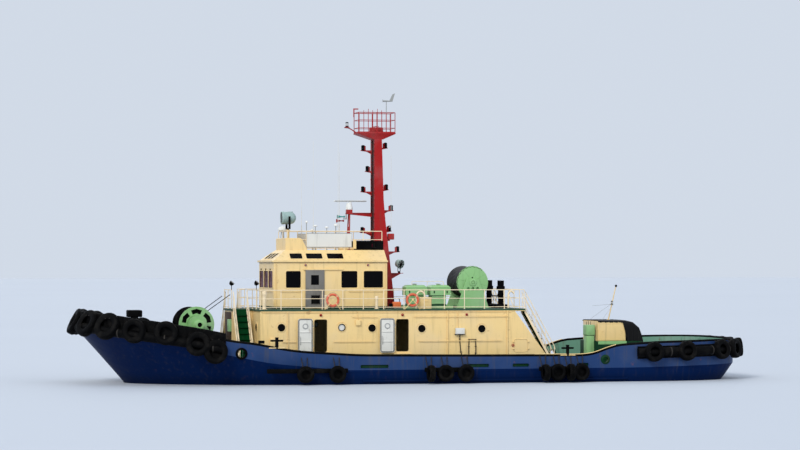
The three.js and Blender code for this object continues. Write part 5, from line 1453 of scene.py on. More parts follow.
    def after_wall(self):
        """Fittings on the deckhouse's after wall: its door frame, lamps, a hose box and pipes."""
        x = -5.6
        ring = rim(rectangle(-0.5, 0.5, 1.2, 3.05), x - 0.01, "x", 0.035)
        step = rounded_box((x - 0.25, -0.5, 1.08), (x, 0.5, 1.13), 0.012)
        pipes = [tube([(x - 0.05, y, 0.77), (x - 0.05, y, 3.8)], r, 10)
                 for y, r in ((1.5, 0.05), (1.68, 0.035), (-1.9, 0.05))]
        hose = rounded_box((x - 0.24, 0.85, 1.5), (x, 1.3, 2.1), 0.03)
        chest = rounded_box((x - 0.2, -1.55, 1.9), (x, -0.95, 2.7), 0.03)
        body, dome, cage = wall_lamp((x, 0, 3.35), (-1, 0, 0), 0.08)
        make_piece("after_wall_fittings", [("cream", [ring, step, *pipes]), ("mast_red", hose),
                                           ("grey", chest), ("brown", body), ("lens", dome), ("steel", cage)])


def deck_door(low):
    """A deck door, open against the house: leaf, gasket, ribs, window, handle, dogs and hinges."""
    x0, x1 = low + 0.823, low + 1.613
    middle, height, z = (x0 + x1) / 2, 1.81, 2.52
    leaf = slab(rounded_outline(0.79, height, 0.11) + (middle, z), 3.73, 3.775, "y")
    edge = rim(rounded_outline(0.755, height - 0.035, 0.11) + (middle, z), 3.757, radius=0.021, sides=8)
    gasket = rim(rounded_outline(0.69, height - 0.1, 0.08) + (middle, z), 3.778)
    ribs = [rounded_box((middle - 0.3, 3.77, at - 0.03), (middle + 0.3, 3.8, at + 0.03), 0.012)
            for at in (2.2, 2.72)]
    window = lathe([(0.1, -0.035), (0.155, -0.035), (0.155, 0.035), (0.14, 0.042), (0.115, 0.042),
                    (0.1, 0.03)], (middle, 3.752, 3.03), Y, 28)
    pane = disc(0.105, -0.012, 0.012, (middle, 3.752, 3.03), Y, 28)
    grip = [(x1 - 0.13, y, z) for y, z in ((3.77, 2.05), (3.81, 2.09), (3.81, 2.45), (3.77, 2.49))]
    bar = tube(bent(grip, 0.02), 0.012)
    hinges = []
    for at in (1.998, 3.042):
        hinges.append(disc(0.024, -0.055, 0.055, (low + 0.789, 3.7, at), Z, 14))
        hinges.append(rounded_box((low + 0.789, 3.716, at - 0.03), (x0 + 0.16, 3.735, at + 0.03), 0.008))
    dogs = [rounded_box((x1 - 0.1, 3.712, at - 0.02), (x1 - 0.02, 3.732, at + 0.02), 0.008)
            for at in (1.85, 2.52, 3.2)]
    return [("white", [leaf, *ribs]), ("black", [edge, gasket]), ("steel", [window, bar, *hinges, *dogs]),
            ("glass", pane)]


class TUG_OT_deck_doors(Operator):
    """Hangs the four deck doors, each on its own hinge"""

    bl_idname = "tug.deck_doors"
    bl_label = "Deck doors"

    def execute(self, context):
        for name, (low, _) in DOORWAYS.items():
            make_pair("door_" + name, deck_door(low), "white_paint")
        return {"FINISHED"}


def stair_flight(run, rise, width, treads):
    """A flight from its head at 0 down along +x: stringers, lipped treads, handrails and their posts."""
    stringers, bars, steps = [], [], []
    pitch = rise / run
    for y in (-width / 2, width / 2):
        outline = [(0, 0), (run, -rise), (run * (rise - 0.22) / rise, -rise), (0, -0.22)]
        stringers.append(slab(outline, y - 0.012, y + 0.012, "y"))
        for level in (0.0, -0.2):
            path = [(0.02, y, level - 0.01), (run - 0.06, y, level - 0.01 - (run - 0.08) * pitch)]
            stringers.append(sweep(path, rectangle(-0.02, 0.02, -0.006, 0.006)))
        top = [(0.04, y, 0.905), (run - 0.1, y, 0.905 - (run - 0.14) * pitch),
               (run - 0.04, y, 0.72 - (run - 0.14) * pitch)]
        bars.append(tube(bent(top, 0.08), 0.022, 10))
        bars.append(tube([(0.07, y, 0.42), (run - 0.08, y, 0.42 - (run - 0.15) * pitch)], 0.015, 8))
        for x in (0.08, run * 0.36, run * 0.67, run - 0.09):
            bars.append(tube([(x, y, -0.1 - x * pitch), (x, y, 0.9 - x * pitch)], 0.018, 8))
    back = [(0, -0.03), (run - 0.05, -0.07 - (run - 0.05) * pitch),
            (run - 0.05, -0.12 - (run - 0.05) * pitch), (0, -0.08)]
    steps.append(slab(back, 0.012 - width / 2, width / 2 - 0.012, "y"))
    for i in range(1, treads):
        x, z = run * i / treads, -rise * i / treads
        steps.append(rounded_box((x - 0.11, 0.012 - width / 2, z - 0.035),
                                 (x + 0.11, width / 2 - 0.012, z - 0.02), 0.005, 1))
        for side in (-0.11, 0.1):
            steps.append(rounded_box((x + side, 0.012 - width / 2, z - 0.05),
                                     (x + side + 0.012, width / 2 - 0.012, z - 0.02), 0.004, 1))
        steps += [rounded_box((x + k, 0.03 - width / 2, z - 0.022),
                              (x + k + 0.01, width / 2 - 0.03, z - 0.014), 0.003, 1)
                  for k in (-0.07, -0.03, 0.01, 0.05)]
    return [("pale_cream", [*stringers, *bars]), ("stair_green", steps)]


class TUG_OT_stairs(Operator):
    """Builds the four flights of stairs from the deck to the upper deck"""

    bl_idname = "tug.stairs"
    bl_label = "Stairs"

    def execute(self, context):
        turns = {"fore": ([(0, -1, 0), X, Z], (8.9, 1.2604, UPPER), 2.25),
                 "after": ([(-1, 0, 0), (0, -1, 0), Z], (-6.2004, 3.11, UPPER), 1.75)}
        for place, (matrix, head, run) in turns.items():
            flight = stair_flight(run, UPPER - DECK, 0.72, 10)
            make_pair(place + "_stairs", [(m, moved(as_one(s), head, matrix)) for m, s in flight],
                      "house_paint")
        return {"FINISHED"}


class TugRails(PropertyGroup):
    """Sizes of the open railings."""

    rod: FloatProperty(name="Rail", description="Radius of the level bars", default=0.018, min=0.005,
                       max=0.05, unit="LENGTH")
    post: FloatProperty(name="Post", description="Radius of the stanchions", default=0.021, min=0.005,
                        max=0.06, unit="LENGTH")
    spacing: FloatProperty(name="Post spacing", description="Distance between the stanchions", default=1.12,
                           min=0.4, max=3, unit="LENGTH")


# The railings' corners: x, y, and 1 where the stretch that follows is a gate, left open
UPPER_RAIL = [(-6.15, 2.65, 0), (-6.15, -2.65, 1), (-6.15, -3.58, 0), (8.22, -3.58, 0), (8.22, -1.2, 0),
              (8.5, -1.2, 1), (9.33, -1.2, 0), (9.33, 1.2, 1), (8.5, 1.2, 0), (8.22, 1.2, 0), (8.22, 3.58, 0),
              (-6.15, 3.58, 1), (-6.15, 2.65, 0)]
TOP_RAIL = [(1.15, -1.24, 0), (6.34, -1.24, 0), (6.34, 1.24, 0), (1.15, 1.24, 0)]


def railing(path, base, levels, sizes, toe=0.0, spacing=None):
    """Stanchions and level bars along corners of (x, y, gate), where a gate leaves the stretch after it open.

    Each bar runs through every corner up to a gate, rounded there, and each stretch has evenly spaced
    stanchions.
    """
    runs, run = [], []
    for x, y, gate in path:
        run.append((x, y))
        if gate:
            runs.append(run)
            run = []
    if len(run) > 1:
        runs.append(run)
    parts = []
    for corners in runs:
        for up in levels:
            line = bent([(x, y, base + up) for x, y in corners], 0.09)
            parts.append(tube(line, sizes.rod * (1.15 if up == levels[-1] else 0.85), 8))
        for (ax, ay), (bx, by) in zip(corners, corners[1:]):
            count = max(1, round(math.hypot(bx - ax, by - ay) / (spacing or sizes.spacing)))
            for share in np.linspace(0, 1, count + 1):
                x, y = ax + (bx - ax) * share, ay + (by - ay) * share
                parts.append(tube([(x, y, base), (x, y, base + levels[-1] - 0.01)], sizes.post, 8))
                parts.append(plinth(0.05, 0.012, 0.03, 0.02, (x, y, base), Z, 12))
            if toe:
                parts.append(sweep([(ax, ay, base), (bx, by, base)], rectangle(-0.005, 0.005, 0, toe)))
    return joined(*parts)


def buoy_ring(at, angles, swell):
    """Part of a lifebuoy's ring over the angles: an oval section times the swell, about a circle of 0.3."""
    section = circle(1, 14) * (0.062 * swell, 0.067 * swell)
    r = 0.3 + section[:, 0] + 0 * angles[:, None]
    across = at[1] + section[:, 1] + 0 * angles[:, None]
    return np.stack([at[0] + r * np.cos(angles)[:, None], across, at[2] + r * np.sin(angles)[:, None]],
                    axis=-1)


def lifebuoy(x):
    """A ring with four bands, its grab line looped between them, and the bracket that it sits in."""
    at = (x, 3.71, 4.39)
    turn = np.linspace(0, 2 * math.pi, 65)[:-1]
    shape = buoy_ring(at, turn, 1.0).reshape(-1, 3), grid_quads(64, 14, close_rows=True, close_columns=True)
    bands = []
    for a in (0.785, 2.356, 3.927, 5.498):
        band = buoy_ring(at, np.linspace(a - 0.13, a + 0.13, 7), 1.05)
        bands.append((band.reshape(-1, 3), grid_quads(7, 14, close_columns=True)))
    sag = 0.376 + 0.028 * np.sin(2 * turn + 0.785 * 2) ** 2
    line = np.stack([at[0] + sag * np.cos(turn), at[2] + sag * np.sin(turn)], axis=-1)
    grab = rim(line, at[1] + 0.005, radius=0.009)
    arms = [tube(bent([(x, 3.8, 4.42), (x + s * 0.2, 3.8, 4.16), (x + s * 0.42, 3.69, 3.9)], 0.05), 0.018, 6)
            for s in (-1, 1)]
    hooks = [tube(bent([(x + s * 0.17, 3.6, 4.2), (x + s * 0.17, 3.74, 4.14), (x + s * 0.17, 3.8, 4.2)],
                       0.05), 0.012, 6) for s in (-1, 1)]
    plate = rounded_box((x - 0.045, 3.785, 4.36), (x + 0.045, 3.81, 4.46), 0.008)
    return [("foam", shape), ("foam_band", bands), ("rope_pale", grab), ("cream", [plate, *arms, *hooks])]


class TUG_OT_railings(Operator):
    """Runs round-bar railings about the upper deck and the roof, with the lifebuoys in their brackets"""

    bl_idname = "tug.railings"
    bl_label = "Railings and lifebuoys"

    def execute(self, context):
        sizes = context.scene.tug_rails
        upper = railing(UPPER_RAIL, UPPER, (0.1, 0.56, 1.01), sizes)
        make_piece("upper_railings", [("pale_cream", upper)], stands_for=["upper_rail"])
        make_piece("roof_railings", [("pale_cream", railing(TOP_RAIL, TOP, (0.1, 0.56, 1.01), sizes))],
                   stands_for=["top_rail"])
        for name, x in (("fore", 4.37), ("after", 0.05)):
            make_pair("lifebuoy_" + name, lifebuoy(x), "lifebuoy_foam")
        return {"FINISHED"}


# Wheelhouse: the walls' planes, the windows in them, and the sloped crown over the roof's slab
SIDE_WINDOWS = [(5.77, 6.6), (2.69, 3.59), (1.29, 2.37)]
UNDER_DOOR = SIDE_WINDOWS[1]  # its frame lies flat, because the sliding door passes over it
FRONT_WINDOWS = [(-1.96, -0.74), (-0.6, 0.6), (0.74, 1.96)]
AFT_WINDOWS = [(0.85, 1.9), (-1.9, -0.85)]
BROW_SIDES = [(5.64, 6.33), (4.55, 5.45), (3.41, 4.31)]
BROW_FRONTS = [(-1.25, -0.48), (-0.38, 0.38), (0.48, 1.25)]
SIDE_WALL, FORE_WALL, AFTER_WALL = 2.15, 7.25, 1.07


def window(centre, axis, width, height, corner=0.07, proud=0.014):
    """A pane in a rounded frame that laps its opening and stands proud of it: (frame, glass, gasket)."""
    _, u, v = basis(axis)
    axis = np.asarray(axis, float) / np.linalg.norm(axis)

    def ring(outline, depth):
        """A flat outline carried onto the wall and moved out along its axis."""
        return np.asarray(centre) + outline[:, :1] * u + outline[:, 1:] * v + depth * axis

    outer = rounded_outline(width + 0.1, height + 0.1, corner + 0.05)
    inner = rounded_outline(width - 0.03, height - 0.03, corner)
    seal = rounded_outline(width - 0.075, height - 0.075, corner * 0.8)
    frame_shape = hoop([ring(outer, -0.005), ring(outer, proud), ring(inner, proud * 1.4),
                        ring(inner, -0.05)])
    gasket = hoop([ring(inner, -0.005), ring(inner, proud * 0.5), ring(seal, 0.0), ring(seal, -0.02)])
    depths = (-0.02, -0.012)
    pane = capped([ring(inner, depth) for depth in depths],
                  [ring(inner[:1] * 0, depth)[0] for depth in depths])
    return frame_shape, pane, gasket


def wiper(pivot, blade_at, axis=X):
    """A wiper: its motor boss, arm and blade, flat on a front window."""
    pivot, blade_at = np.asarray(pivot, float), np.asarray(blade_at, float)
    boss = plinth(0.035, 0.03, 0.02, 0.05, pivot, axis, 14)
    arm = tube([pivot + (0.04, 0, 0), blade_at + (0.035, 0, 0)], 0.008, 6)
    blade = rounded_box(blade_at + (0.018, -0.012, -0.22), blade_at + (0.034, 0.012, 0.22), 0.004, 1)
    return joined(boss, arm, blade)


class TUG_OT_wheelhouse(Operator):
    """Glazes the wheelhouse and its crown, and fits frames, wipers, lamps, rails, the console and a chair"""

    bl_idname = "tug.wheelhouse"
    bl_label = "Wheelhouse"

    def execute(self, context):
        z, height = 5.48, 0.92
        panes = []
        for x in SIDE_WINDOWS:
            proud = 0.005 if x == UNDER_DOOR else 0.014
            panes += [window((sum(x) / 2, side * SIDE_WALL, z), (0, side, 0), x[1] - x[0], height,
                             proud=proud) for side in (1, -1)]
        panes += [window((FORE_WALL, sum(y) / 2, z), X, y[1] - y[0], height) for y in FRONT_WINDOWS]
        panes += [window((AFTER_WALL, sum(y) / 2, z), (-1, 0, 0), y[1] - y[0], height) for y in AFT_WINDOWS]
        z, height, corner = 6.71, 0.5, 0.05
        panes += [window((sum(x) / 2, side * 1.855, z), (0, side * 0.599, 0.8007), x[1] - x[0], height,
                         corner) for x in BROW_SIDES for side in (1, -1)]
        panes += [window((6.951, sum(y) / 2, z), (0.594, 0, 0.8045), y[1] - y[0], height, corner)
                  for y in BROW_FRONTS]
        frames, glass, gaskets = map(list, zip(*panes))
        make_piece("window_frames", [("cream", frames), ("black", gaskets)])
        ahead = 2 * len(SIDE_WINDOWS)
        fore = glass[ahead:ahead + len(FRONT_WINDOWS)]
        make_piece("window_glass", [("glass", [*glass[:ahead], *glass[ahead + len(fore):]]),
                                    ("fore_glass", fore)])
        bands = [both_sides(rounded_box((1.06, SIDE_WALL, UPPER), (4.5, 2.156, 4.04), 0.002)),
                 both_sides(rounded_box((5.54, SIDE_WALL, UPPER), (7.26, 2.156, 4.04), 0.002)),
                 rounded_box((FORE_WALL, -SIDE_WALL, UPPER), (7.262, SIDE_WALL, 4.04), 0.004),
                 both_sides(rounded_box((1.058, 0.56, UPPER), (AFTER_WALL, SIDE_WALL, 4.04), 0.004))]
        lip = rim(rectangle(1.05, 7.33, 2.22, -2.22), 6.4, "z")
        rails = [both_sides(handrail([(6.95, 2.22, 4.85), (5.75, 2.22, 4.85)], (0, 0.07, 0), 0.015)),
                 both_sides(handrail([(3.2, 2.22, 4.85), (1.3, 2.22, 4.85)], (0, 0.07, 0), 0.015)),
                 handrail([(7.32, 1.9, 4.85), (7.32, -1.9, 4.85)], (0.07, 0, 0), 0.015)]
        drains = [both_sides(tube(bent([(x, 2.17, 6.38), (x, 2.175, 4.2), (x, 2.175, 3.93)], 0.05), 0.016, 6))
                  for x in (7.1, 1.16)]
        wipers = [wiper((7.26, y, 6.02), (7.262, y + 0.28, 5.55)) for y in (-1.4, -0.05, 1.3)]
        lamps, lenses, cages = zip(*[wall_lamp((x, SIDE_WALL, 6.24), Y, 0.06) for x in (5.52, 2.12)])
        make_piece("wheelhouse_trim", [
            ("dark_green", bands), ("cream", [*rails, *drains]), ("black", [lip, *wipers]),
            ("mast_red", both_sides(*lamps)), ("lens", both_sides(*lenses)), ("brown", both_sides(*cages))])
        self.inside()
        self.sliding_doors()
        return {"FINISHED"}

    def inside(self):
        """The steering console under the front windows, a helmsman's chair and a chart table."""
        console = slab([(6.2, 3.93), (6.95, 3.93), (6.95, 5.0), (6.7, 5.02), (6.2, 4.75)], -1.5, 1.5, "y")
        screens = [moved(rounded_box((-0.02, -0.2, -0.14), (0.02, 0.2, 0.14), 0.01), (6.72, y, 5.2),
                         [(0.94, 0, 0.34), Y, (-0.34, 0, 0.94)]) for y in (-1.0, -0.35, 0.35, 1.0)]
        levers = [lathe([(0, 0), (0.05, 0), (0.05, 0.05), (0.02, 0.08), (0.02, 0.2), (0.035, 0.24),
                         (0, 0.26)], (6.45, y, 4.86), Z, 14) for y in (-0.7, 0.7)]
        seat = [rounded_box((4.95, -0.28, 4.55), (5.5, 0.28, 4.7), 0.05),
                rounded_box((4.9, -0.27, 4.68), (5.04, 0.27, 5.4), 0.06),
                rounded_box((5.0, -0.34, 4.78), (5.42, -0.27, 4.84), 0.02),
                rounded_box((5.0, 0.27, 4.78), (5.42, 0.34, 4.84), 0.02)]
        stem = lathe([(0, 0), (0.24, 0), (0.22, 0.04), (0.06, 0.08), (0.06, 0.62), (0, 0.62)],
                     (5.2, 0, 3.935), Z, 18)
        table = rounded_box((1.25, -1.9, 3.95), (1.95, 1.9, 4.9), 0.02)
        make_piece("wheelhouse_inside", [("grey", [console, *levers, stem]), ("black", [*screens, *seat]),
                                         ("brown", table)])

    def sliding_doors(self):
        """The sliding doors' louvres, pane and rubber, which ride with the doors."""
        low, high = 4.18, 4.62
        # The black plate behind the slats is painted shade, for the dark behind the louvre's openings
        slats = [rounded_box((4.77, 2.2072, low), (5.21, 2.2092, high), 0.0005, 1)]
        slats += [slab([(2.207, z), (2.207, z + 0.04), (2.216, z + 0.01)], 4.78, 5.2, "x")
                  for z in np.arange(low, high, 0.05)]
        slats.append(rim(rectangle(4.76, 5.22, low - 0.02, high + 0.02), 2.212, radius=0.01))
        rubber = rim(rectangle(4.82, 5.22, 5.2, 5.7), 2.2085)
        pane = rounded_box((4.815, 2.18, 5.195), (5.225, 2.188, 5.705), 0.002)
        black = joined(rubber, *slats)
        for side, turn in (("port", joined), ("starboard", mirrored)):
            make_piece(f"sliding_door_{side}_fittings", [("black", turn(black)), ("glass", turn(pane))],
                       body_of(f"sliding_door_{side}"))


# Turned heads of the roof's antennas, then each antenna: its head, where that sits and the post's radius
MUSHROOM = [(0, 0), (0.045, 0), (0.05, 0.02), (0.105, 0.03), (0.11, 0.06), (0.08, 0.095), (0, 0.11)]
BALL = [(0, -0.07), (0.04, -0.057), (0.066, -0.024), (0.07, 0), (0.066, 0.024), (0.04, 0.057), (0, 0.07)]
DOME = [(0, 0), (0.2, 0), (0.26, 0.03), (0.265, 0.09), (0.24, 0.16), (0.17, 0.22), (0.08, 0.248), (0, 0.255)]
ANTENNAS = [(MUSHROOM, (4.78, 1.12, 8.3), 0.02), (MUSHROOM, (4.16, 1.12, 8.22), 0.02),
            (MUSHROOM, (3.66, 1.12, 8.33), 0.02), (DOME, (6.16, -1.0, 8.1), 0.035),
            (BALL, (5.27, 1.12, 8.56), 0.022), (MUSHROOM, (4.5, -1.12, 8.1), 0.02),
            (MUSHROOM, (3.2, -1.12, 8.4), 0.02)]


def post_with(head, at, foot, radius=0.02):
    """A thin post from a foot flange up to a turned head."""
    x, y, top = at
    shaft = tube([(x, y, foot), (x, y, top)], radius, 8)
    base = plinth(0.07, 0.012, radius, 0.02, (x, y, foot), Z, 14)
    return joined(shaft, base), lathe(head, (x, y, top - 0.01), Z, 20)


class TUG_OT_roof(Operator):
    """Dresses the roof: breastwork cap, antennas, whips, dome, sidelights and board frames"""

    bl_idname = "tug.roof"
    bl_label = "Roof fittings"

    def execute(self, context):
        cap = [tube(bent([(5.3, s * 1.34, 7.06), (5.6, s * 1.34, 7.65), (6.43, s * 1.34, 7.65)], 0.12), 0.036,
                    10) for s in (-1, 1)]
        cap.append(tube([(6.43, -1.34, 7.65), (6.43, 1.34, 7.65)], 0.036, 10))
        knees = [slab([(6.4, 7.06), (6.4, 7.6), (6.1, 7.06)], y - 0.008, y + 0.008, "y")
                 for y in (-1.0, -0.4, 0.4, 1.0)]
        box = rounded_box((2.59, 1.27, 7.11), (2.75, 1.38, 7.59), 0.02)
        posts, heads = map(list, zip(*[post_with(head, at, TOP, radius) for head, at, radius in ANTENNAS]))
        for x, y in ((6.34, -1.0), (6.07, -0.86), (6.07, -1.14)):
            posts.append(tube([(x, y, 7.07), (x * 0.4 + 6.16 * 0.6, y * 0.4 - 0.6, 8.08)], 0.016, 6))
        whips = [joined(tube([(x, y, TOP), (x, y, 8.4)], 0.022, 8),
                        tube([(x, y, 8.38), (x, y, top)], 0.009, 6),
                        tube([(x, y, 8.38), (x, y, 9.2)], 0.014, 6))
                 for x, y, top in ((4.9, 1.12, 12.9), (3.54, 1.12, 13.0), (3.0, -1.12, 12.4),
                                   (5.1, -1.12, 11.6))]
        frames = []
        for s in (-1, 1):
            frames.append(rim(rectangle(2.83, 5.29, 7.21, 7.93), s * 1.2755, radius=0.02))
            frames += [tube([(x, s * 1.262, 7.15), (x, s * 1.262, 7.97)], 0.012, 6)
                       for x in (3.3, 4.06, 4.82)]
        vent = lathe([(0, 0), (0.09, 0), (0.09, 0.3), (0.16, 0.32), (0.17, 0.37), (0.13, 0.42), (0, 0.44)],
                     (2.2, 0.7, TOP), Z, 20)
        hatch = rounded_box((2.4, -0.9, TOP), (3.1, -0.2, 7.2), 0.04)
        bracket = [rounded_box((2.84, -0.14, 8.72), (3.0, 0.14, 8.78), 0.01),
                   rounded_box((2.83, -0.05, 8.72), (2.88, 0.05, 9.0), 0.01)]
        trumpet = [(0, 0), (0.05, 0.01), (0.055, 0.07), (0.028, 0.1), (0.034, 0.22), (0.06, 0.34),
                   (0.105, 0.42), (0.11, 0.43), (0.1, 0.43), (0.02, 0.2), (0, 0.19)]
        horns = [lathe(trumpet, (2.94, y, z), X, 24) for y, z in ((0.1, 8.86), (-0.12, 8.64))]
        lights = lathe([(0.07, 0), (0.08, 0.01), (0.08, 0.17), (0.07, 0.18)], (1.64, 1.27, 7.215), Z, 20)
        make_piece("roof_trim", [("cream", [*cap, *knees, box, hatch, vent]),
                                 ("grey", [*posts, *frames]), ("white", whips), ("dome", heads),
                                 ("steel", bracket), ("fore_glass", lights), ("dark_green", mirrored(lights)),
                                 ("mast_red", horns[1]), ("teal", horns[0])])
        return {"FINISHED"}


# The mast's after face, as heights and x; its lamps: ahead or astern, height, reach of the bracket
MAST_AFT = [(0.0, -0.19), (7.06, 0.6), (8.8, 0.8), (9.8, 0.88), (13.06, 0.98)]
MAST_LAMPS = [(1, 7.99, 0.7), (1, 10.2, 0.67), (1, 11.31, 0.42), (1, 12.44, 0.66), (-1, 6.95, 0.72),
              (-1, 8.07, 0.39), (-1, 9.19, 0.61), (-1, 10.32, 0.4), (-1, 12.59, 0.42)]
LANTERN_CAP = [(0, 0), (0.093, 0), (0.095, 0.02), (0.07, 0.05), (0.02, 0.065), (0, 0.065)]
LANTERN_LENS = [(0, 0.055), (0.086, 0.056), (0.09, 0.135), (0.086, 0.213), (0, 0.214)]
LANTERN = [(0.0, 0.0), (0.093, 0.0), (0.093, 0.05), (0.078, 0.055), (0.078, 0.06), (0, 0.06)]


def lantern(at, scale=1.0):
    """A navigation lantern: base and cap, with its lens between them."""
    base, lens = (lathe(np.array(profile) * scale, at, Z, 20) for profile in (LANTERN, LANTERN_LENS))
    cap = lathe(np.array(LANTERN_CAP) * scale, np.asarray(at) + (0, 0, 0.21 * scale), Z, 20)
    return joined(base, cap), lens


class TUG_OT_mast(Operator):
    """Fits the mast with its ladder, cables, lanterns, lamp brackets and whip, and builds the lookout basket
    """

    bl_idname = "tug.mast"
    bl_label = "Mast and basket"

    def execute(self, context):
        heights, aft = np.array(MAST_AFT).T
        # The ladder and its clips take the dark chain finish: partly their own dark colour, partly painted
        # shade on the mast's front face
        ladder = [tube([(1.45, y, 7.25), (1.45, y, 13.1)], 0.018, 8) for y in (0.18, 0.47)]
        ladder += [tube([(1.45, 0.18, z), (1.45, 0.47, z)], 0.012, 6) for z in np.arange(7.4, 13.0, 0.3)]
        ladder += [tube([(1.38, y, z), (1.45, y, z)], 0.012, 6) for y in (0.18, 0.47)
                   for z in np.arange(7.6, 13.0, 1.2)]
        cables = [tube([(1.405, y, 7.1), (1.405, y, top)], 0.014, 6) for y, top in (
            (-0.1, 13.0), (-0.14, 12.4), (-0.18, 12.4), (-0.22, 11.3), (-0.26, 10.2), (0.05, 13.0))]
        clips = [rounded_box((1.39, -0.3, z), (1.43, 0.08, z + 0.03), 0.006)
                 for z in np.arange(7.5, 12.9, 0.6)]
        seams = []
        for z in (8.8, 10.9):
            x0 = float(np.interp(z, heights, aft))
            edge = in_plane(rectangle(x0 - 0.004, 1.394, -0.504, 0.504), z, "z")
            seams.append(sweep(edge, rectangle(-0.006, 0.008, -0.03, 0.03), closed=True))
        fittings, lenses, brackets = [], [], []
        for way, z, reach in MAST_LAMPS:
            root = 1.39 if way > 0 else float(np.interp(z, heights, aft))
            x = root + way * (reach - 0.13)
            body, lens = lantern((x, 0, z + 0.012), 1.12)
            fittings.append(body)
            lenses.append(lens)
            brackets.append(slab([(root, z - 0.22), (root + way * (reach - 0.28), z - 0.02),
                                  (root, z - 0.02)], -0.006, 0.006, "y"))
        root = float(np.interp(5.8, heights, aft)) + 0.02
        brackets += [rounded_box((-0.3, -0.14, 5.78), (root, 0.14, 5.81), 0.008),
                     slab([(root, 5.4), (-0.2, 5.78), (root, 5.78)], -0.006, 0.006, "y")]
        at, axis = np.array([-0.09, 0, 6.32]), np.array([-0.5, 0.83, -0.25])
        drum = lathe([(0, -0.2), (0.12, -0.19), (0.21, -0.1), (0.245, 0.05), (0.25, 0.16), (0.24, 0.17),
                      (0.225, 0.15), (0.1, 0.02), (0, 0)], at, axis, 32)
        fork = [tube(bent([(-0.09, s * 0.27, 6.3), (-0.09, s * 0.27, 5.9), (-0.09, 0, 5.82)], 0.08), 0.02, 8)
                for s in (-1, 1)]
        fork.append(disc(0.07, 0, 0.1, (-0.09, 0, 5.81), Z, 16))
        glass = lathe([(0, 0.13), (0.2, 0.125), (0.215, 0.14), (0, 0.16)], at, axis, 32)
        _, u, v = basis(axis)
        face = at + 0.172 * axis
        spokes = [0.23 * (math.cos(a) * u + math.sin(a) * v) for a in np.linspace(0, math.pi, 5)[:-1]]
        guard = [tube([face + spoke, face - spoke], 0.016, 6) for spoke in spokes]
        whip = [tube([(0.55, 0.3, 8.3), (0.4, 0.3, 8.32)], 0.02, 6),
                tube([(0.42, 0.3, 8.3), (0.42, 0.3, 12.2)], 0.01, 6)]
        whip_box = rounded_box((0.28, 0.2, 7.62), (0.62, 0.46, 7.95), 0.03)
        arm = rounded_box((0.5, 0.28, 7.55), (0.75, 0.38, 7.62), 0.01)
        make_piece("mast_fittings", [
            ("mast_red", [*seams, *brackets, arm, whip_box]), ("black", [*cables, *fittings, *fork, *guard]),
            ("chain", [*clips, *ladder]), ("glass", lenses), ("grey", glass), ("white", whip),
            ("grey_green", drum)])
        self.basket(context)
        self.radar()
        return {"FINISHED"}

    def basket(self, context):
        """The lookout basket's pan, floor and rails, the plate over it, its bow lamp and the wind vane."""
        levels = [(13.06, 0.88, 1.49, 0.5), (13.075, 0.86, 1.51, 0.5), (13.35, 0.24, 2.32, 0.61),
                  (13.38, 0.23, 2.33, 0.62)]
        rows = [in_plane(rounded_outline(x1 - x0, 2 * half, 0.05) + ((x0 + x1) / 2, 0), z, "z")
                for z, x0, x1, half in levels]
        pan = capped(rows, [rows[0].mean(axis=0), rows[-1].mean(axis=0)])
        corners = [(0.27, -0.58, 0), (2.29, -0.58, 0), (2.29, 0.58, 0), (0.27, 0.58, 0), (0.27, -0.58, 0)]
        sizes = context.scene.tug_rails
        rails = railing(corners, 13.38, (0.29, 0.72, 1.13), sizes, 0.09)
        posts = [tube([(x, y, 13.38), (x, y, 14.5 + 0.2 * (k % 2))], 0.014, 6)
                 for k, x in enumerate(np.arange(0.5, 2.2, 0.25)) for y in (-0.58, 0.58)]
        plate = [rounded_box((2.27, -0.61, 14.3), (2.33, -0.56, 14.78), 0.01),
                 rounded_box((2.05, -0.605, 14.72), (2.33, -0.565, 14.78), 0.01)]
        bow = [tube(bent([(2.33, 0, 13.45), (2.7, 0, 13.68), (2.95, 0, 13.7)], 0.1), 0.03, 8),
               rounded_box((2.68, -0.1, 13.7), (2.95, 0.1, 13.73), 0.01)]
        body, lens = lantern((2.81, 0, 13.74), 0.95)
        make_piece("lookout_basket", [("mast_red", [pan, rails, *posts, *plate, *bow]), ("black", body),
                                      ("lens", lens)], stands_for=["mast_basket"], slot="mast_paint")
        drum = lathe([(0, 0), (0.36, 0), (0.38, 0.02), (0.38, 0.12), (0.39, 0.13), (0.39, 0.16), (0.38, 0.17),
                      (0.38, 0.31), (0.36, 0.34), (0, 0.34)], (1.19, 0, 13.38), Z, 40)
        lid = [tube(bent([(1.07, y, 13.72), (1.07, y, 13.78), (1.31, y, 13.78), (1.31, y, 13.72)], 0.03),
                    0.012, 6) for y in (-0.15, 0.15)]
        make_piece("mast_cap_dressed", [("mast_red", [drum, *lid])], stands_for=["mast_cap"])
        pole = lathe([(0, 0), (0.022, 0), (0.018, 0.6), (0.035, 0.61), (0.035, 0.66), (0, 0.67)],
                     (0.76, 0.6, 14.5), Z, 14)
        boom = lathe([(0, -0.36), (0.025, -0.34), (0.04, -0.05), (0.05, 0.12), (0.04, 0.18), (0, 0.2)],
                     (0.76, 0.6, 15.13), X, 14)
        fin = slab([(0.42, 15.1), (0.6, 15.13), (0.42, 15.5), (0.28, 15.56)], 0.59, 0.61, "y")
        blade = slab([(0.0, 0.012), (0.09, 0.03), (0.1, -0.02), (0.0, -0.012)], -0.003, 0.003, "z")
        turned = []
        for a in (k * math.pi / 2 + 0.4 for k in range(4)):
            spin = [(0, 0.3, 0.95), (math.cos(a), -math.sin(a), 0), (math.sin(a), math.cos(a), 0)]
            turned.append(moved(blade, (0.955, 0.6, 15.13), spin))
        make_piece("wind_vane", [("grey", [pole, boom, fin, *turned])])

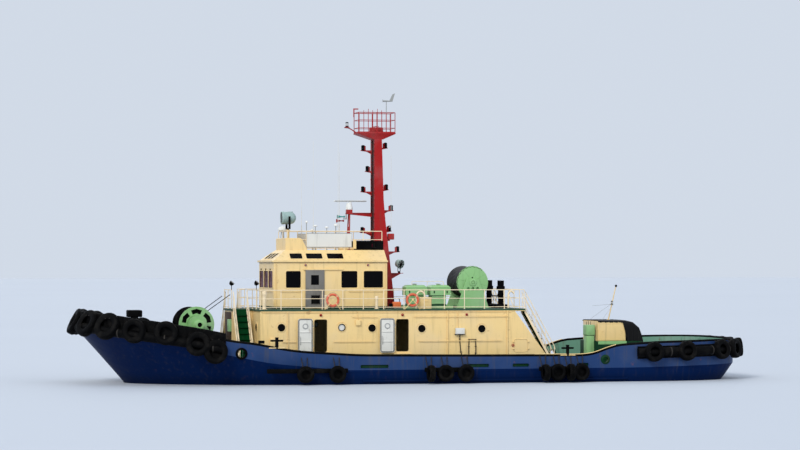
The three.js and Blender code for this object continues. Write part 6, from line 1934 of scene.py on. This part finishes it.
    def radar(self):
        """The radar's arm, its cross, legs and gearbox, and the scanner bar that turns on it."""
        web = slab([(1.39, 8.85), (1.39, 9.08), (2.85, 9.08), (2.85, 9.0)], -0.05, 0.05, "y")
        flanges = [rounded_box((1.39, -0.11, 9.055), (2.85, 0.11, 9.08), 0.005),
                   rounded_box((2.54, -0.23, 9.0), (2.85, 0.23, 9.08), 0.01)]
        legs = [tube([(2.76, s * 0.33, 7.08), (2.69, s * 0.15, 9.02)], 0.036, 12) for s in (-1, 1)]
        feet = [rounded_box((2.66, s * 0.33 - 0.1, 7.05), (2.86, s * 0.33 + 0.1, 7.08), 0.008)
                for s in (-1, 1)]
        braces = [tube([(2.74, s * 0.28, 7.6), (2.71, -s * 0.2, 8.5)], 0.018, 8) for s in (-1, 1)]
        seat = rounded_box((2.535, -0.16, 9.075), (2.85, 0.16, 9.25), 0.012)
        gearbox = lathe([(0, 0), (0.19, 0), (0.195, 0.03), (0.18, 0.14), (0.15, 0.27), (0.14, 0.35),
                         (0.11, 0.362), (0, 0.362)], (2.69, 0, 9.246), Z, 32)
        make_piece("radar_arm", [("mast_red", [web, *flanges, *legs, *feet, *braces, seat]),
                                 ("dome", gearbox)], stands_for=["radar_mount"], slot="mast_paint")
        low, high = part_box("radar_scanner")
        boss = lathe([(0, 0), (0.08, 0), (0.08, 0.03), (0.06, 0.045), (0, 0.05)],
                     ((low[0] + high[0]) / 2, 0, 9.62), Z, 24)
        beam = rounded_box((low[0], -0.06, 9.668), (high[0], 0.06, 9.748), 0.03, 3)
        face = rounded_box((low[0] + 0.03, 0.055, 9.68), (high[0] - 0.03, 0.066, 9.736), 0.003)
        make_piece("scanner_bar", [("dome", [boss, beam]), ("grey", face)], body_of("radar_scanner"),
                   ["radar_scanner"], "dome_plastic")


class TUG_OT_searchlight(Operator):
    """Shapes the searchlight: its post, its yoke and the lamp with its glass, louvres and knobs"""

    bl_idname = "tug.searchlight"
    bl_label = "Searchlight"

    def execute(self, context):
        x = 6.06
        post = lathe([(0, 0), (0.19, 0), (0.19, 0.02), (0.085, 0.04), (0.075, 0.1), (0.075, 0.98),
                      (0.11, 1.0), (0.11, 1.08), (0.06, 1.1), (0.06, 1.128), (0, 1.128)], (x, 0, TOP), Z, 28)
        ribs = [moved(slab([(0.07, 0.02), (0.18, 0.02), (0.07, 0.2)], -0.006, 0.006, "y"), (x, 0, TOP), spin)
                for spin in (np.eye(3), [(0, -1, 0), X, Z], [(-1, 0, 0), (0, -1, 0), Z], [Y, (-1, 0, 0), Z])]
        heads = bolts_round((x, 0, TOP + 0.02), Z, 0.155, 8, 0.014)
        make_piece("searchlight_post_dressed", [("cream", [post, *ribs]), ("steel", heads)],
                   stands_for=["searchlight_post"])
        low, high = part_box("searchlight_yoke")
        body = [rounded_box((x - 0.06, s * 0.425 - 0.013, low[2] + 0.02),
                            (x + 0.06, s * 0.425 + 0.013, high[2]), 0.01) for s in (-1, 1)]
        body.append(rounded_box((x - 0.06, -0.438, low[2]), (x + 0.06, 0.438, low[2] + 0.028), 0.01))
        body.append(plinth(0.12, 0.03, 0.07, 0.05, (x, 0, low[2]), Z, 24))
        make_piece("searchlight_yoke_dressed", [("black", body)], body_of("searchlight_yoke"),
                   ["searchlight_yoke"])
        at = (x, 0, 8.78)
        can = lathe([(0, -0.43), (0.06, -0.43), (0.12, -0.41), (0.22, -0.36), (0.3, -0.26), (0.335, -0.12),
                     (0.34, 0.0), (0.34, 0.26), (0.355, 0.27), (0.355, 0.36), (0.345, 0.373), (0.325, 0.373),
                     (0.31, 0.33), (0.25, 0.1), (0.1, -0.02), (0, -0.04)], at, X, 48)
        glass = lathe([(0, 0.335), (0.315, 0.33), (0.318, 0.34), (0.2, 0.356), (0, 0.362)], at, X, 48)
        bands = collar(0.335, 0.346, -0.05, 0.0, at, X, 48)
        pins = [disc(0.05, 0, 0.07, (x, s * 0.335, 8.78), (0, s, 0), 18) for s in (-1, 1)]
        louvres = [rounded_box((x - 0.25 + 0.06 * k, -0.1, 9.09 - 0.006 * k),
                               (x - 0.23 + 0.06 * k, 0.1, 9.13), 0.006) for k in range(4)]
        bars = [tube([(x + 0.365, y, 8.78 - math.sqrt(0.32 ** 2 - y * y)),
                      (x + 0.365, y, 8.78 + math.sqrt(0.32 ** 2 - y * y))], 0.006, 6)
                for y in (-0.16, 0, 0.16)]
        make_piece("searchlight_lamp_dressed", [
            ("grey_green", [can, bands, *louvres]), ("steel", [*pins, *bars]), ("glass", glass)],
            body_of("searchlight_lamp"), ["searchlight_lamp"], "grey_paint")
        return {"FINISHED"}


class TugMachinery(PropertyGroup):
    """Sizes of the winches' and the reel's gear."""

    rope: FloatProperty(name="Rope", description="Thickness of the towing hawsers", default=0.06, min=0.02,
                        max=0.12, unit="LENGTH")
    fold: FloatProperty(name="Folds", description="Depth of the folds in the covers", default=0.022, min=0,
                        max=0.06, unit="LENGTH")


def wound(radius, low, high, rope, centre, sides=48):
    """Turns of rope on a drum that lies along y: a turned shape whose profile is a row of half circles."""
    count = max(2, round((high - low) / rope))
    step = np.linspace(0, 1, count * 6 + 1)
    r = radius - rope / 2 + rope / 2 * np.abs(np.sin(step * count * math.pi)) ** 0.8
    h = low + (high - low) * step
    profile = np.concatenate([[(0, low)], np.stack([r, h], axis=-1), [(0, high)]])
    return lathe(profile, centre, Y, sides)


def flange(radius, low, high, centre):
    """A drum's end plate with a rolled rim, lying along y."""
    return lathe([(0, low), (radius - 0.03, low), (radius, low + 0.008), (radius, high - 0.008),
                  (radius - 0.03, high), (0, high)], centre, Y, 64)


def hand_wheel(at, axis, radius):
    """A valve wheel: rim, boss and four spokes."""
    axis, u, v = basis(axis)
    turn = np.linspace(0, 2 * math.pi, 24, endpoint=False)
    hub = np.asarray(at) + 0.06 * axis
    ring = hub + radius * (np.cos(turn)[:, None] * u + np.sin(turn)[:, None] * v)
    spokes = [tube([hub - radius * w, hub + radius * w], 0.007, 6) for w in (u, v)]
    return joined(sweep(ring, circle(0.012, 6), closed=True, up=axis), disc(0.02, 0, 0.08, at, axis, 10),
                  *spokes)


VENTS = [((-1.03, -0.19), (-1.2, -0.02)), ((-2.25, -1.49), (-2.5, -1.39))]  # x of each trunk and of its cap


def staggered(shapes):
    """The port vents' shapes with the starboard vents', which stand 0.71 m further aft."""
    made = joined(*shapes)
    return joined(made, moved(mirrored(made), (-0.71, 0, 0)))


def cowl(at, top, radius):
    """A small mushroom vent: a pipe from the upper deck with a flange, and its cap."""
    low = top - UPPER
    return lathe([(0, 0), (radius * 1.3, 0), (radius * 1.3, 0.02), (radius * 0.8, 0.03),
                  (radius * 0.8, low - 0.2), (radius, low - 0.19), (radius, low - 0.03), (radius * 0.8, low),
                  (0, low)], (*at, UPPER), Z, 24)


class TUG_OT_vents(Operator):
    """Fits the vents, the locker and the stacks, with the pipes and rails about them"""

    bl_idname = "tug.vents"
    bl_label = "Vents, locker and stacks"

    def execute(self, context):
        greens, bolts, greys, bases = [], [], [], []
        for (x0, x1), (c0, c1) in VENTS:
            middle, cap_middle = (x0 + x1) / 2, (c0 + c1) / 2
            for y, way in ((1.85, 1), (1.15, -1)):
                greens.append(rim(rounded_outline(x1 - x0 - 0.16, 0.42, 0.04) + (middle, 4.37), y))
                greens += [slab([(y - way * 0.002, z), (y + way * 0.022, z), (y - way * 0.002, z + 0.045)],
                                x0 + 0.12, x1 - 0.12, "x") for z in np.arange(4.2, 4.52, 0.075)]
            greens += [rim(rounded_outline(c1 - c0, 0.84, 0.02) + (cap_middle, 1.5), z, "z")
                       for z in (4.63, 5.035)]
            greys.append(hand_wheel((cap_middle, 1.5, 5.14), Z, 0.12))
            bolts.append(bolts_round((middle, 1.85, 4.37), Y, 0.27, 8, 0.012))
            bases.append(rounded_box((x0 - 0.012, 1.138, 4.02), (x1 + 0.012, 1.862, 4.14), 0.008))
            bases += [rounded_box((x - 0.03, 1.92, 4.72), (x + 0.03, 1.935, 4.86), 0.006)
                      for x in (c0 + 0.2, c1 - 0.2)]
            greens.append(plinth(0.1, 0.03, 0.04, 0.05, (cap_middle, 1.5, 5.138)))
        bow = [(-0.45, 1.5, 5.14), (-0.45, 1.5, 5.36), (-2.2, 1.5, 5.36), (-2.2, 1.5, 5.14)]
        rail = [tube(bent(bow, 0.06), 0.013, 6), tube([(-1.3, 1.5, 5.1), (-1.3, 1.5, 5.36)], 0.011, 6)]
        pipe = [(-0.55, 2.15, UPPER), (-0.55, 2.15, 4.72), (-0.78, 2.15, 4.86), (-1.0, 2.15, 4.72),
                (-1.0, 2.15, 4.5)]
        elbow = [(-5.72, 1.95, UPPER), (-5.72, 1.95, 4.74), (-5.9, 1.95, 4.86), (-6.04, 1.95, 4.7)]
        goosenecks = [tube(bent(pipe, 0.2), 0.05, 12),
                      lathe([(0, 0), (0.09, 0), (0.1, 0.05), (0.05, 0.12), (0, 0.12)], (-1.0, 2.15, 4.42), Z,
                            16), cowl((7.9, 3.0), 4.86, 0.12), cowl((1.84, 3.0), 4.6, 0.09),
                      rounded_box((4.52, 3.0, UPPER), (4.68, 3.2, 4.66), 0.02),
                      tube(bent(elbow, 0.16), 0.05, 12)]
        goosenecks += [tube([(-5.74, 1.95, 4.66), foot], 0.022)
                       for foot in ((-5.95, 2.3, 3.92), (-5.6, 2.35, 3.92))]
        make_piece("vent_fittings", [
            ("light_green", staggered(greens)), ("dark_green", staggered(bases)), ("steel", staggered(bolts)),
            ("grey", staggered(greys)), ("pale_cream", [*rail, *goosenecks])])
        locker = [rounded_box((-1.17, 2.53, 4.44), (-0.53, 3.07, 4.52), 0.015),
                  rounded_box((-0.95, 3.05, 4.28), (-0.75, 3.08, 4.33), 0.008)]
        pump = rounded_box((0.4, 2.25, 3.95), (0.84, 2.62, 4.28), 0.06)
        handle = [(0.45, 2.44, 4.26), (0.45, 2.44, 4.45), (0.8, 2.44, 4.45), (0.8, 2.44, 4.26)]
        pump_top = [tube(bent(handle, 0.08), 0.02), rounded_box((0.86, 2.3, 3.95), (1.02, 2.56, 4.2), 0.04)]
        make_piece("upper_deck_gear", [("cream", locker), ("orange", pump), ("black", pump_top)])
        self.stacks()
        return {"FINISHED"}

    def stacks(self):
        """The twin exhausts: hollow pipes with collars, bands and clamps, on their casing."""
        casing = rounded_box((-5.9, -1.55, UPPER), (-5.1, 1.55, 4.1), 0.03)
        pipes, soot = [], []
        for y in (-1.2, 1.2):
            pipes.append(lathe([(0.12, 0.2), (0.15, 0), (0.15, 0.79), (0.225, 0.82), (0.23, 0.84),
                                (0.23, 0.98), (0.225, 1.0), (0.18, 1.01), (0.18, 1.3), (0.172, 1.31),
                                (0.14, 1.31), (0.13, 1.29), (0.12, 0.9)], (-5.5, y, 4.09), Z, 36))
            pipes += [collar(0.148, 0.162, z, z + 0.05, (-5.5, y, 4.09), Z, 36) for z in (0.12, 0.55)]
            pipes.append(disc(0.21, 0, 0.02, (-5.5, y, 4.1), Z, 28))
            soot.append(disc(0.14, 0, 0.02, (-5.5, y, 5.0), Z, 24))
            pipes.append(tube([(-5.5, y * 0.85, 4.95), (-5.5, y * 0.15, 4.3)], 0.02, 8))
        pipes.append(tube([(-5.5, -1.06, 4.55), (-5.5, 1.06, 4.55)], 0.03, 8))
        make_piece("exhaust_stacks_dressed", [("black", [casing, *pipes, *soot])],
                   stands_for=["exhaust_stacks"])


class TUG_OT_reel(Operator):
    """Builds the hawser reel: its drum full of rope, the stand's bearings and the tarpaulin over it"""

    bl_idname = "tug.reel"
    bl_label = "Hawser reel"

    def execute(self, context):
        rope, fold = context.scene.tug_machinery.rope, context.scene.tug_machinery.fold
        x, z, radius = -3.88, 5.3, 0.88
        at = (x, 0, z)
        plates = [flange(radius, -0.86, -0.82, at), flange(radius, 1.26, 1.3, at)]
        ribs, hole_shade_discs = [], []
        for k in range(8):
            a = k * math.pi / 4 + 0.2
            spin = [(math.cos(a), 0, -math.sin(a)), Y, (math.sin(a), 0, math.cos(a))]
            for y0, y1 in ((-0.869, -0.86), (1.3, 1.309)):
                ribs.append(moved(rounded_box((0.34, y0, -0.012), (0.85, y1, 0.012), 0.003, 1), at, spin))
        # Black discs on each flange's face stand for its holes: painted shade, for the dark inside them
        for k in range(5):
            a = k * 1.2566 + 0.31
            for y, way in ((1.3, 1), (-0.86, -1)):
                place = (x + 0.26 * math.cos(a), y - way * 0.001, z + 0.26 * math.sin(a))
                hole_shade_discs.append(disc(0.042, 0, 0.003, place, (0, way, 0), 16))
        hub = lathe([(0, -1.0), (0.07, -1.0), (0.075, -0.99), (0.075, -0.8796), (0.15, -0.8795),
                     (0.15, 1.3195), (0.075, 1.3196), (0.075, 1.43), (0.07, 1.44), (0, 1.44)], at, Y, 28)
        drum = make_piece("reel_drum_dressed",
                          [("light_green", [*plates, *ribs, hub]), ("black", hole_shade_discs),
                           ("rope_dark", wound(0.79, -0.82, 1.26, rope, at, 56))], body_of("reel_drum"),
                          ["reel_drum"], "light_green_paint")
        self.cover(x, z, fold, drum)
        bearings, studs = [], []
        for y, way in ((1.4, 1), (-0.96, -1)):
            bearings.append(plinth(0.2, 0.03, 0.15, 0.05, (x, y, z), (0, way, 0), 28, 0.095))
            studs.append(bolts_round((x, y + way * 0.03, z), (0, way, 0), 0.17, 6, 0.014))
            cheek = [(x - 0.88, 3.92), (x - 0.33, 5.47), (x + 0.33, 5.47), (x + 0.88, 3.92)]
            bearings.append(sweep(in_plane(cheek, y - way * 0.04), circle(0.025, 8), up=Y))
            low, high = (x - 1.0, y - way * 0.04 - 0.1, UPPER), (x + 1.0, y - way * 0.04 + 0.1, UPPER + 0.025)
            bearings.append(rounded_box(low, high, 0.008))
            bearings += [collar(0.08, 0.105, 0, 0.012, (x + dx, y, 4.97), (0, way, 0), 24)
                         for dx in (-0.26, 0, 0.26)]
        motor = [rounded_box((x - 0.95, -1.35, UPPER), (x - 0.45, -1.0, 4.5), 0.04),
                 lathe([(0, 0), (0.14, 0), (0.15, 0.05), (0.15, 0.36), (0.1, 0.42), (0, 0.42)],
                       (x - 0.7, -1.52, 4.3), Y, 24)]
        make_piece("reel_stand_fittings", [("light_green", bearings), ("steel", studs), ("grey", motor)])
        return {"FINISHED"}

    def cover(self, x, z, fold, drum):
        """The tarpaulin over the reel: it lies on both flanges and laps them, and sags a little between.

        Round the drum, r = 0.889 - sag * sin(pi s)^0.7 + folds, where s runs from flange to flange and the
        folds are two waves that slant across it; past a flange's edge the radius falls over the last 50 mm.
        """
        start, end = -0.13 * math.pi, 0.72 * math.pi
        turn = np.linspace(start, end, 96)[:, None]
        s = np.linspace(0, 1, 61)[None, :]
        y = -0.875 + 2.19 * s
        between = np.clip((y + 0.82) / 2.08, 0, 1)
        sag = 0.05 * np.sin(np.clip(between, 0, 1) * math.pi) ** 0.7
        waves = np.sin(turn * 9 + y * 5) * 0.45 + np.sin(turn * 17 - y * 7 + 1.3) * 0.25
        r = 0.8895 - sag + fold * waves * np.sin(between * math.pi)
        lap = np.clip(np.maximum(-0.862 - y, y - 1.302) / 0.013, 0, 1)
        r = r - lap * (0.055 + 0.02 * np.sin(turn * 23))
        y_out = np.clip(y, -0.868, 1.308) + 0 * turn
        cloth = np.stack([x + r * np.cos(turn), y_out, z + r * np.sin(turn)], axis=-1)
        body = cloth.reshape(-1, 3), grid_quads(96, 61)
        hems = [tube(cloth[row], 0.009, 6) for row in (0, -1)]
        piece = make_piece("reel_tarpaulin", [("tarpaulin", [body, *hems])], body_of("reel_cover"),
                           ["reel_cover"], "tarpaulin")


class TUG_OT_fore_winch(Operator):
    """Builds the towing winch's drum, rope and warping head, and fits its frame"""

    bl_idname = "tug.fore_winch"
    bl_label = "Towing winch"

    def execute(self, context):
        rope = context.scene.tug_machinery.rope
        x, z, radius = 11.25, 3.1, 0.9
        at = (x, 0, z)
        plates = [flange(radius, a, b, at) for a, b in ((-1.29, -1.24), (1.24, 1.29), (-0.06, -0.01))]
        shaft = lathe([(0, -1.42), (0.095, -1.42), (0.1, -1.41), (0.1, -1.3496), (0.2, -1.3496),
                       (0.2, 1.3496), (0.1, 1.3496), (0.1, 2.2), (0.22, 2.2), (0.23, 2.21), (0.23, 2.25),
                       (0.18, 2.29), (0.15, 2.34), (0.15, 2.47), (0.18, 2.53), (0.23, 2.56), (0.23, 2.59),
                       (0.21, 2.6), (0.13, 2.6), (0.12, 2.5), (0, 2.5)], at, Y, 40)
        # The drum's flanges are black as painted shade, so that the guard's openings show dark
        make_piece("fore_winch_drum_dressed", [
            ("light_green", shaft),
            ("black", [*plates, disc(0.118, 2.501, 2.51, at, Y, 24)]),
            ("rope_dark", [wound(0.64, -1.24, -0.06, rope, at), wound(0.5, -0.01, 1.24, rope, at)])],
            body_of("fore_winch_drum"), ["fore_winch_drum"], "black_paint")
        trims = [collar(inner, outer, 0, high, (x, y, z), Y, sides) for inner, outer, high, y, sides in (
            (0.9, 0.945, 0.07, 1.345, 72), (0.5, 0.53, 0.035, 1.4, 48), (0.46, 0.485, 0.06, 1.55, 40),
            (0.46, 0.485, 0.06, 1.84, 40))]
        housing = [(0.135, 0), (0.25, 0), (0.24, 0.05), (0.16, 0.08), (0.135, 0.08)]
        trims.append(lathe(housing, (x, 1.9, z), Y, 30))
        studs = [bolts_round((x, 1.9, z), Y, 0.4, 16, 0.016), bolts_round((x, 1.95, z), Y, 0.2, 8, 0.014),
                 bolts_round((x, 1.41, z), Y, 0.86, 24, 0.012)]
        lever = [tube(bent([(x + 0.4, -1.62, 3.1), (x + 0.5, -1.62, 3.5), (x + 0.6, -1.62, 3.55)], 0.1),
                      0.022, 8), hand_wheel((x + 0.65, -1.62, 2.95), X, 0.16)]
        motor = [lathe([(0, 0), (0.2, 0), (0.22, 0.03), (0.22, 0.4), (0.16, 0.46), (0, 0.46)],
                       (x - 0.75, -1.45, 2.75), (0, -1, 0), 30),
                 rounded_box((x - 0.95, -1.85, 2.2), (x - 0.55, -1.44, 2.6), 0.03)]
        fins = [collar(0.215, 0.235, 0, 0.02, (x - 0.75, y, 2.75), Y, 30)
                for y in np.arange(-1.85, -1.5, 0.055)]
        wires = [tube([(10.89, 1.25, 3.86), (9.85, 1.2, 4.6)], 0.02, 6),
                 tube([(10.8, 1.25, 3.7), (9.42, 1.2, 4.67)], 0.02, 6)]
        make_piece("fore_winch_fittings", [
            ("light_green", [*trims, *motor, *fins]), ("steel", studs),
            ("black", [*lever, *wires])])
        return {"FINISHED"}


class TUG_OT_aft_winch(Operator):
    """Builds the after winch: base, casing, cover, control box and the raked light mast on it"""

    bl_idname = "tug.aft_winch"
    bl_label = "After winch"

    def execute(self, context):
        base = [rounded_box((-13.5, -1.45, 0.76), (-10.85, 1.45, 2.06), 0.03)]
        ribs = [rounded_box((x, -1.455, 0.8), (x + 0.03, 1.455, 2.0), 0.004, 1)
                for x in np.arange(-13.2, -10.95, 0.45)]
        casing = [rounded_box((-12.6, -1.4, 2.055), (-11.0, 1.4, 3.17), 0.06, 3)]
        seams = []
        for side in (-1, 1):
            seams.append(rim(rounded_outline(1.34, 0.82, 0.05) + (-11.8, 2.6), side * 1.4, radius=0.01))
            seams += [rounded_box((x - 0.03, side * 1.4 - 0.02, 2.56), (x + 0.03, side * 1.4 + 0.02, 2.68),
                                  0.008) for x in (-12.35, -11.25)]
        core = slab([(-12.5, 3.1), (-13.0, 3.0), (-13.33, 2.7), (-13.5, 2.28), (-13.5, 2.0), (-12.5, 2.0)],
                    -1.3, 1.3, "y")
        upper = [rounded_box((-10.9, 0.5, 2.38), (-10.4, 1.15, 2.95), 0.035),
                 rounded_box((-10.72, 1.14, 2.5), (-10.5, 1.17, 2.8), 0.01)]
        lower = rounded_box((-10.87, 0.54, 0.76), (-10.43, 1.11, 2.36), 0.03)
        band = rounded_box((-12.62, -1.462, 1.88), (-10.98, 1.462, 2.06), 0.01)
        # A black strip set in between the upper and lower box: painted shade in the gap between them
        gap_painted_shade = rounded_box((-10.85, 0.56, 2.35), (-10.45, 1.09, 2.4), 0.01)
        controls = [tube([(x, 0.7, 2.94), (x, 0.68, 3.13)], 0.012, 6) for x in (-10.78, -10.66, -10.54)]
        ladder = [tube([(-10.94, y, 2.0), (-10.94, y, 3.1)], 0.014, 6) for y in (1.2, 1.38)]
        ladder += [tube([(-10.94, 1.2, z), (-10.94, 1.38, z)], 0.01, 6) for z in np.arange(2.1, 3.1, 0.2)]
        winch = make_piece("aft_winch_dressed",
                           [("cream", [*casing, *seams, *ladder]), ("dark_green", [*base, *ribs]),
                            ("light_green", [lower, band, *upper]), ("black", [core, gap_painted_shade, *controls])],
                           stands_for=["aft_winch"], slot="house_paint")
        self.hood(context.scene.tug_machinery.fold, winch)
        pole = lathe([(0, 0), (0.034, 0), (0.03, 1.0), (0.022, 1.9), (0, 1.92)], (-12.03, 0, 3.19),
                     (-0.45, 0, 1.895), 14)
        ball = lathe(BALL, (-12.485, 0, 5.08), Z, 20)
        bar = tube([(-12.225, -0.26, 4.04), (-12.225, 0.26, 4.04)], 0.018, 8)
        foot = rounded_box((-12.11, -0.08, 3.171), (-11.95, 0.08, 3.225), 0.008)
        stays = [tube([(-12.225, s * 0.25, 4.04), (-11.3, s * 1.1, 3.2)], 0.006, 5) for s in (-1, 1)]
        stays.append(tube([(-12.225, 0, 4.06), (-11.1, 0.0, 3.98)], 0.006, 5))
        body, lens = lantern((-12.18, 0.2, 4.06), 0.7)
        make_piece("light_mast_dressed", [("cream", [pole, foot]), ("black", [ball, body]),
                                          ("grey", [bar, *stays]), ("lens", lens)], stands_for=["light_mast"],
                   slot="house_paint")
        return {"FINISHED"}

    def hood(self, fold, winch):
        """The black cover draped over the winch's top and after end, in sections from the casing aft.

        Each section runs up one side, over the top and down the other. Over the casing it only laps the edge;
        aft of it the sides hang to the base, with waves along x that grow towards the hem, and the top falls
        along the cover's outline until it meets the base.
        """
        xs = np.linspace(-10.98, -13.6, 118)[:, None]
        top = np.interp(xs, [-13.62, -13.58, -13.5, -13.38, -13.05, -12.6, -12.2],
                        [2.04, 2.2, 2.5, 2.8, 3.09, 3.19, 3.195])
        half = np.interp(xs, [-13.6, -12.7, -12.5], [1.36, 1.385, 1.415])
        s = np.linspace(-1, 1, 97)[None, :]
        side = np.clip((np.abs(s) - 0.55) / 0.45, 0, 1)
        hem = np.interp(xs, [-13.6, -12.68, -12.5, -12.4, -10.9], [2.03, 2.05, 2.75, 3.08, 3.1])
        hem = hem + (0.03 * np.sin(xs * 21) + 0.02 * np.sin(xs * 47 + 1)) * np.where(xs < -12.45, 1, 0.5)
        z = top - (top - hem).clip(0.005) * side
        across = np.clip(np.abs(s) / 0.55, 0, 1)
        round_off = 0.08 * np.clip((np.abs(s) - 0.42) / 0.13, 0, 1) ** 2 * (1 - side)
        deep = np.interp(xs, [-12.7, -12.4], [1, 0.15])
        waves = deep * fold * side ** 0.8 * (np.sin(xs * 31 + 2 * s) * 0.7 + np.sin(xs * 55) * 0.3)
        creases = fold * 0.5 * (1 - side) * np.sin(xs * 12 + s * 9) * np.sin(s * 14)
        y = np.sign(s) * (half * across + waves + deep * fold * side * 0.8)
        cloth = np.stack([xs + 0 * s, y, z - round_off * 0.5 + creases * 0.6 + 0.012], axis=-1)
        body = cloth.reshape(-1, 3), grid_quads(118, 97)
        hems = [tube(cloth[:, column], 0.01, 6) for column in (0, -1)]
        piece = make_piece("aft_winch_cover", [("tarpaulin", [body, *hems])], slot="tarpaulin")


class TUG_OT_stage(Operator):
    """Lays the pale floor at the waterline and sets the studio light, the world and the camera"""

    bl_idname = "tug.stage"
    bl_label = "Floor, light and camera"

    def execute(self, context):
        scene = context.scene
        tree, shader, place = new_material("studio_floor")
        MATERIALS.pop("studio_floor")
        mist = tint(tree, noise(tree, place, 0.02, 2.0), (0.52, 0.565, 0.635, 1), (0.545, 0.59, 0.66, 1))
        set_shader(tree, shader, Base_Color=mist, Roughness=0.7, Specular_IOR_Level=0.2)
        mesh = bpy.data.meshes.new("floor")
        mesh.from_pydata([(-900, -900, 0), (900, -900, 0), (900, 900, 0), (-900, 900, 0)], [], [(0, 1, 2, 3)])
        mesh.materials.append(bpy.data.materials["studio_floor"])
        floor = bpy.data.objects.new("floor", mesh)
        scene.collection.objects.link(floor)
        world = bpy.data.worlds.new("studio")
        world.use_nodes = True
        world.node_tree.nodes["Background"].inputs[0].default_value = (0.8, 0.88, 1.0, 1)
        world.node_tree.nodes["Background"].inputs[1].default_value = 0.8
        scene.world = world
        for name, at, spread, strength, colour in (
                ("key", (60, 70, 70), 20, 1.9, (1, 0.96, 0.88)),
                ("fill", (-70, 80, 30), 50, 0.45, (1, 0.98, 0.95)),
                ("back", (-10, -80, 50), 40, 0.35, (1, 1, 1))):
            light = bpy.data.lights.new(name, "SUN")
            light.angle, light.energy, light.color = math.radians(spread), strength, colour
            lamp = bpy.data.objects.new(name, light)
            lamp.location = at
            lamp.rotation_euler = (Vector((0, 0, 4)) - Vector(at)).to_track_quat("-Z", "Y").to_euler()
            scene.collection.objects.link(lamp)
        camera = bpy.data.objects.new("camera", bpy.data.cameras.new("camera"))
        camera.data.lens, camera.data.clip_end = CAMERA_LENS, 2000
        camera.location = CAMERA_AT
        ahead = Vector((-math.sin(CAMERA_TURN), -math.cos(CAMERA_TURN), math.tan(CAMERA_PITCH)))
        camera.rotation_euler = ahead.to_track_quat("-Z", "Y").to_euler()
        scene.collection.objects.link(camera)
        scene.camera = camera
        scene.view_settings.view_transform = "Standard"
        return {"FINISHED"}


CAMERA_LENS, CAMERA_AT = 115.6, (32.06, 136.24, 6.37)
CAMERA_TURN, CAMERA_PITCH = math.radians(13.3), math.radians(0.84)

STAGES = [TUG_OT_finishes, TUG_OT_hull, TUG_OT_bulwark, TUG_OT_deck_gear, TUG_OT_fenders, TUG_OT_thrusters,
          TUG_OT_deckhouse, TUG_OT_deck_doors, TUG_OT_stairs, TUG_OT_railings, TUG_OT_wheelhouse, TUG_OT_roof,
          TUG_OT_mast, TUG_OT_searchlight, TUG_OT_vents, TUG_OT_reel, TUG_OT_fore_winch, TUG_OT_aft_winch,
          TUG_OT_stage]


class TUG_PT_panel(Panel):
    """The tug's pieces and their sizes, in the order they are built."""

    bl_idname = "TUG_PT_panel"
    bl_label = "Harbour tug"
    bl_space_type = "VIEW_3D"
    bl_region_type = "UI"
    bl_category = "Tug"

    def draw(self, context):
        layout = self.layout
        for group, kind in SETTINGS.items():
            box = layout.box()
            for key in kind.__annotations__:
                box.prop(getattr(context.scene, group), key)
        column = layout.column(align=True)
        for stage in STAGES:
            column.operator(stage.bl_idname)


SETTINGS = {"tug_colours": TugColours, "tug_hull": TugHull, "tug_fenders": TugFenders, "tug_rails": TugRails,
            "tug_machinery": TugMachinery}


def register():
    for kind in (*SETTINGS.values(), *STAGES, TUG_PT_panel):
        bpy.utils.register_class(kind)
    for name, kind in SETTINGS.items():
        setattr(bpy.types.Scene, name, PointerProperty(type=kind))


def unregister():
    for name in SETTINGS:
        delattr(bpy.types.Scene, name)
    for kind in reversed((*SETTINGS.values(), *STAGES, TUG_PT_panel)):
        bpy.utils.unregister_class(kind)


def main():
    register()
    for stage in STAGES:
        family, name = stage.bl_idname.split(".")
        getattr(getattr(bpy.ops, family), name)()
    bpy.context.view_layer.update()


if __name__ == "__main__":
    main()
